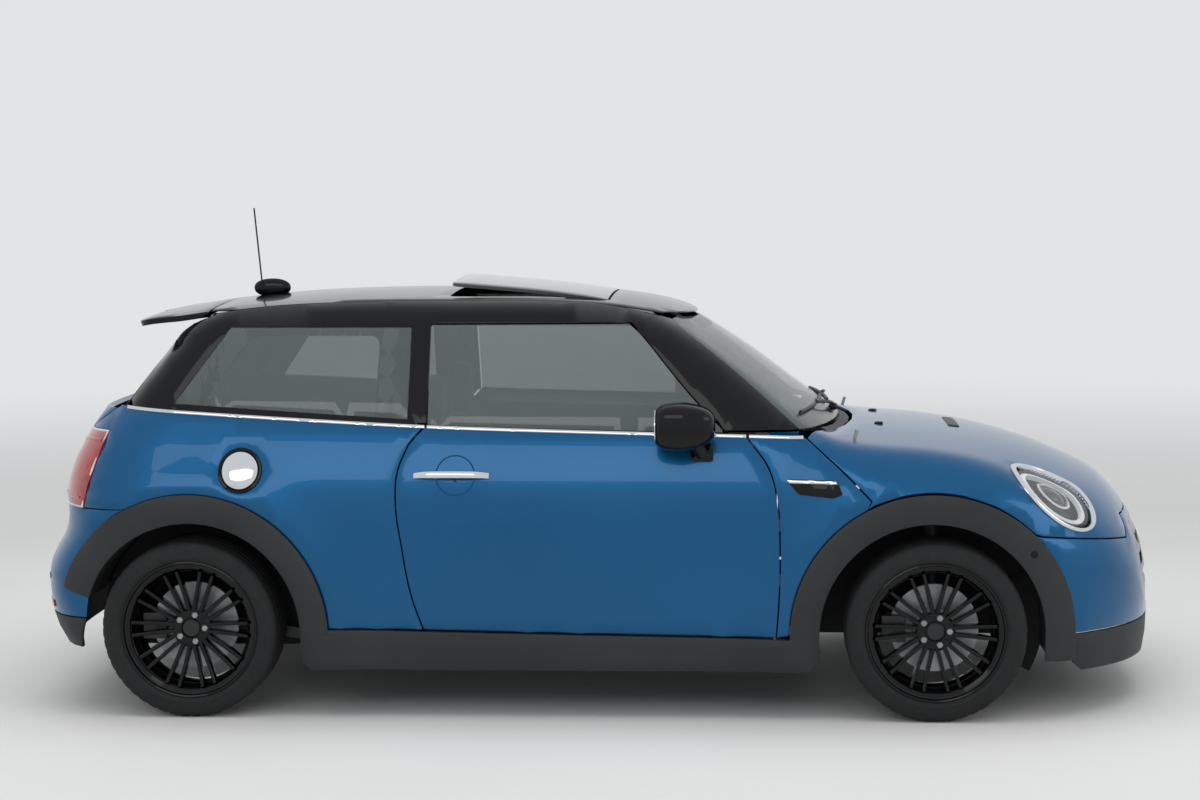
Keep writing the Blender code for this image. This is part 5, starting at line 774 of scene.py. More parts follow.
DOOR_FRONT = smooth_line(in_metres(DOOR_FRONT_LINE_SHARES))
DOOR_REAR = smooth_line(in_metres(DOOR_REAR_LINE_SHARES)[1:])
DOOR_REAR_TOP_X = in_metres(DOOR_REAR_LINE_SHARES)[0][0]
BONNET_SIDE = smooth_line(in_metres(BONNET_SIDE_LINE_SHARES))
DOOR_OUTLINE = [
    *DOOR_FRONT,
    *belt_line(DOOR_FRONT[-1][0] - STRIP_HEIGHT, DOOR_REAR_TOP_X, STRIP_HEIGHT),
    *DOOR_REAR]


def circle(centre, radius, count=12):
    return arc(centre, radius, 0, 360 * (count - 1) / count, count)


FENDER_OUTLINE = [
    *DOOR_FRONT,
    *belt_line(DOOR_FRONT[-1][0] + STRIP_HEIGHT, BONNET_SIDE[0][0] - STRIP_HEIGHT, STRIP_HEIGHT, 4),
    *BONNET_SIDE[:-1],
    *arch(FRONT_ARCH, ARCH_OUTER_RADIUS, BONNET_ARCH_ANGLE, 180)]
SILL_LINE = [DOOR_FRONT[0], DOOR_REAR[-1]]


def sill_z(x, drop):
    (x0, z0), (x1, z1) = SILL_LINE
    return z0 + (z1 - z0) * (x - x0) / (x1 - x0) - drop


print("door outline points:", len(DOOR_OUTLINE))

# %% [markdown]
# The rear quarter ends at the lamp, and holds the fuel cap.

# %% Quarter outline
LAMP_FRONT_SHARES = [(-0.890, 0.497), (-0.871, 0.588), (-0.847, 0.680)]
LAMP_TOP_Z = 0.962
LAMP_LOW_Z = 0.703
QUARTER_END_X = -1.610
FUEL_CENTRE = (-1.168, 0.837)
FUEL_HOLE_RADIUS = 0.074
LAMP_FRONT = tail_s(in_metres(LAMP_FRONT_SHARES))
LAMP_INNER = end_s(TAIL_FAN_X, [(LAMP_INNER_Y, LAMP_TOP_Z), (LAMP_INNER_Y, LAMP_LOW_Z)])
LAMP_TOP = smooth_line([LAMP_FRONT[-1], LAMP_INNER[0]], STEP / 3)
QUARTER_END = tail_s([(QUARTER_END_X, float(belt_z(QUARTER_END_X)) + STRIP_HEIGHT)])


def quarter_outline():
    rear_arch_x = REAR_ARCH[0] + ARCH_OUTER_RADIUS
    foot = [(DOOR_REAR[-1][0] - PANEL_GAP, sill_z(DOOR_REAR[-1][0], 0)),
            (rear_arch_x, sill_z(rear_arch_x, 0))]
    round_arch = arch(REAR_ARCH, ARCH_OUTER_RADIUS, ARC_STEP, QUARTER_ARCH_ANGLE)
    belt = belt_line(QUARTER_END_X, DOOR_REAR_TOP_X - PANEL_GAP, STRIP_HEIGHT)
    return [*tail_s(DOOR_REAR), *tail_s(foot), *tail_s(round_arch), *LAMP_FRONT[:-1],
            *LAMP_TOP, *QUARTER_END, *tail_s(belt[1:])]


print("lamp edge at", LAMP_FRONT[0])

# %% [markdown]
# ## Body panels
# Front wings, doors and rear quarters are steel pressings. The door skin has a round
# dish behind the handle for the fingers.

# %% Wings, doors and quarters
DISH_CENTRE = (-0.442, 0.821)
DISH_RADIUS = 0.067
DISH_DEPTH = 0.012


def dish(flat, points):
    away = np.hypot(points[:, 0] - DISH_CENTRE[0], points[:, 2] - DISH_CENTRE[1]) / DISH_RADIUS
    share = np.clip(1 - away * away, 0, 1)
    return -DISH_DEPTH * np.sqrt(share)


pair(panel("fender_skin_right", inset(FENDER_OUTLINE, PANEL_GAP / 2), LOW_SIDE, PAINT),
     BODY, "paint", "fender")
dish_lines = [circle(DISH_CENTRE, DISH_RADIUS * share, 40) for share in (1.0, 0.97, 0.9, 0.75, 0.5)]
pair(panel("door_skin_right", inset(DOOR_OUTLINE, PANEL_GAP / 2), LOW_SIDE, PAINT,
           lines=dish_lines, shape=dish), "SIDE_door", "paint", "door")
quarter_loop = inset(quarter_outline(), PANEL_GAP / 2)
keep(panel("quarter_skin_right", quarter_loop, TAIL, PAINT,
           holes=[tail_s(circle(FUEL_CENTRE, FUEL_HOLE_RADIUS, 48))]),
     BODY, "paint", "body_side_right")
whole_quarter = panel("quarter_whole_right", quarter_loop, TAIL, PAINT)
keep(mirrored(whole_quarter, "quarter_skin_left"), BODY, "paint", "body_side_left")
bpy.data.objects.remove(whole_quarter)
print("side panels:", len(made_pieces))

# %% [markdown]
# ### Simple solids
# Inner parts are bent sheets, flat plates and blocks, which is how they are pressed.

# %% Sheets, blocks and walls
SEAT_GAP = 0.0003
CURVE_GAP = 0.0008
CHORD_ROOM = 0.005
DEEP_SLOPE = 0.010


def sheet(name, outline, place, outer, inner, look, holes=(), step=STEP, stretch=1.0,
          deep=None, depth=0.0):
    """A closed panel that lies from depth outer to depth inner under the skin.

    Inside the loop called deep, which is set in from the panel's edge, it is as thick as
    depth instead.
    """
    lines = [inset(deep, -DEEP_SLOPE), deep] if deep else []
    flat, triangles = filled(list(outline), [list(h) for h in holes], lines, step, stretch)
    points, normals = place(flat)
    count = len(points)
    back = np.full(count, inner)
    if deep:
        back[inside(flat, inset(deep, -DEEP_SLOPE / 2))] = depth
    both = np.concatenate([points - normals * outer, points - normals * back[:, None]])
    faces = [tuple(t) for t in triangles] + [tuple(t[::-1] + count) for t in triangles]
    ends = np.concatenate([triangles[:, [0, 1]], triangles[:, [1, 2]], triangles[:, [2, 0]]])
    once = {}
    for a, b in ends:
        key = (min(a, b), max(a, b))
        once[key] = None if key in once else (a, b)
    faces += [(b, a, a + count, b + count) for a, b in filter(None, once.values())]
    return mesh_object(name, both, faces, look)


def prism(name, outline, low, high, look, axis="Y"):
    """An outline pushed from low to high along Y, X or Z."""
    turn = {"Y": lambda a, b, d: (a, d, b), "X": lambda a, b, d: (d, a, b),
            "Z": lambda a, b, d: (a, b, d)}[axis]
    count = len(outline)
    points = [turn(a, b, low) for a, b in outline] + [turn(a, b, high) for a, b in outline]
    faces = [tuple(range(count)), tuple(range(2 * count - 1, count - 1, -1))]
    faces += [(k, (k + 1) % count, (k + 1) % count + count, k + count) for k in range(count)]
    return mesh_object(name, points, faces, look)


def block(name, low, high, look):
    outline = [(low[0], low[2]), (high[0], low[2]), (high[0], high[2]), (low[0], high[2])]
    return prism(name, outline, low[1], high[1], look)


def curtain(name, outline, place, outer, end_y, look, step=STEP, stretch=1.0):
    """A closed solid from a depth under the right-hand skin straight inward to y = -end_y."""
    made = sheet(name, outline, place, outer, outer + TRIM_WALL, look, (), step, stretch)
    count = len(made.data.vertices) // 2
    for vertex in list(made.data.vertices)[count:]:
        front = made.data.vertices[vertex.index - count].co
        vertex.co = (front.x, -end_y, front.z)
    return made


def rectangle(x0, z0, x1, z1):
    return [(x0, z0), (x1, z0), (x1, z1), (x0, z1)]

# %% [markdown]
# Places of the hinge axes, the sill and the hinge post.

# %% Sizes of sill, post and hinge
WALL_DEPTH = 0.055
DOOR_DEPTH = 0.085
TRIM_WALL = 0.006
FLANGE = 0.032
POST_FLANGE = 0.070
DOOR_AXIS_AHEAD = 0.045
DOOR_AXIS_DEPTH = 0.0165
BONNET_AXIS_X = 0.655
BONNET_AXIS_Z = 0.925
DOOR_AXIS_X = max(x for x, z in DOOR_FRONT) + PANEL_GAP / 2 + DOOR_AXIS_AHEAD
DOOR_AXIS_Y = -(max(-LOW_SIDE(np.array(DOOR_FRONT))[0][:, 1]) - DOOR_AXIS_DEPTH)
HINGE_RADIUS = 0.005
HINGE_HEIGHT = 0.040
HINGE_ARM = 0.005
HINGE_REACH = 0.053
HINGE_ARM_DEPTH = 0.014
HINGE_LUG = 0.014
HINGE_HEIGHT_SHARES = (0.33, 0.46)
DOOR_TOP_FLANGE = 0.006
POST_FRONT_X = DOOR_AXIS_X + HINGE_RADIUS + PANEL_GAP
SILL_INNER_Y = 0.700
SILL_LOW_Z = 0.178
SILL_DROP = 0.014
SILL_START_X = -0.930
SILL_STEP_X = (-0.860, -0.660)
SILL_STEP_Z = 0.370
POST_INNER_Y = 0.700
POST_LOW_Z = 0.240
POST_TOP_Z = 0.900
POST_END_X = 0.748
FOOT_START_X = 0.600
FOOT_END_X = 0.696
FOOT_LOW_Z = 0.870
FOOT_TOP_Z = 0.953
FOOT_Y = (0.655, 0.722)
WALL_FROM_LAMP = 0.045
BONNET_LUG = 0.014
BONNET_HINGE_Y = 0.635
print("door hinge axis:", DOOR_AXIS_X, DOOR_AXIS_Y)

# %% [markdown]
# The inner outlines stand back from the skin by a flange, as on a welded body.

# %% Inner walls, posts and hinge lugs
def door_box_outline():
    """The thick inner part of the door, set back from its edges."""
    front = [(x - POST_FLANGE, z) for x, z in DOOR_FRONT[:-1]]
    low = DOOR_FRONT[0][1] + FLANGE
    front = [(x, max(z, low)) for x, z in front if z > low - FLANGE]
    rear = [(x + FLANGE, max(z, low)) for x, z in DOOR_REAR]
    top = belt_line(front[-1][0] - FLANGE, DOOR_REAR_TOP_X + FLANGE, -DOOR_TOP_FLANGE)
    return front + top + rear


def quarter_wall_outline():
    """The double-walled part of the quarter panel, set back from its edges."""
    front = [(x - FLANGE, z) for x, z in DOOR_REAR if z > SILL_STEP_Z]
    round_arch = arch(REAR_ARCH, ARCH_OUTER_RADIUS + FLANGE, ARC_STEP,
                      QUARTER_ARCH_ANGLE - ARC_STEP)
    lamp = [(s - WALL_FROM_LAMP, z) for s, z in LAMP_FRONT[1:]]
    last_x = QUARTER_END_X + WALL_FROM_LAMP
    top = belt_line(last_x, front[0][0], 0)
    return [*tail_s(front), *tail_s(round_arch), *lamp, *tail_s(top)]


def body_posts():
    """The hidden structure that ties sill, posts, quarter panel and window frame."""
    under_skin = SKIN + CHORD_ROOM
    rear, front = SILL_STEP_X
    sill = [(SILL_START_X, SILL_LOW_Z), (POST_END_X, SILL_LOW_Z),
            (POST_END_X, sill_z(POST_END_X, SILL_DROP)), (front, sill_z(front, SILL_DROP)),
            (front, SILL_STEP_Z), (rear, SILL_STEP_Z), (SILL_START_X, sill_z(rear, SILL_DROP))]
    return [
        curtain("sill", sill, LOW_SIDE, under_skin, SILL_INNER_Y, PAINT),
        curtain("front_post", rectangle(POST_FRONT_X, POST_LOW_Z, POST_END_X, POST_TOP_Z),
                LOW_SIDE, under_skin, POST_INNER_Y, PAINT),
        block("pillar_foot", (FOOT_START_X, -FOOT_Y[1], FOOT_LOW_Z),
              (FOOT_END_X, -FOOT_Y[0], FOOT_TOP_Z), PAINT),
        block("bonnet_lug", (BONNET_AXIS_X - BONNET_LUG, -FOOT_Y[0] - SKIN,
                             BONNET_AXIS_Z - BONNET_LUG),
              (BONNET_AXIS_X + BONNET_LUG, -BONNET_HINGE_Y - SEAT_GAP,
               BONNET_AXIS_Z + BONNET_LUG), STEEL),
    ]


def hinge_lugs():
    """Small ears above and below each door hinge barrel, fixed to the front post."""
    lugs = []
    for share in HINGE_HEIGHT_SHARES:
        for way in (-1, 1):
            near = share * BODY_HEIGHT + way * (HINGE_HEIGHT / 2 + SEAT_GAP)
            low, high = sorted((near, near + way * HINGE_LUG))
            ear = [(DOOR_AXIS_X - HINGE_RADIUS, DOOR_AXIS_Y - HINGE_RADIUS),
                   (POST_FRONT_X + HINGE_LUG, DOOR_AXIS_Y - HINGE_RADIUS / 2),
                   (POST_FRONT_X + HINGE_LUG, DOOR_AXIS_Y + HINGE_LUG),
                   (DOOR_AXIS_X - HINGE_RADIUS, DOOR_AXIS_Y + HINGE_RADIUS)]
            lugs.append(prism("hinge_lug", ear, low, high, STEEL, "Z"))
    return lugs

# %% [markdown]
# ## Behind the doors
# With a door open, the sill, the hinge post and the door's inner face show.

# %% Sills, posts and door inners
for part_piece in [*body_posts(), *hinge_lugs()]:
    part_piece.name += "_right"
    pair(part_piece, BODY, "paint")
QUARTER_WALL = sheet("quarter_inner_right", quarter_wall_outline(), TAIL, SKIN + CURVE_GAP,
                     WALL_DEPTH, DARK_PLASTIC)
pair(QUARTER_WALL, BODY, "trim")
pair(sheet("door_card_right", door_box_outline(), LOW_SIDE, SKIN + CURVE_GAP, DOOR_DEPTH,
           DARK_PLASTIC), "SIDE_door", "trim")
for share in HINGE_HEIGHT_SHARES:
    z = share * BODY_HEIGHT
    low, high = z - HINGE_HEIGHT / 2, z + HINGE_HEIGHT / 2
    pair(prism("hinge_barrel_right", circle((DOOR_AXIS_X, DOOR_AXIS_Y), HINGE_RADIUS, 24),
               low, high, STEEL, "Z"), "SIDE_door", "steel")
    back_x = DOOR_AXIS_X - POST_FLANGE - FLANGE - DOOR_AXIS_AHEAD
    arm = [(DOOR_AXIS_X - HINGE_ARM, DOOR_AXIS_Y), (DOOR_AXIS_X + HINGE_ARM, DOOR_AXIS_Y),
           (DOOR_AXIS_X + HINGE_ARM, DOOR_AXIS_Y + HINGE_REACH),
           (back_x, DOOR_AXIS_Y + HINGE_REACH),
           (back_x, DOOR_AXIS_Y + HINGE_REACH - HINGE_ARM_DEPTH),
           (DOOR_AXIS_X - HINGE_ARM, DOOR_AXIS_Y + HINGE_REACH - HINGE_ARM_DEPTH)]
    pair(prism("hinge_arm_right", arm, low, high, STEEL, "Z"), "SIDE_door", "steel")
print("pieces:", len(made_pieces))

# %% [markdown]
# ## Arch and sill trim
# One grained moulding runs from the front bumper round both arches. A crease two fifths
# of the way in turns the inner lip towards the wheel.

# %% Cladding with its crease
ARCH_INNER_RADIUS = 0.372
TRIM_PROUD = 0.010
LINER_Y = 0.600
SILL_TRIM_BOTTOM_Z = 0.165
TAIL_ARCH_ANGLE = 162
LINER_WALL = 0.005
LINER_FROM = -9
LINER_SET = 0.002
TRIM_REACH = PANEL_GAP / 2 - CURVE_GAP


def cladding_outline():
    outer, inner = ARCH_OUTER_RADIUS + TRIM_REACH, ARCH_INNER_RADIUS
    low = SILL_TRIM_BOTTOM_Z
    fx, rx = FRONT_ARCH[0], REAR_ARCH[0]
    drop = PANEL_GAP / 2
    return [
        (fx + outer, low + FLANGE), *arch(FRONT_ARCH, outer, 0, 180),
        (fx - outer + SEAT_GAP, sill_z(fx - outer, drop)),
        (rx + outer - SEAT_GAP, sill_z(rx + outer, drop)),
        *arch(REAR_ARCH, outer, 0, TAIL_ARCH_ANGLE),
        *arch(REAR_ARCH, inner, TAIL_ARCH_ANGLE, 0),
        (rx + inner, low + FLANGE), (rx + inner + FLANGE, low), (fx - inner - FLANGE, low),
        (fx - inner, low + FLANGE), *arch(FRONT_ARCH, inner, 180, 0),
        (fx + inner, low + FLANGE)]


def liner(centre, start, end):
    radius = ARCH_INNER_RADIUS + LINER_SET
    ring = arch(centre, radius + LINER_WALL, start, end) + arch(centre, radius, end, start)
    return curtain("arch_liner", ring, LOW_SIDE, SKIN / 2, LINER_Y, PLASTIC)


CREASE_RADIUS = 0.415
LIP_DROP = 0.007


def arch_lip(flat, points):
    away = np.min([np.hypot(points[:, 0] - cx, points[:, 2] - cz) for cx, cz in ARCH_CENTRES],
                  axis=0)
    return np.where(away < CREASE_RADIUS,
                    -LIP_DROP * (CREASE_RADIUS - away) / (CREASE_RADIUS - ARCH_INNER_RADIUS), 0)


creases = [circle(centre, radius, 96) for centre in ARCH_CENTRES
           for radius in (CREASE_RADIUS, CREASE_RADIUS - 0.004)]
pair(panel("cladding_skin_right", cladding_outline(), LOW_SIDE, PLASTIC, outer=-TRIM_PROUD,
           lines=creases, shape=arch_lip), BODY, "trim", "cladding")
for number, (centre, end) in enumerate([(FRONT_ARCH, 180 - LINER_FROM),
                                        (REAR_ARCH, TAIL_ARCH_ANGLE)]):
    piece = liner(centre, LINER_FROM, end)
    piece.name = f"arch_liner_{number}_right"
    piece.data.materials[0] = UNDERSEAL
    pair(piece, BODY, "trim")
print("pieces:", len(made_pieces))

# %% [markdown]
# ### The cabin
# The glass house leans inward and its screens are bowed. Its lines are read off as the
# body's were.

# %% Lines of the cabin
PILLAR_DEPTH = 0.022
GLASS = 0.005
ROOF_PROFILE_SHARES = [
    (-0.898, 0.909), (-0.846, 0.935), (-0.826, 0.945), (-0.738, 0.967), (-0.593, 0.989),
    (-0.433, 0.999), (-0.232, 1.0), (-0.052, 0.996), (0.052, 0.984), (0.129, 0.963),
    (0.186, 0.935), (0.232, 0.909)]
CANTRAIL_TOP_SHARES = [
    (0.119, 0.943), (0.07, 0.96), (0.01, 0.973), (-0.067, 0.979), (-0.234, 0.982),
    (-0.43, 0.98), (-0.572, 0.971), (-0.678, 0.955)]
PILLAR_FRONT_SHARES = [(0.361, 0.679), (0.258, 0.804), (0.138, 0.934)]
PILLAR_REAR_SHARES = [(0.088, 0.905), (0.192, 0.736), (0.231, 0.682)]
REAR_PILLAR_SHARES = [(-0.698, 0.936), (-0.747, 0.894), (-0.822, 0.75)]
ROOF_CROWN = 0.09
SCREEN_BOW = 0.28
REAR_GLASS_BOW = 0.15
CABIN_TAPER = 0.050
CABIN_HALF_WIDTH = 0.762
CABIN_BELT_Z = 0.970
CABIN_MIDDLE_X = -0.350
TUMBLEHOME = 0.40
SCREEN_BASE_SHARES = (0.457, 0.658)
SCREEN_TOP_SHARES = (0.197, 0.924)
REAR_GLASS_BASE_SHARES = (-0.877, 0.707)
REAR_GLASS_TOP_SHARES = (-0.767, 0.894)
HEADER = 0.07
CANTRAIL = 0.075
PILLAR_ROUND = 0.09
roof_z = curve_through(in_metres(ROOF_PROFILE_SHARES))
QUARTER_GLASS_SHARES = [(-0.315, 0.708), (-0.315, 0.922), (-0.640, 0.922), (-0.735, 0.742)]
FOOT_DROP = 0.033
print("roof height:", round(float(roof_z(-0.3)), 3))

# %% [markdown]
# The sides, roof and screens meet in one field with round corners.

# %% Cabin as a field
def leaning(base_shares, top_shares):
    """A straight line in side view, as x for a given z, and the share that squares it."""
    (x0, z0), (x1, z1) = in_metres([base_shares, top_shares])
    slope = (x1 - x0) / (z1 - z0)
    return x0, z0, slope, 1 / math.hypot(1, slope)


SCREEN_X, SCREEN_Z, SCREEN_SLOPE, SCREEN_SQUARE = leaning(SCREEN_BASE_SHARES, SCREEN_TOP_SHARES)
REAR_X, REAR_Z, REAR_SLOPE, REAR_SQUARE = leaning(REAR_GLASS_BASE_SHARES, REAR_GLASS_TOP_SHARES)


def cabin_side(p):
    x, y, z = p.T
    half = CABIN_HALF_WIDTH - CABIN_TAPER * (x - CABIN_MIDDLE_X) ** 2
    return np.abs(y) - half + TUMBLEHOME * (z - CABIN_BELT_Z)


def cabin(p):
    """Negative inside the cabin, above the belt."""
    x, y, z = p.T
    screen = (x + SCREEN_BOW * y * y - SCREEN_X - SCREEN_SLOPE * (z - SCREEN_Z)) * SCREEN_SQUARE
    rear = (REAR_X + REAR_SLOPE * (z - REAR_Z) - x + REAR_GLASS_BOW * y * y) * REAR_SQUARE
    top = z - roof_z(x) + ROOF_CROWN * y * y
    ends = rounded_meeting(cabin_side(p), rounded_meeting(screen, rear, HEADER), PILLAR_ROUND)
    return rounded_meeting(ends, top, CANTRAIL)


CABIN_SIDE = from_side(cabin)
PILLAR_FRONT = smooth_line(in_metres(PILLAR_FRONT_SHARES))
PILLAR_REAR = smooth_line(in_metres(PILLAR_REAR_SHARES))
CANTRAIL_TOP = smooth_line(in_metres(CANTRAIL_TOP_SHARES), STEP)
WINDOW_TOP_Z = 1.316

# %% [markdown]
# Door glass, window frame and rear side glass share the same lines.

# %% Window outlines
def inset_line(line, distance):
    """An open line moved sideways, along x."""
    return [(x + distance, z) for x, z in line]


def door_glass_outline():
    base = STRIP_HEIGHT + SEAT_GAP
    rear_x = DOOR_REAR_TOP_X + PANEL_GAP / 2
    front = inset_line(PILLAR_REAR, -PANEL_GAP)
    front = [p for p in front if p[1] < WINDOW_TOP_Z - PANEL_GAP]
    top = [(front[0][0] - FLANGE - PANEL_GAP, WINDOW_TOP_Z - PANEL_GAP),
           (rear_x, WINDOW_TOP_Z - PANEL_GAP)]
    low = [p for p in belt_line(rear_x, front[-1][0], base)]
    front = [p for p in front if p[1] > low[-1][1] + PANEL_GAP]
    return top + low + front[::-1]


def window_frame_outline():
    """The frame round the side windows, from the front pillar's foot to the tailgate."""
    foot = [(PILLAR_REAR[-1][0], PILLAR_FRONT[0][1])]
    rear = smooth_line(in_metres(REAR_PILLAR_SHARES))
    sill = belt_line(rear[-1][0] + WALL_FROM_LAMP, DOOR_REAR_TOP_X - FLANGE, -FOOT_DROP, 6)
    post = [(DOOR_REAR_TOP_X - FLANGE, STRIP_HEIGHT + PANEL_GAP + float(belt_z(DOOR_REAR_TOP_X))),
            (DOOR_REAR_TOP_X, STRIP_HEIGHT + PANEL_GAP + float(belt_z(DOOR_REAR_TOP_X))),
            (DOOR_REAR_TOP_X, WINDOW_TOP_Z), (PILLAR_REAR[0][0] - FLANGE, WINDOW_TOP_Z)]
    return [*PILLAR_FRONT, *CANTRAIL_TOP, *rear, *sill, *post, *PILLAR_REAR, *foot]


QUARTER_GLASS = inset(in_metres(QUARTER_GLASS_SHARES), CURVE_GAP)

# %% [markdown]
# ## Roof, pillars and glass
# The greenhouse is gloss black with frameless door glass. The rear side glass has a
# painted black edge, so its clear part is a rounded shape.

# %% Window frame and side glass
CLEAR_QUARTER = [(-1.337, 1.033), (-1.160, 1.277), (-0.718, 1.277), (-0.723, 1.008)]
FRIT_DEPTH = 0.0015


def rounded(loop, radius, count=5):
    """The loop with each corner rounded."""
    made = []
    for before, corner, after in zip(loop[-1:] + loop[:-1], loop, loop[1:] + loop[:1]):
        a, b, c = Vector(before), Vector(corner), Vector(after)
        start, end = b + (a - b).normalized() * radius, b + (c - b).normalized() * radius
        for k in range(count + 1):
            t = k / count
            made.append(tuple(start * (1 - t) ** 2 + b * 2 * t * (1 - t) + end * t * t))
    return made


pair(panel("window_frame_right", window_frame_outline(), CABIN_SIDE, BLACK_PAINT,
           inner=PILLAR_DEPTH, holes=[in_metres(QUARTER_GLASS_SHARES)], roll=0.002),
     BODY, "black_paint")
pair(panel("quarter_pane_right", QUARTER_GLASS, CABIN_SIDE, WINDOW, inner=GLASS, roll=0.001),
     BODY, "glass", "quarter_glass")
pair(sheet("quarter_frit_right", inset(QUARTER_GLASS, 0.001), CABIN_SIDE, GLASS,
           GLASS + FRIT_DEPTH, DARK_PLASTIC, holes=[rounded(CLEAR_QUARTER, 0.035)]),
     BODY, "black_paint")
pair(panel("door_pane_right", door_glass_outline(), CABIN_SIDE, WINDOW, inner=GLASS, roll=0.001),
     "SIDE_door", "glass", "door_glass")
print("pieces:", len(made_pieces))

# %% [markdown]
# ### Roof
# One black pressing with a hole, and a glass panel tilted up at its rear. Both are cut
# from flat outlines seen from above, so the panel's curve is the roof's own.

# %% Roof and sunroof
def roof_only(p):
    """The roof's own surface, carried on past the rear glass for the spoiler."""
    x, y, z = p.T
    return rounded_meeting(z - roof_z(x) + ROOF_CROWN * y * y, cabin_side(p), CANTRAIL)


def from_above(field, base_z):
    """(x, y) seen from above."""
    def place(flat):
        origin = np.stack([flat[:, 0], flat[:, 1], np.full(len(flat), base_z)], axis=1)
        return skin_point(field, origin, np.tile([0.0, 0.0, 1.0], (len(flat), 1)))
    return place


HEADER_X = 0.345
ROOF_REAR_X = -1.330
ROOF_BASE_Z = 0.9
SUNROOF_SHARES = (-0.262, 0.026)
SUNROOF_HALF = 0.420
SUNROOF_TILT = 0.084
SUNROOF_THICKNESS = 0.012
ROOF_TOP = from_above(roof_only, ROOF_BASE_Z)


def points_of(place, flat):
    return place(np.array(flat))[0]


CANTRAIL_POINTS = points_of(CABIN_SIDE, CANTRAIL_TOP)


def header_line(count=9):
    """The roof's front edge from the right cantrail to the left one, as (x, y)."""
    end_x, end_y, _ = CANTRAIL_POINTS[0]
    return [(end_x + (HEADER_X - end_x) * (1 - (y / end_y) ** 2), y)
            for y in np.linspace(end_y, -end_y, count)]


HEADER_LINE = header_line()
SUNROOF_START, SUNROOF_END = (share * HALF_LENGTH for share in SUNROOF_SHARES)
roof_right = [(p[0], p[1]) for p in CANTRAIL_POINTS[:0:-1] if p[0] > ROOF_REAR_X]
roof_right = [(ROOF_REAR_X, roof_right[0][1]), *roof_right]
roof_loop = [*roof_right, *HEADER_LINE, *[(x, -y) for x, y in roof_right[::-1]]]
sun_hole = rectangle(SUNROOF_START, -SUNROOF_HALF, SUNROOF_END, SUNROOF_HALF)
keep(panel("roof_skin", inset(roof_loop, CURVE_GAP), ROOF_TOP, BLACK_PAINT,
           inner=SKIN, holes=[rounded(sun_hole, 0.03)], stretch=1.2),
     BODY, "black_paint", "roof")
glass_roof = panel("sunroof_pane", rounded(inset(rectangle(
    SUNROOF_START, -SUNROOF_HALF, SUNROOF_END - SKIN, SUNROOF_HALF), PANEL_GAP), 0.028),
    ROOF_TOP, PRIVACY, inner=SUNROOF_THICKNESS, stretch=1.2)
front_edge = points_of(ROOF_TOP, [(SUNROOF_END, SUNROOF_HALF)])[0]
pivot = Vector((front_edge[0], 0, front_edge[2]))
glass_roof.data.transform(Matrix.Translation(pivot) @ Matrix.Rotation(SUNROOF_TILT, 4, "Y")
                          @ Matrix.Translation(-pivot))
keep(glass_roof, BODY, "glass", "sunroof_panel")
print("pieces:", len(made_pieces))

# %% [markdown]
# ### Windscreen
# The screen is glued in, and black enamel hides the glue. The edge is a second thin
# panel over the glass, which gives a crisp line that a colour ramp would blur.

# %% Windscreen with its black edge
def from_end(field, base_x, way):
    """(y, z) seen from the front (way 1) or the back (way -1)."""
    def place(flat):
        origin = np.stack([np.full(len(flat), base_x), flat[:, 0], flat[:, 1]], axis=1)
        return skin_point(field, origin, np.tile([float(way), 0.0, 0.0], (len(flat), 1)))
    return place


SCREEN_LOW_Z = 0.957
CABIN_TOP = from_above(cabin, ROOF_BASE_Z)
SCREEN_FACE = from_end(cabin, 0, 1)
screen_sides = [(p[1], p[2]) for p in points_of(CABIN_SIDE, PILLAR_FRONT)]
screen_top = [(p[1], p[2]) for p in points_of(CABIN_TOP, HEADER_LINE)]
screen_low = [(y, SCREEN_LOW_Z) for y in
              np.linspace(-screen_sides[0][0], screen_sides[0][0], 7)[1:-1]]
screen_loop = inset([*screen_sides, *screen_top[1:-1],
                     *[(-y, z) for y, z in screen_sides[::-1]], *screen_low], CURVE_GAP)
keep(panel("screen_pane", screen_loop, SCREEN_FACE, WINDOW, inner=GLASS, roll=0.001),
     BODY, "glass", "windscreen")
keep(sheet("screen_frit", inset(screen_loop, 0.002), SCREEN_FACE, GLASS, GLASS + FRIT_DEPTH,
           DARK_PLASTIC, holes=[inset(screen_loop, 0.030)]), BODY, "black_paint")
print("greenhouse done:", len(made_pieces))

# %% [markdown]
# ### The nose
# The bonnet wraps down to the lamps, so it is unrolled round a tilted plate, not seen
# from above, where its front would be squeezed.

# %% Laying shapes on the nose
NOSE_FAN_X = 1.30
PLATE_Z = 0.60
PLATE_X = 1.45
PLATE_Y = 0.55
PLATE_FAN_LENGTH = 0.30


def ellipse(centre, half_long, half_short, turn, count):
    c, s = math.cos(math.radians(turn)), math.sin(math.radians(turn))
    loop = []
    for k in range(count):
        a = 2 * math.pi * k / count
        u, v = half_long * math.cos(a), half_short * math.sin(a)
        loop.append((centre[0] + c * u - s * v, centre[1] + s * u + c * v))
    return loop


def over_plate(field):
    """(p, q) laid over the bonnet: level in the middle, folded down at the front and sides."""
    def place(flat):
        p, q = flat[:, 0], flat[:, 1]
        ex = np.maximum(p - PLATE_X, 0)
        ey = np.sign(q) * np.maximum(np.abs(q) - PLATE_Y, 0)
        reach = np.hypot(ex, ey)
        tilt = reach / PLATE_FAN_LENGTH
        safe = np.where(reach > 0, reach, 1)
        direction = np.stack([np.sin(tilt) * ex / safe, np.sin(tilt) * ey / safe,
                              np.cos(tilt)], axis=1)
        origin = np.stack([np.minimum(p, PLATE_X), np.clip(q, -PLATE_Y, PLATE_Y),
                           np.full(len(flat), PLATE_Z)], axis=1)
        return skin_point(field, origin, direction)
    return place


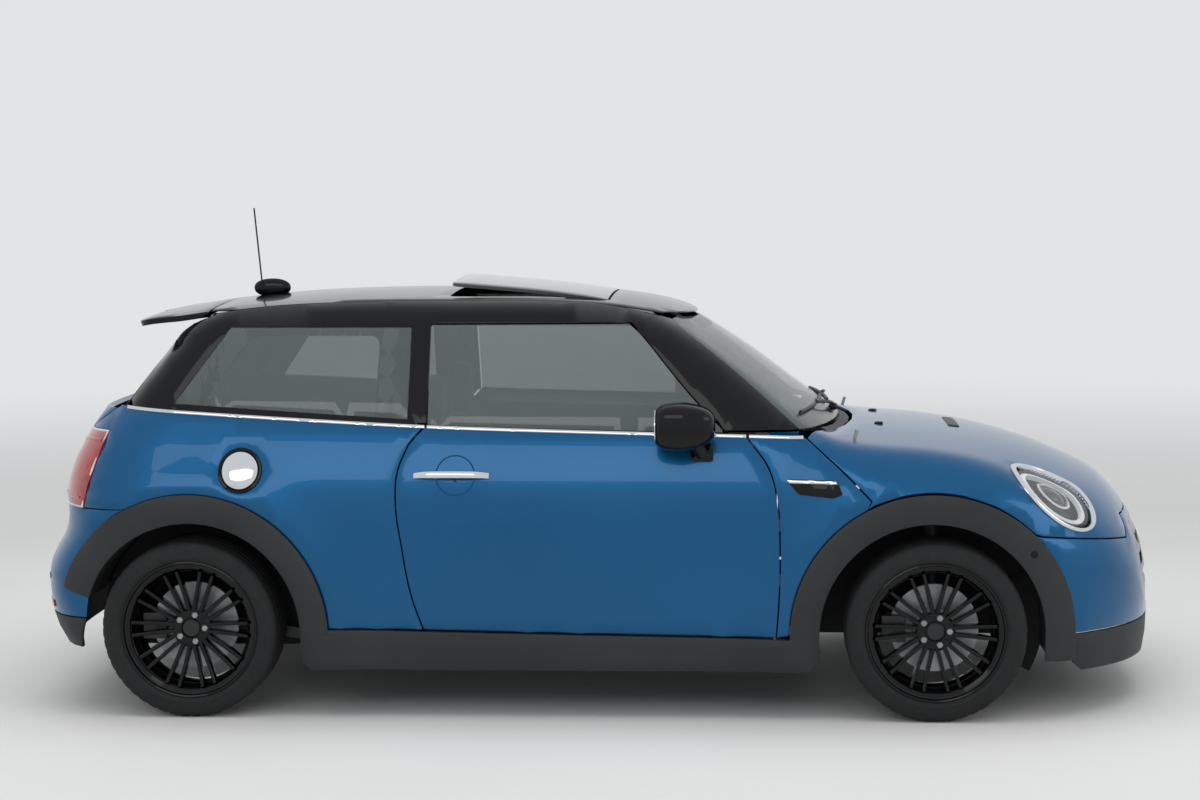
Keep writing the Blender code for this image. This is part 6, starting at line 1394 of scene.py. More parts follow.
def onto_plate(point):
    """The (p, q) of a point in space."""
    ex = max(point[0] - PLATE_X, 0)
    ey = math.copysign(max(abs(point[1]) - PLATE_Y, 0), point[1])
    reach = math.hypot(ex, ey)
    if reach == 0:
        return point[0], point[1]
    tilt = math.atan2(reach, point[2] - PLATE_Z) * PLATE_FAN_LENGTH / reach
    p = PLATE_X + ex * tilt if ex > 0 else point[0]
    q = math.copysign(PLATE_Y, point[1]) + ey * tilt if ey else point[1]
    return p, q


NOSE = round_end(lower_body, NOSE_FAN_X)


def nose_s(points):
    return side_s(NOSE_FAN_X, points)


LOWER_TOP = from_above(lower_body, PLATE_Z)
PLATE = over_plate(lower_body)


def on_plate(points):
    return [onto_plate(p) for p in points]

# %% [markdown]
# Bonnet and bumper share one seam. The lamp is an ellipse square to the skin.

# %% Bonnet outline and lamp loop
BONNET_SKIN = 0.010
BUMPER_ARCH_ANGLE = 45
BONNET_REAR_X = 0.900
BONNET_REAR_BOW = 0.30
BONNET_REAR_Y = 0.700
NOSE_SEAM = [(0.500, 0.571), (0.455, 0.600), (0.420, 0.640), (0.200, 0.640)]
HEADLAMP_CENTRE = (1.555, 0.745)
HEADLAMP_HALF = (0.168, 0.115)
HEADLAMP_LONG = Vector((0.301, -0.040, -0.232))
SEAM_SPACING = 0.030
NOSE_ARCH_RADIUS = ARCH_OUTER_RADIUS + PANEL_GAP


def nose_seam():
    """The shut line between bonnet and bumper, from the right arch to the middle, as (s, z)."""
    arch_end = nose_s(arch(FRONT_ARCH, ARCH_OUTER_RADIUS, BUMPER_ARCH_ANGLE, 0)[:1])
    path = [*arch_end, *end_s(NOSE_FAN_X, NOSE_SEAM)]
    made = []
    for a, b in zip(path, path[1:]):
        made += divided([a, b], SEAM_SPACING)[:max(1, math.ceil(math.dist(a, b) / SEAM_SPACING))]
    return [*made[1:], path[-1]]


def bonnet_outline():
    rear_y = np.linspace(0, -BONNET_REAR_Y, 5)
    rear = points_of(LOWER_TOP, [(BONNET_REAR_X - BONNET_REAR_BOW * y * y, y) for y in rear_y])
    side = points_of(LOW_SIDE, BONNET_SIDE[:-1])
    round_arch = points_of(LOW_SIDE, arch(FRONT_ARCH, NOSE_ARCH_RADIUS, BONNET_ARCH_ANGLE,
                                          BUMPER_ARCH_ANGLE))
    seam = points_of(NOSE, nose_seam())
    right = on_plate([*rear, *side, *round_arch, *seam])
    return [*right, *[(p, -q) for p, q in right[:0:-1]]]


def headlamp_loop(grow, side, count=14):
    """The lamp's outline: an ellipse square to the skin at its centre, laid over the bonnet."""
    centre, normal = (Vector(part[0]) for part in NOSE(np.array(nose_s([HEADLAMP_CENTRE]))))
    long_way = (HEADLAMP_LONG - normal * HEADLAMP_LONG.dot(normal)).normalized()
    short_way = normal.cross(long_way)
    loop = []
    for a, b in ellipse((0, 0), HEADLAMP_HALF[0] + grow, HEADLAMP_HALF[1] + grow, 0, count):
        p, q = onto_plate(centre + long_way * a + short_way * b)
        loop.append((p, q * side))
    return loop


print("lamp half axes:", HEADLAMP_HALF)

# %% [markdown]
# Each hinge arm is a bent strap round the axis.

# %% Bonnet arms
BONNET_ARM = 0.010
BONNET_ARM_PATH = [(0.000, 0.000), (0.080, -0.100), (0.200, -0.100), (0.240, 0.026)]
BONNET_ARM_WIDTH = 0.030


def gooseneck(name, axis_x, axis_z, path, low, high):
    """A bent arm of even width along a path in side view, starting at a joint axis."""
    points = [Vector((axis_x + dx, axis_z + dz)) for dx, dz in path]
    left, right = [], []
    for k, point in enumerate(points):
        before = (point - points[max(k - 1, 0)]).normalized() if k else None
        after = (points[k + 1] - point).normalized() if k + 1 < len(points) else None
        along = ((before or after) + (after or before)).normalized()
        across = Vector((-along.y, along.x)) * BONNET_ARM / 2
        if before and after:
            across /= max(0.5, along.dot(after))
        left.append(tuple(point + across))
        right.append(tuple(point - across))
    return prism(name, [*left, *right[::-1]], low, high, STEEL)

# %% [markdown]
# ## Bonnet, lamps and nose
# The bonnet is one clamshell with the lamp holes cut through it. Each lamp has a wide
# chrome ring, a dark gap and a domed clear lens over a projector and a daylight ring.

# %% Bonnet
LAMP_POINTS = 72
keep(panel("bonnet_skin", inset(bonnet_outline(), PANEL_GAP / 2), PLATE, PAINT,
           inner=BONNET_SKIN, holes=[headlamp_loop(0, side, LAMP_POINTS) for side in (1, -1)]),
     "bonnet_lid", "paint", "bonnet")
for side in (1, -1):
    outer = -side * BONNET_HINGE_Y
    low, high = sorted((outer, outer + side * BONNET_ARM_WIDTH))
    keep(gooseneck(f"bonnet_arm_{side + 2}", BONNET_AXIS_X, BONNET_AXIS_Z, BONNET_ARM_PATH,
                   low, high), "bonnet_lid", "steel")
print("pieces:", len(made_pieces))

# %% [markdown]
# ### Headlamps
# A lamp is a bowl, a projector, a daylight ring and a lens. Each is a run of shrinking
# loops at their own depths, which is simpler than cutting one solid.

# %% Headlamps
LENS_ROOM = 0.010
RING_GROWS = [0.022, 0.022, 0.018, 0.011, 0.004, 0.000, 0.000]
RING_HEIGHTS = [-0.002, 0.004, 0.0075, 0.009, 0.0075, 0.003, -0.010]
for number, side in enumerate((1, -1)):
    word = "right" if side == 1 else "left"
    ring = [headlamp_loop(grow, side, LAMP_POINTS) for grow in RING_GROWS]
    keep(banded(f"lamp_ring_{word}", ring, RING_HEIGHTS, PLATE, CHROME), "bonnet_lid", "steel")
    middle = headlamp_loop(-LENS_ROOM, side, LAMP_POINTS)
    centre = tuple(np.mean(middle, axis=0))

    def shrunk(share, loop=middle, about=centre):
        return [(about[0] + (p - about[0]) * share, about[1] + (q - about[1]) * share)
                for p, q in loop]

    lens_shares = [1.03, 1.0, 0.96, 0.85, 0.65, 0.4, 0.15, 0.02]
    lens_heights = [-0.014, -0.006, -0.002, 0.002, 0.005, 0.007, 0.008, 0.008]
    keep(banded(f"lamp_lens_{word}", [shrunk(s) for s in lens_shares], lens_heights, PLATE,
                CLEAR_LENS), BODY, "clear_lens", f"headlamp_{word}")
    keep(banded(f"lamp_bowl_{word}", [shrunk(s) for s in (1.04, 1.0, 0.9, 0.7, 0.4, 0.02)],
                [-0.013, -0.030, -0.045, -0.055, -0.060, -0.062], PLATE, DARK_PLASTIC),
         BODY, "black_paint")
    keep(banded(f"lamp_daylight_{word}", [shrunk(s) for s in (0.93, 0.93, 0.83, 0.83)],
                [-0.030, -0.014, -0.014, -0.030], PLATE, DAYLIGHT), BODY, "clear_lens")
    keep(banded(f"lamp_bezel_{word}", [shrunk(s) for s in (0.52, 0.50, 0.44, 0.42, 0.40)],
                [-0.048, -0.020, -0.016, -0.022, -0.044], PLATE, CHROME), BODY, "steel")
    keep(banded(f"lamp_projector_{word}", [shrunk(s) for s in (0.40, 0.33, 0.2, 0.02)],
                [-0.034, -0.022, -0.014, -0.011], PLATE, PRIVACY), BODY, "clear_lens")
print("pieces:", len(made_pieces))

# %% [markdown]
# ### Front bumper
# The bumper is a moulded cover with an opening, closed by thin bars. The bars follow the
# nose because they are laid on the same skin.

# %% Front bumper, grille and apron
BUMPER_WALL = 0.012
BUMPER_LOW_Z = 0.285
VALANCE_LOW_Z = 0.150


def whole_end(fan_x, right):
    """A run of (s, z) points on the right side, followed by its mirror image on the left."""
    centre = end_centre(fan_x)
    return [*right, *[(2 * centre - s, z) for s, z in right[::-1]]]


GRILLE_HALF = [(0.360, 0.305), (0.430, 0.450), (0.375, 0.604)]
GRILLE_SLOT_HEIGHT = 0.038
GRILLE_SLOT_ZS = (0.345, 0.410, 0.475, 0.540)
GRILLE_SLOT_MARGIN = 0.045
GRILLE_DROP = 0.004
GRILLE_SPACING = 0.030
VALANCE_SEAM_Z = 0.285


def nose_point_loop(points):
    """Seen from the front, (|y|, z) up the right side, as a whole symmetric loop of (s, z)."""
    return divided(whole_end(NOSE_FAN_X, end_s(NOSE_FAN_X, points)), GRILLE_SPACING)


def bumper_outline():
    round_arch = arch(FRONT_ARCH, ARCH_OUTER_RADIUS + BUMPER_EASE, BUMPER_ARCH_ANGLE, 0)
    foot = [(FRONT_ARCH[0] + ARCH_OUTER_RADIUS, BUMPER_LOW_Z)]
    start = nose_s([*foot, *round_arch[::-1]])
    return whole_end(NOSE_FAN_X, [*start, *nose_seam()])


BUMPER_EASE = 0.0015


def grille_half_width(z):
    ys, zs = zip(*GRILLE_HALF)
    return float(np.interp(z, zs, ys))


keep(panel("front_bumper_skin", inset(bumper_outline(), PANEL_GAP / 2), NOSE, PAINT,
           inner=BUMPER_WALL, holes=[nose_point_loop(GRILLE_HALF)]), BODY, "paint",
     "front_bumper")
slots = []
for z in GRILLE_SLOT_ZS:
    low, high = z - GRILLE_SLOT_HEIGHT / 2, z + GRILLE_SLOT_HEIGHT / 2
    slots.append(nose_point_loop([(grille_half_width(low) - GRILLE_SLOT_MARGIN, low),
                                  (grille_half_width(high) - GRILLE_SLOT_MARGIN, high)]))
keep(panel("grille_frame", inset(nose_point_loop(GRILLE_HALF), CURVE_GAP), NOSE, BLACK_PAINT,
           outer=GRILLE_DROP, inner=BUMPER_WALL, holes=slots, roll=0.002), BODY, "black_paint",
     "grille")
valance_loop = whole_end(NOSE_FAN_X, nose_s([
    (FRONT_ARCH[0] + ARCH_OUTER_RADIUS, VALANCE_SEAM_Z),
    (FRONT_ARCH[0] + ARCH_OUTER_RADIUS, VALANCE_LOW_Z + FLANGE),
    (FRONT_ARCH[0] + ARCH_OUTER_RADIUS + FLANGE, VALANCE_LOW_Z)]))
keep(panel("front_apron", inset(valance_loop, PANEL_GAP / 2), NOSE, PLASTIC,
           inner=BUMPER_WALL), BODY, "trim", "front_valance")
print("pieces:", len(made_pieces))

# %% [markdown]
# ### Rear bumper
# The rear cover wraps from arch to arch, so its outline lives on the unrolled tail.

# %% Rear bumper and apron
TAILGATE_LOW_Z = 0.605
LAMP_BOTTOM = smooth_line([LAMP_INNER[1], LAMP_FRONT[0]], STEP / 3)
LAMP_DEPTH = 0.030
LAMP_PROUD = 0.003
LAMP_TRIM = 0.0015
LAMP_OUTLINE = [*LAMP_FRONT[1:-1], *[(s, z - LAMP_TRIM) for s, z in LAMP_TOP],
                *[(s, z + LAMP_TRIM) for s, z in LAMP_BOTTOM]]
REAR_EDGE = [(-1.712, 0.330), (-1.745, 0.215)]


def tail_arch_end():
    """The rear ends of the cladding: outer and inner corner."""
    return (arch(REAR_ARCH, ARCH_OUTER_RADIUS, TAIL_ARCH_ANGLE, TAIL_ARCH_ANGLE + ARC_STEP)[0],
            arch(REAR_ARCH, ARCH_INNER_RADIUS, TAIL_ARCH_ANGLE, TAIL_ARCH_ANGLE + ARC_STEP)[0])


def rear_bumper_outline():
    top = [*LAMP_BOTTOM[::-1], *end_s(TAIL_FAN_X, [(LAMP_INNER_Y, TAILGATE_LOW_Z)])]
    outer, inner = tail_arch_end()
    right = [*tail_s([REAR_EDGE[0], inner]),
             *tail_s(arch(REAR_ARCH, ARCH_OUTER_RADIUS + BUMPER_EASE, QUARTER_ARCH_ANGLE,
                          TAIL_ARCH_ANGLE)[::-1]),
             *top]
    return whole_end(TAIL_FAN_X, right)


keep(panel("rear_bumper_skin", inset(rear_bumper_outline(), PANEL_GAP / 2), TAIL, PAINT,
           inner=BUMPER_WALL), BODY, "paint", "rear_bumper")
keep(panel("rear_apron", inset(whole_end(TAIL_FAN_X, tail_s([*REAR_EDGE[::-1]])), PANEL_GAP / 2),
           TAIL, PLASTIC, inner=BUMPER_WALL), BODY, "trim", "rear_valance")
lamp_loop = inset(LAMP_OUTLINE, CURVE_GAP - PANEL_GAP / 2)
pair(panel("tail_lens_right", lamp_loop, TAIL, RED_LENS, outer=-LAMP_PROUD, inner=LAMP_DEPTH,
           step=0.03), BODY, "red_lens", "tail_lamp")
print("ends done:", len(made_pieces))

# %% [markdown]
# ## Tailgate
# The painted lower half carries the plate; the black upper half holds the rear glass and
# the spoiler.

# %% Tailgate
TAILGATE_AXIS_AHEAD = 0.025
TAILGATE_AXIS_DEPTH = 0.018
CABIN_BACK = from_end(cabin, CABIN_MIDDLE_X, -1)
LOWER_BACK = from_end(lower_body, CABIN_MIDDLE_X, -1)


def both_sides(right):
    """A run of (a, y) points on the right, then its mirror image in reverse."""
    return [*right, *[(a, -y) for a, y in right[::-1]]]


TAILGATE_AXIS_X = ROOF_REAR_X + TAILGATE_AXIS_AHEAD + PANEL_GAP * 2
TAILGATE_AXIS_Z = float(roof_z(TAILGATE_AXIS_X)) - TAILGATE_AXIS_DEPTH
TAILGATE_HINGE_Y = 0.200
TAILGATE_HINGE_WIDTH = 0.035
GATE_DEPTH = 0.060
RING_FOOT_Z = 0.970
RING_TOP_Z = 1.318
RING_CROWN = 0.10
RING_DEPTH = 0.028
REAR_GLASS_HALF = [(0.520, 1.058), (0.405, 1.252)]
SPOILER_RIGHT = [(-1.338, -0.512), (-1.450, -0.506), (-1.585, -0.455), (-1.606, -0.250)]
GATE_ARM_PATH = [(0.000, 0.000), (-0.010, -0.040), (-0.065, -0.046), (-0.085, -0.046)]


def gate_lower_outline():
    corner = points_of(TAIL, QUARTER_END)[0]
    lamp_y = LAMP_INNER_Y - CURVE_GAP
    right = [(-lamp_y, TAILGATE_LOW_Z), (-lamp_y, LAMP_TOP_Z),
             (corner[1] + PANEL_GAP, corner[2] - STRIP_HEIGHT)]
    return [*right, *[(-y, z) for y, z in right[::-1]]]


def gate_ring_outline():
    right = [(p[1], p[2]) for p in
             points_of(CABIN_SIDE, smooth_line(in_metres(REAR_PILLAR_SHARES), STEP / 2))]
    right = [(y, z) for y, z in right if z < RING_TOP_Z - RING_CROWN * y * y - PANEL_GAP]
    foot_y = right[-1][0]
    crown = [(y, RING_TOP_Z - RING_CROWN * y * y)
             for y in np.linspace(right[0][0], -right[0][0], 7)]
    return [*crown, *[(-y, z) for y, z in right], (-foot_y, RING_FOOT_Z), (foot_y, RING_FOOT_Z),
            *right[::-1]]


gate_loop = inset(gate_lower_outline(), PANEL_GAP / 2)
keep(panel("tailgate_skin", gate_loop, LOWER_BACK, PAINT, inner=GATE_DEPTH / 3),
     "tailgate_lid", "paint", "tailgate")
rear_hole = [(-y, z) for y, z in REAR_GLASS_HALF] + REAR_GLASS_HALF[::-1]
keep(panel("tailgate_frame", inset(gate_ring_outline(), PANEL_GAP), CABIN_BACK, BLACK_PAINT,
           inner=RING_DEPTH, holes=[rounded(rear_hole, 0.04)]), "tailgate_lid", "black_paint")
keep(panel("tailgate_pane", rounded(inset(rear_hole, CURVE_GAP), 0.04), CABIN_BACK, WINDOW,
           inner=GLASS, roll=0.001), "tailgate_lid", "glass", "tailgate_glass")
keep(panel("spoiler_skin", both_sides(smooth_line(SPOILER_RIGHT)), ROOF_TOP, BLACK_PAINT,
           inner=0.020), "tailgate_lid", "black_paint", "spoiler")
for side in (-1, 1):
    outer = side * TAILGATE_HINGE_Y
    low, high = sorted((outer, outer - side * TAILGATE_HINGE_WIDTH))
    keep(gooseneck(f"gate_arm_{side + 2}", TAILGATE_AXIS_X, TAILGATE_AXIS_Z, GATE_ARM_PATH,
                   low, high), "tailgate_lid", "steel")
print("pieces:", len(made_pieces))

# %% [markdown]
# ## Bright trim
# A chrome strip 12 mm high runs along the foot of the windows, in one length per panel.

# %% Belt strip, handle, fuel cap
HANDLE_Z = 0.820


def belt_piece(name, start, end, body):
    low = belt_line(start, end, 0.001, 20)
    high = belt_line(start, end, STRIP_HEIGHT - 0.001, 20)
    loop = [*low, *high[::-1]]
    return pair(panel(name, loop, LOW_SIDE, CHROME, outer=-0.003, inner=SKIN / 2, step=0.012,
                      roll=0.002), body, "steel")


belt_piece("belt_strip_rear_right", -1.585, DOOR_REAR_TOP_X - PANEL_GAP, BODY)
belt_piece("belt_strip_door_right", DOOR_REAR_TOP_X + PANEL_GAP / 2,
           DOOR_FRONT[-1][0] - PANEL_GAP, "SIDE_door")
belt_piece("belt_strip_front_right", DOOR_FRONT[-1][0] + PANEL_GAP, BONNET_SIDE[0][0] - 0.012, BODY)

HANDLE_SPAN = (-0.580, -0.328)
handle_line = [(x, HANDLE_Z) for x in np.linspace(*HANDLE_SPAN, 15)]
handle_points, handle_normals = LOW_SIDE(np.array(handle_line))
rise = np.array([0.004, 0.014, 0.022, 0.025, 0.026, 0.027, 0.027, 0.027, 0.027, 0.027, 0.026,
                 0.025, 0.022, 0.014, 0.004])
path = handle_points + handle_normals * rise[:, None]
rings = []
for k, (point, normal) in enumerate(zip(path, handle_normals)):
    along = Vector(path[min(k + 1, 14)] - path[max(k - 1, 0)]).normalized()
    out = Vector(normal)
    up = along.cross(out)
    rings.append([tuple(Vector(point) + up * 0.012 * math.cos(a) + out * 0.006 * math.sin(a))
                  for a in (2 * math.pi * j / 20 for j in range(20))])
faces = [tuple(range(20)), tuple(range(14 * 20 + 19, 14 * 20 - 1, -1))]
faces += [(k * 20 + j, k * 20 + (j + 1) % 20, (k + 1) * 20 + (j + 1) % 20, (k + 1) * 20 + j)
          for k in range(14) for j in range(20)]
pair(mesh_object("door_handle_right", [p for ring in rings for p in ring], faces, CHROME),
     "SIDE_door", "steel")

cap_loops = [circle(FUEL_CENTRE, r, 64) for r in (0.0735, 0.072, 0.066, 0.063, 0.060, 0.052, 0.035,
                                                 0.015, 0.001)]
keep(banded("fuel_cap_surround", cap_loops[:4], [-0.006, 0.001, 0.0015, -0.004], LOW_SIDE,
            BLACK_PAINT), BODY, "black_paint")
keep(banded("fuel_cap_dome", cap_loops[3:], [-0.004, 0.003, 0.007, 0.010, 0.0115, 0.012],
            LOW_SIDE, CHROME), BODY, "steel", "fuel_cap")
print("pieces:", len(made_pieces))

# %% [markdown]
# ## Mirrors
# Each mirror is a rounded black pod on a short arm at the foot of the window.

# %% Door mirrors
def tube(name, points, radius, sides, look):
    """A round bar along a path, with flat ends."""
    points = [Vector(p) for p in points]
    rings, across = [], None
    for k, point in enumerate(points):
        ahead = points[min(k + 1, len(points) - 1)] - points[max(k - 1, 0)]
        ahead.normalize()
        if across is None:
            across = ahead.orthogonal().normalized()
        across = (across - ahead * across.dot(ahead)).normalized()
        other = ahead.cross(across)
        rings.append([point + radius * (math.cos(a) * across + math.sin(a) * other)
                      for a in (2 * math.pi * (j + 0.5) / sides for j in range(sides))])
    every = [p for ring in rings for p in ring]
    faces = [tuple(range(sides)),
             tuple(range(len(every) - 1, len(every) - sides - 1, -1))]
    for k in range(len(rings) - 1):
        faces += [(k * sides + j, k * sides + (j + 1) % sides,
                   (k + 1) * sides + (j + 1) % sides, (k + 1) * sides + j)
                  for j in range(sides)]
    return mesh_object(name, every, faces, look)


MIRROR_CENTRE = (0.320, -0.878, 0.990)
MIRROR_FOOT = rectangle(0.340, 0.865, 0.415, 0.925)
MIRROR_NOSE_SHARE = 0.22


def superform(name, centre, half, power, look, taper=0.0, rows=24, count=40):
    """A rounded block: an ellipsoid whose sides are pushed out towards a box."""
    points = []
    for k in range(rows + 1):
        v = -math.pi / 2 + math.pi * k / rows
        for j in range(count):
            u = 2 * math.pi * j / count
            direction = Vector((math.cos(v) * math.cos(u), math.cos(v) * math.sin(u),
                                math.sin(v)))
            scale = sum(abs(c) ** power for c in direction) ** (-1 / power)
            x, y, z = direction * scale
            narrow = 1 - taper * max(x, 0)
            points.append((centre[0] + x * half[0], centre[1] + y * half[1] * narrow,
                           centre[2] + z * half[2] * narrow))
    faces = [(k * count + j, k * count + (j + 1) % count, (k + 1) * count + (j + 1) % count,
              (k + 1) * count + j) for k in range(rows) for j in range(count)]
    made = mesh_object(name, points, faces, look)
    work = bmesh.new()
    work.from_mesh(made.data)
    bmesh.ops.remove_doubles(work, verts=work.verts, dist=JOIN)
    work.to_mesh(made.data)
    work.free()
    return made

# %% [markdown]
# Parts made one by one are joined with their finishes kept, so that they ride as one.

# %% Joining parts
def joined(name, parts):
    """Several meshes as one object."""
    work = bmesh.new()
    looks = []
    for part_piece in parts:
        look = part_piece.data.materials[0]
        if look not in looks:
            looks.append(look)
        before = len(work.faces)
        mesh = part_piece.data.copy()
        mesh.transform(part_piece.matrix_world)
        work.from_mesh(mesh)
        work.faces.ensure_lookup_table()
        for face in work.faces[before:]:
            face.material_index = looks.index(look)
        bpy.data.objects.remove(part_piece)
    mesh = bpy.data.meshes.new(name)
    work.to_mesh(mesh)
    work.free()
    for look in looks:
        mesh.materials.append(look)
    made = bpy.data.objects.new(name, mesh)
    bpy.context.scene.collection.objects.link(made)
    return made

# %% [markdown]
# The housing is a moulded pod on an arm. A rounded box is cut flat behind, where the
# silvered glass sits.

# %% Mirror pods, arms and glass
POD_HALF = (0.104, 0.087, 0.078)
pod = superform("mirror_pod_right", MIRROR_CENTRE, POD_HALF, 3.4,
                BLACK_PAINT, MIRROR_NOSE_SHARE)
for vertex in pod.data.vertices:
    back = MIRROR_CENTRE[0] - POD_HALF[0] * 0.88
    vertex.co.x = max(vertex.co.x, back)
pair(pod, "SIDE_door", "black_paint", "door_mirror")
glass_x = MIRROR_CENTRE[0] - POD_HALF[0] * 0.88
oval = ellipse((MIRROR_CENTRE[1], MIRROR_CENTRE[2]), POD_HALF[1] * 0.80, POD_HALF[2] * 0.76,
               0, 40)
pair(prism("mirror_glass_right", oval, glass_x - 0.0015, glass_x + 0.001, MIRROR, "X"),
     "SIDE_door", "glass")
foot_x = sum(p[0] for p in MIRROR_FOOT) / len(MIRROR_FOOT)
foot_z = sum(p[1] for p in MIRROR_FOOT) / len(MIRROR_FOOT)
foot_y = float(LOW_SIDE(np.array([(foot_x, foot_z)]))[0][0][1])
pair(tube("mirror_arm_right", [(foot_x, foot_y + 0.004, foot_z), (foot_x, foot_y - 0.02, foot_z),
                               (foot_x - 0.02, foot_y - 0.04, foot_z + 0.03),
                               (MIRROR_CENTRE[0] + 0.01, MIRROR_CENTRE[1] + 0.01,
                                MIRROR_CENTRE[2] - 0.05)], 0.021, 20, BLACK_PAINT),
     "SIDE_door", "black_paint")
pair(panel("mirror_foot_right", rounded(MIRROR_FOOT, 0.012), LOW_SIDE, BLACK_PAINT,
           outer=-0.010, inner=-CURVE_GAP, step=0.02), "SIDE_door", "black_paint")
print("pieces:", len(made_pieces))

# %% [markdown]
# ## Small parts
# Plates, badge plate, sensors, washer jets, wipers and lamp edges are small, but the eye
# counts them. All lie on the same skin, a few millimetres proud.

# %% Side badge plate, sensors and reflectors
BADGE = [(0.652, 0.809), (0.821, 0.803), (0.840, 0.759), (0.809, 0.746), (0.696, 0.759)]
pair(panel("wing_plate_right", rounded(BADGE, 0.008), LOW_SIDE, BLACK_PAINT, outer=-0.006,
           inner=0.001, step=0.02, roll=0.002), BODY, "black_paint")
BADGE_BAR = [(0.655, 0.806), (0.818, 0.800), (0.822, 0.791), (0.664, 0.796)]
pair(panel("wing_plate_bar_right", rounded(BADGE_BAR, 0.002), LOW_SIDE, CHROME, outer=-0.008,
           inner=0.001, step=0.02, roll=0.001), BODY, "steel")
SENSOR = (1.462, 0.560)
pair(banded("arch_sensor_right", [circle(SENSOR, r, 24) for r in (0.012, 0.011, 0.009, 0.0005)],
            [0.006, 0.0125, 0.013, 0.013], LOW_SIDE, BLACK_PAINT), BODY, "trim")
for number, (y, z) in enumerate([(0.30, 0.430), (0.62, 0.450)]):
    spot = end_s(TAIL_FAN_X, [(y, z)])[0]
    rings = [circle(spot, r, 24) for r in (0.012, 0.011, 0.0005)]
    pair(banded(f"rear_sensor_{number}_right", rings, [-0.001, 0.0015, 0.0015], TAIL,
                BLACK_PAINT), BODY, "trim")
reflector = end_s(TAIL_FAN_X, [(0.68, 0.350), (0.56, 0.350), (0.56, 0.372), (0.68, 0.372)])
pair(panel("rear_reflector_right", reflector, TAIL, RED_LENS, outer=-0.003, inner=0.001,
           step=0.03, roll=0.001), BODY, "red_lens")
print("pieces:", len(made_pieces))

# %% [markdown]
# A chromed edge frames each lamp, and a raised red rib shows where the lens is moulded.
# Both are rings of inset loops.

# %% Tail lamp edges
edge_loops = [inset(lamp_loop, d) for d in (0.0005, 0.002, 0.006, 0.008)]
pair(banded("tail_lamp_edge_right", edge_loops, [0.000, 0.006, 0.006, 0.002], TAIL, CHROME),
     BODY, "steel")
inner_loops = [inset(lamp_loop, d) for d in (0.030, 0.032, 0.038, 0.040)]
pair(banded("tail_lamp_ring_right", inner_loops, [0.0028, 0.0048, 0.0048, 0.0028], TAIL, RED_LENS),
     BODY, "red_lens")
print("pieces:", len(made_pieces))

# %% [markdown]
# Plates are pressed sheet, left blank here. Each lies on the skin, a little proud of it.

# %% Blank plates, gate handle and brake lamp
PLATE_LOOP = whole_end(NOSE_FAN_X, end_s(NOSE_FAN_X, [(0.26, 0.435), (0.26, 0.545)]))
keep(panel("front_plate", divided(PLATE_LOOP, 0.03), NOSE, PLATE_WHITE, outer=0.0005,
           inner=GRILLE_DROP, step=0.04, roll=0.001), BODY, "trim")
rear_plate = divided([(-0.26, 0.700), (0.26, 0.700), (0.26, 0.811), (-0.26, 0.811)], 0.04)
keep(panel("rear_plate", rear_plate, LOWER_BACK, PLATE_WHITE, outer=-0.004, inner=0.001,
           step=0.04, roll=0.001), "tailgate_lid", "trim")
plate_edge = [inset(rear_plate, d) for d in (-0.012, -0.010, -0.003, 0.001)]
keep(banded("rear_plate_edge", plate_edge, [0.000, 0.005, 0.005, 0.002], LOWER_BACK, DARK_PLASTIC),
     "tailgate_lid", "trim")
bar_loop = rounded([(-0.24, 0.838), (0.24, 0.838), (0.22, 0.868), (-0.22, 0.868)], 0.010)
keep(panel("gate_handle", bar_loop, LOWER_BACK, CHROME, outer=-0.012, inner=0.001, step=0.03,
           roll=0.004), "tailgate_lid", "steel")
brake_loop = [(-1.590, -0.13), (-1.578, -0.13), (-1.578, 0.13), (-1.590, 0.13)]
keep(panel("high_brake_lens", brake_loop, ROOF_TOP, RED_LENS, outer=-0.001, inner=0.002, step=0.04,
           roll=0.001), "tailgate_lid", "red_lens")
print("pieces:", len(made_pieces))

# %% [markdown]
# ### Wipers
# An arm, a spring joint and a rubber blade that touches the glass. Tubes swept along
# points on the screen keep the same height over its bow.

# %% Wipers
def swept_wiper(name, place, pivot, elbow, blade, body, lift=0.016):
    """An arm from its pivot to the middle of a straight rubber blade, over a glass."""
    run = [pivot, elbow, tuple((np.array(blade[0]) + np.array(blade[1])) / 2)]
    flat = np.array(smooth_line(run, 0.04))
    points, normals = place(flat)
    arm_rise = lift + 0.010 * np.sin(np.linspace(0, math.pi, len(flat)))
    arm = tube(name + "_arm", [Vector(p) for p in points + normals * arm_rise[:, None]], 0.006, 8,
               DARK_PLASTIC)
    spot, way = place(np.array([pivot]))
    knob = superform(name + "_knob", spot[0] + way[0] * lift * 0.6, (0.016, 0.016, 0.014), 2.5,
                     DARK_PLASTIC, rows=10, count=20)
    line = np.linspace(blade[0], blade[1], 16)
    points, normals = place(line)
    holder = tube(name + "_holder", [Vector(p) for p in points + normals * lift * 0.7], 0.0055, 8,
                  DARK_PLASTIC)
    rubber = tube(name + "_rubber", [Vector(p) for p in points + normals * 0.004], 0.003, 6,
                  TYRE_RUBBER)
    keep(joined(name, [arm, knob, holder, rubber]), body, "trim")


swept_wiper("wiper_driver", SCREEN_FACE, (-0.10, 0.975), (-0.25, 0.995),
            ((-0.58, 1.000), (-0.06, 1.012)), BODY)
swept_wiper("wiper_passenger", SCREEN_FACE, (0.42, 0.972), (0.28, 0.985),
            ((-0.02, 0.992), (0.40, 1.000)), BODY)
swept_wiper("wiper_rear", CABIN_BACK, (0.0, 1.032), (-0.08, 1.046),
            ((-0.32, 1.078), (-0.02, 1.080)), "tailgate_lid", 0.012)
print("pieces:", len(made_pieces))

# %% [markdown]
# Jets are moulded caps pushed through the bonnet, so they are small domes on its skin.

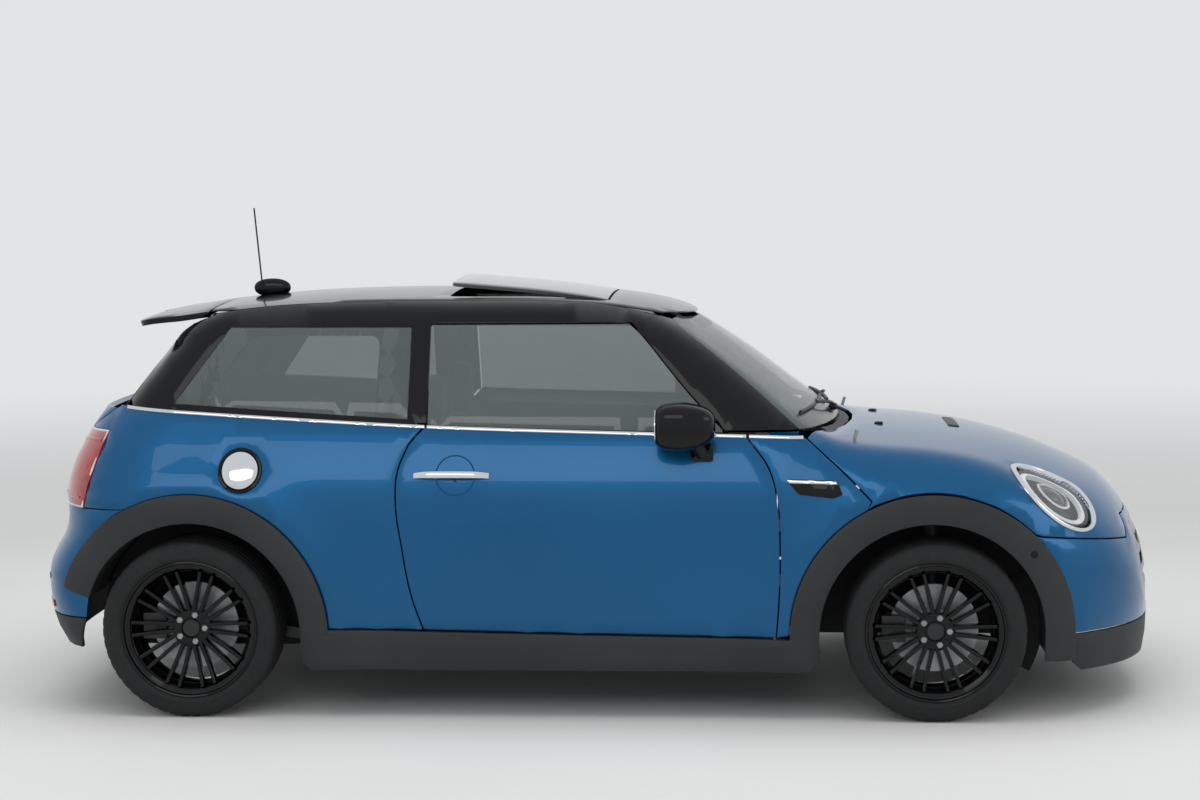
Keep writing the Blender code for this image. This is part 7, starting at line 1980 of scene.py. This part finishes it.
# %% Washer jets and bonnet slot
for number, y in enumerate((-0.24, 0.24)):
    spot, way = LOWER_TOP(np.array([(0.985, y)]))
    keep(superform(f"washer_jet_{number}", spot[0] + way[0] * 0.003, (0.016, 0.011, 0.005), 2.4,
                   DARK_PLASTIC, rows=10, count=20), "bonnet_lid", "trim")
slot_loop = rounded([(1.235, -0.150), (1.275, -0.150), (1.275, 0.150), (1.235, 0.150)], 0.012)
keep(panel("bonnet_slot", slot_loop, LOWER_TOP, DARK_PLASTIC, outer=-0.004, inner=0.001, step=0.03,
           roll=0.003), "bonnet_lid", "trim")
print("pieces:", len(made_pieces))

# %% [markdown]
# Splash shields are thin moulded sheets. They also stop daylight that would show through
# the arches and the grille.

# %% Screens behind the grille and inside the front arches
keep(sheet("grille_backing", inset(nose_point_loop(GRILLE_HALF), 0.004), NOSE, 0.022, 0.024,
           DARK_PLASTIC), BODY, "trim")
shield = [*arch(FRONT_ARCH, ARCH_INNER_RADIUS + LINER_SET, LINER_FROM, 180 - LINER_FROM)]
pair(prism("arch_shield_right", shield, -0.462, -0.458, UNDERSEAL), BODY, "trim")
cover = [*arch(REAR_ARCH, ARCH_INNER_RADIUS + LINER_SET, -14, 194)]
pair(prism("rear_arch_shield_right", cover, -0.552, -0.548, UNDERSEAL), BODY, "trim")
FLAP_ANGLES = (-28, 25)
flap = [*arch(FRONT_ARCH, ARCH_INNER_RADIUS + 0.03, *FLAP_ANGLES),
        *arch(FRONT_ARCH, 0.27, *FLAP_ANGLES)[::-1]]
pair(prism("arch_flap_right", flap, -0.470, -0.466, UNDERSEAL), BODY, "trim")
print("pieces:", len(made_pieces))

# %% [markdown]
# A rubber fin with a thin whip: a rounded box and a tube along the stated line.

# %% Aerial
WHIP_RADIUS = 0.003
WHIP = [(-1.258, 0.0, 1.425), (-1.283, 0.0, 1.708)]
keep(superform("aerial_fin", (-1.220, 0, 1.416), (0.068, 0.022, 0.034), 2.2, BLACK_PAINT, rows=16,
               count=32), BODY, "black_paint", "antenna")
keep(tube("aerial_whip", WHIP, WHIP_RADIUS, 12, DARK_PLASTIC), BODY, "black_paint")
print("pieces:", len(made_pieces))

# %% [markdown]
# ## Wheels
# Black alloy rims with ten twin spokes, a brake disc behind, and low tyres with four
# grooves round the tread. Everything turned is one profile swept round the axle.

# %% Wheels
SPOKE_PAIRS = 10


def turned(name, profile, sides, look):
    """A closed profile of (radius, y) turned round the Y axis, flat side down."""
    count = len(profile)
    outward = 1 / math.cos(math.pi / sides)
    points = []
    for k in range(sides):
        a = 2 * math.pi * (k + 0.5) / sides - math.pi / 2
        points += [(r * outward * math.cos(a), y, r * outward * math.sin(a)) for r, y in profile]
    faces = [(k * count + j, k * count + (j + 1) % count,
              (k + 1) % sides * count + (j + 1) % count, (k + 1) % sides * count + j)
             for k in range(sides) for j in range(count)]
    return mesh_object(name, points, faces, look)


WHEEL_FINE = 96
RIM_SHAPE = [(0.232, 0.094), (0.2315, 0.0955), (0.228, 0.097), (0.224, 0.0955), (0.221, 0.088),
             (0.206, 0.080), (0.199, 0.045), (0.196, -0.040), (0.212, -0.087), (0.232, -0.094),
             (0.224, -0.096), (0.204, -0.080), (0.190, -0.035), (0.190, 0.045), (0.204, 0.072)]
TYRE_SHAPE = [(0.2167, 0.0860), (0.2327, 0.0930), (0.238, 0.0985), (0.244, 0.1005),
              (0.246, 0.1015), (0.249, 0.1010), (0.262, 0.1015), (0.276, 0.0990), (0.288, 0.0940),
              (0.2945, 0.0880), (0.2985, 0.0800), (0.2992, 0.062), (0.2995, 0.058),
              (0.293, 0.0575), (0.293, 0.0505), (0.2997, 0.050), (0.3, 0.022), (0.293, 0.0215),
              (0.293, 0.0145), (0.3, 0.014)]
TYRE_SHAPE = [*TYRE_SHAPE, *[(r, -y) for r, y in TYRE_SHAPE[::-1]]]
SPOKE_PROFILE = [(0.050, 0.060), (0.075, 0.062), (0.110, 0.066), (0.150, 0.074), (0.180, 0.082),
                 (0.199, 0.088), (0.199, 0.062), (0.150, 0.044), (0.110, 0.038), (0.050, 0.034)]

# %% [markdown]
# A cast spoke has a soft edge. Its side profile is given width and bevelled, which keeps
# the highlights that a bare prism would lack.

# %% One spoke
def fine_spoke(angle, side):
    """A spoke as a side profile given width, leaning out towards the rim."""
    points, faces = [], []
    count = len(SPOKE_PROFILE)
    for edge in (-1, 1):
        for radius, out in SPOKE_PROFILE:
            share = (radius - 0.050) / 0.149
            middle = side * (0.011 + 0.011 * share)
            half = 0.0062 - 0.0006 * share if out > 0.05 or radius > 0.19 else 0.0085
            across = middle + edge * half
            points.append((radius * math.cos(angle) - across * math.sin(angle), out,
                           radius * math.sin(angle) + across * math.cos(angle)))
    faces = [tuple(range(count)), tuple(range(2 * count - 1, count - 1, -1))]
    faces += [(k, (k + 1) % count, (k + 1) % count + count, k + count) for k in range(count)]
    made = mesh_object("spoke", points, faces, BLACK_PAINT)
    work = bmesh.new()
    work.from_mesh(made.data)
    bmesh.ops.bevel(work, geom=work.edges[:], offset=0.0016, segments=2, profile=0.5,
                    affect="EDGES")
    work.to_mesh(made.data)
    work.free()
    return made

# %% [markdown]
# Rim, hub, cap and disc are turned shapes; spokes and bolts are set round them.

# %% One wheel
def make_fine_wheel():
    parts = [turned("rim", RIM_SHAPE, WHEEL_FINE, BLACK_PAINT)]
    parts += [fine_spoke(2 * math.pi * k / SPOKE_PAIRS, side)
              for k in range(SPOKE_PAIRS) for side in (-1, 1)]
    parts.append(turned("hub", [(0, 0.030), (0.066, 0.030), (0.066, 0.056), (0.060, 0.062),
                                (0.034, 0.060), (0.032, 0.055), (0, 0.055)], 60, BLACK_PAINT))
    parts.append(turned("cap", [(0, 0.052), (0.030, 0.052), (0.030, 0.061), (0.027, 0.064),
                                (0, 0.065)], 48, DARK_PLASTIC))
    parts.append(turned("disc", [(0, -0.030), (0.147, -0.030), (0.147, -0.008), (0.074, -0.008),
                                 (0.070, 0.030), (0, 0.030)], 72, STEEL))
    for k in range(5):
        a = 2 * math.pi * (k + 0.5) / 5
        bolt = turned("bolt", [(0, 0.050), (0.010, 0.050), (0.010, 0.067), (0.008, 0.069),
                               (0, 0.069)], 6, STEEL)
        bolt.data.transform(Matrix.Translation((0.047 * math.cos(a), 0, 0.047 * math.sin(a))))
        parts.append(bolt)
    return joined("rim_fine", parts)

# %% [markdown]
# The same wheel and tyre go to all four corners, turned round for the right side.

# %% Four wheels
rim_source = make_fine_wheel()
tyre_source = turned("tyre_fine", TYRE_SHAPE, WHEEL_FINE * 2, TYRE_RUBBER)
for number, vertex in enumerate(tyre_source.data.vertices):
    ring = number // len(TYRE_SHAPE)
    outward = math.hypot(vertex.co.x, vertex.co.z)
    if ring % 4 == 0 and outward > 0.2935 and abs(vertex.co.y) > 0.030:
        vertex.co.x *= 1 - 0.002 / outward
        vertex.co.z *= 1 - 0.002 / outward
for end in ("front", "rear"):
    for word, side in (("left", 1), ("right", -1)):
        low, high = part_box(f"tyre_{end}_{word}")
        centre = (low + high) / 2
        for source, kind, slot in ((rim_source, "rim", "black_paint"),
                                   (tyre_source, "tyre", "tyre")):
            made = bpy.data.objects.new(f"{kind}_fine_{end}_{word}", source.data.copy())
            bpy.context.scene.collection.objects.link(made)
            if side < 0:
                made.data.transform(Matrix.Rotation(math.pi, 4, "Z"))
            made.data.transform(Matrix.Translation(centre))
            keep(made, f"{end}_{word}_wheel", slot, f"{kind}_{end}_{word}")
bpy.data.objects.remove(rim_source)
bpy.data.objects.remove(tyre_source)
print("wheels done:", len(made_pieces))

# %% [markdown]
# ## Inside
# Seats are foam under cloth: each block is rounded by a voxel remesh and smoothing, and
# the sewn channels are pressed in afterwards.

# %% Seats
def settled(made):
    """The object with its modifiers turned into plain mesh."""
    graph = bpy.context.evaluated_depsgraph_get()
    mesh = bpy.data.meshes.new_from_object(made.evaluated_get(graph))
    made.modifiers.clear()
    made.data = mesh
    return made


SEAT_Y = (0.130, 0.600)
SEAT_BASE = [(0.020, 0.2003), (-0.360, 0.2003), (-0.360, 0.290), (0.020, 0.290)]
CUSHION = [(0.080, 0.285), (0.100, 0.400), (-0.330, 0.370), (-0.440, 0.620), (-0.520, 0.930),
           (-0.600, 0.940), (-0.590, 0.700), (-0.500, 0.400), (-0.430, 0.285)]
HEADREST = [(-0.545, 0.925), (-0.530, 1.110), (-0.610, 1.120), (-0.620, 0.930)]
HEADREST_HALF = 0.120
REAR_SEAT = [(-0.660, 0.3003), (-0.620, 0.460), (-1.010, 0.430), (-1.130, 0.960), (-1.210, 0.960),
             (-1.120, 0.430), (-1.056, 0.3003)]
REAR_SEAT_HALF = 0.540


def padded_form(name, outline, low, high, look, voxel=0.014, rounds=14, channels=()):
    block_form = prism(name, outline, low, high, look)
    for kind, settings in (("REMESH", {"mode": "VOXEL", "voxel_size": voxel}),
                           ("SMOOTH", {"factor": 0.6, "iterations": rounds})):
        change = block_form.modifiers.new(kind.lower(), kind)
        for key, value in settings.items():
            setattr(change, key, value)
    made = settled(block_form)
    for channel in channels:
        for vertex in made.data.vertices:
            away = (vertex.co.y - channel) / 0.012
            vertex.co -= vertex.normal * 0.007 * math.exp(-away * away)
    if not made.data.materials:
        made.data.materials.append(look)
    return made


for word, side in (("left", 1), ("right", -1)):
    low, high = sorted((SEAT_Y[0] * side, SEAT_Y[1] * side))
    middle = (low + high) / 2
    seat = padded_form(f"seat_pad_{word}", CUSHION, low, high, CLOTH,
                       channels=(middle - 0.12, middle + 0.12))
    keep(seat, BODY, "cloth", f"front_seat_{word}")
    rest = padded_form(f"headrest_pad_{word}", HEADREST, middle - HEADREST_HALF,
                       middle + HEADREST_HALF, CLOTH, rounds=10)
    keep(rest, BODY, "cloth")
    keep(prism(f"seat_mount_{word}", SEAT_BASE, low + FLANGE, high - FLANGE, DARK_PLASTIC),
         BODY, "trim")
bench = padded_form("rear_bench_pad", REAR_SEAT, -REAR_SEAT_HALF, REAR_SEAT_HALF, CLOTH,
                    channels=(-0.30, 0.0, 0.30))
keep(bench, BODY, "cloth", "rear_seat")
print("pieces:", len(made_pieces))

# %% [markdown]
# The dashboard is a padded moulding over a steel tube, and the wheel's rim is a tube. A
# rounded block and a turned ring are enough behind glass.

# %% Dashboard and steering wheel
DASH = [(0.460, 0.700), (0.440, 0.860), (0.560, 0.930), (0.610, 0.910), (0.610, 0.700)]
DASH_HALF = 0.650
COLUMN_TILT = 25
COLUMN_RADIUS = 0.022
WHEEL_CENTRE = Vector((0.310, -0.365, 0.830))
COLUMN_LENGTH = 0.090
STEERING_RADIUS = 0.175
STEERING_GRIP = 0.015
COLUMN_WAY = Vector((-math.cos(math.radians(COLUMN_TILT)), 0, math.sin(math.radians(COLUMN_TILT))))
dash = padded_form("dash_top", DASH, -DASH_HALF, DASH_HALF, DARK_PLASTIC, rounds=6)
keep(dash, BODY, "trim", "dashboard")
grip = [(STEERING_RADIUS + STEERING_GRIP * math.cos(a), STEERING_GRIP * math.sin(a))
        for a in (math.radians(k) for k in range(0, 360, 24))]
hub = [(0, -STEERING_GRIP), (0.045, -STEERING_GRIP), (0.058, -0.008), (0.060, 0.004),
       (COLUMN_RADIUS, COLUMN_LENGTH), (0, COLUMN_LENGTH)]
steer = joined("steering_fine", [
    turned("grip", grip, 72, DARK_PLASTIC), turned("boss", hub, 40, DARK_PLASTIC),
    block("arms", (-STEERING_RADIUS, -STEERING_GRIP / 2, -STEERING_GRIP),
          (STEERING_RADIUS, STEERING_GRIP / 2, STEERING_GRIP), DARK_PLASTIC),
    block("leg", (-STEERING_GRIP, -STEERING_GRIP / 2, -STEERING_RADIUS),
          (STEERING_GRIP, STEERING_GRIP / 2, 0), DARK_PLASTIC)])
turn = Vector((0, -1, 0)).rotation_difference(COLUMN_WAY).to_matrix().to_4x4()
steer.data.transform(Matrix.Translation(WHEEL_CENTRE) @ turn)
keep(steer, "steering", "trim", "steering_wheel")
print("pieces:", len(made_pieces))

# %% [markdown]
# ## Parts that keep their solids
# Floor, engine, subframe, axle, knuckles, exhaust and scuttle already have the
# right shape. They only need their finish.

# %% Finishes on the solids that stay
KEPT = {"floor_pan": UNDERSEAL, "engine": CAST, "front_subframe": UNDERSEAL,
        "rear_axle": CAST, "knuckle_left": CAST, "knuckle_right": CAST, "exhaust": STEEL,
        "scuttle": PLASTIC}
for name, look in KEPT.items():
    solid = frame["nodes"][name]
    for material_slot in solid.material_slots:
        material_slot.material = look

# %% [markdown]
# ## Studio
# A plain pale floor and a soft room: one wide lamp overhead and one from the camera's
# side. The world looks pale to the camera and in reflections, and dimmer as a light.

# %% Floor
scene = bpy.context.scene
scene.view_settings.view_transform = "Standard"
FLOOR_LOOK, tree, shader, place = surface("pale_studio_floor", {"Roughness": 0.7})
tint(tree, place, shader, 2500, "#E2E2E0", "#E9E9E7")
# Past the shadow the floor fades into the background, by its distance from the car.
away = node(tree, "ShaderNodeVectorMath", {}, {0: place}, operation="LENGTH")
far = node(tree, "ShaderNodeMapRange", {"From Min": 3.0, "From Max": 14.0},
           {"Value": away.outputs["Value"]}, interpolation_type="SMOOTHSTEP")
glow = node(tree, "ShaderNodeEmission", {"Color": linear("#F4F6F8"), "Strength": 0.84})
blend = node(tree, "ShaderNodeMixShader", {}, {0: far.outputs["Result"],
                                               1: shader.outputs["BSDF"],
                                               2: glow.outputs["Emission"]})
tree.links.new(blend.outputs["Shader"], tree.nodes["Material Output"].inputs["Surface"])
FLOOR_HALF = 200
floor = mesh_object("studio_floor", [(x * FLOOR_HALF, y * FLOOR_HALF, 0) for x, y in
                                     ((-1, -1), (1, -1), (1, 1), (-1, 1))],
                    [(0, 1, 2, 3)], FLOOR_LOOK)

# %% [markdown]
# Large lamps give soft shadows, as big white boxes do in a studio. The overhead one is
# hidden from reflections, or it would print a hard patch on the roof.

# %% Lamps
def softbox(name, place_at, aim, size, power):
    data = bpy.data.lights.new(name, "AREA")
    data.shape = "RECTANGLE"
    data.size, data.size_y = size
    data.energy = power
    made = bpy.data.objects.new(name, data)
    scene.collection.objects.link(made)
    made.location = place_at
    made.rotation_euler = (Vector(aim) - Vector(place_at)).to_track_quat("-Z", "Y").to_euler()
    return made


softbox("lamp_overhead", (0, -0.5, 5.0), (0, 0, 0), (7.0, 4.0), 150).visible_glossy = False
softbox("lamp_side", (-1.5, -7.5, 4.2), (0, 0, 0.6), (6.0, 2.2), 70)
softbox("lamp_front", (6.5, -3.0, 3.2), (0.5, 0, 0.7), (3.0, 2.0), 30)

# %% [markdown]
# The room itself: pale where it is seen or mirrored, dimmer where it lights.

# %% World
world = bpy.data.worlds.new("studio_room")
scene.world = world
world.use_nodes = True
tree = world.node_tree
back = tree.nodes["Background"]
rays = node(tree, "ShaderNodeLightPath")
shown = node(tree, "ShaderNodeMath", {}, {0: rays.outputs["Is Camera Ray"],
                                          1: rays.outputs["Is Glossy Ray"]}, operation="MAXIMUM")
shown = node(tree, "ShaderNodeMath", {}, {0: shown.outputs[0],
                                          1: rays.outputs["Is Transmission Ray"]},
             operation="MAXIMUM")
strength = node(tree, "ShaderNodeMapRange", {"To Min": 0.62, "To Max": 0.84},
                {"Value": shown.outputs[0]})
back.inputs["Color"].default_value = linear("#F4F6F8")
tree.links.new(strength.outputs["Result"], back.inputs["Strength"])

# %% [markdown]
# The camera stands where the photographer stood, solved from the wheels and roof.

# %% Camera
YAW, PITCH, ROLL = 0.072, 0.0899, -0.0089
CAMERA_AT = (0.585, -8.3387, 1.7512)
FOCAL_PIXELS, PHOTO_WIDTH = 2295, 1200
ahead = Vector((-math.sin(YAW) * math.cos(PITCH), math.cos(YAW) * math.cos(PITCH),
                -math.sin(PITCH)))
across = Vector((math.cos(YAW), math.sin(YAW), 0))
above = across.cross(ahead)
c, s = math.cos(ROLL), math.sin(ROLL)
right, up = c * across + s * above, -s * across + c * above
camera_data = bpy.data.cameras.new("photo_camera")
camera_data.sensor_width = 36.0
camera_data.lens = FOCAL_PIXELS / PHOTO_WIDTH * camera_data.sensor_width
camera = bpy.data.objects.new("photo_camera", camera_data)
scene.collection.objects.link(camera)
turned_to = Matrix((right, up, -ahead)).transposed().to_4x4()
camera.matrix_world = Matrix.Translation(CAMERA_AT) @ turned_to
scene.camera = camera

# %% [markdown]
# The number of finished pieces is printed.

print("pieces:", len(made_pieces))
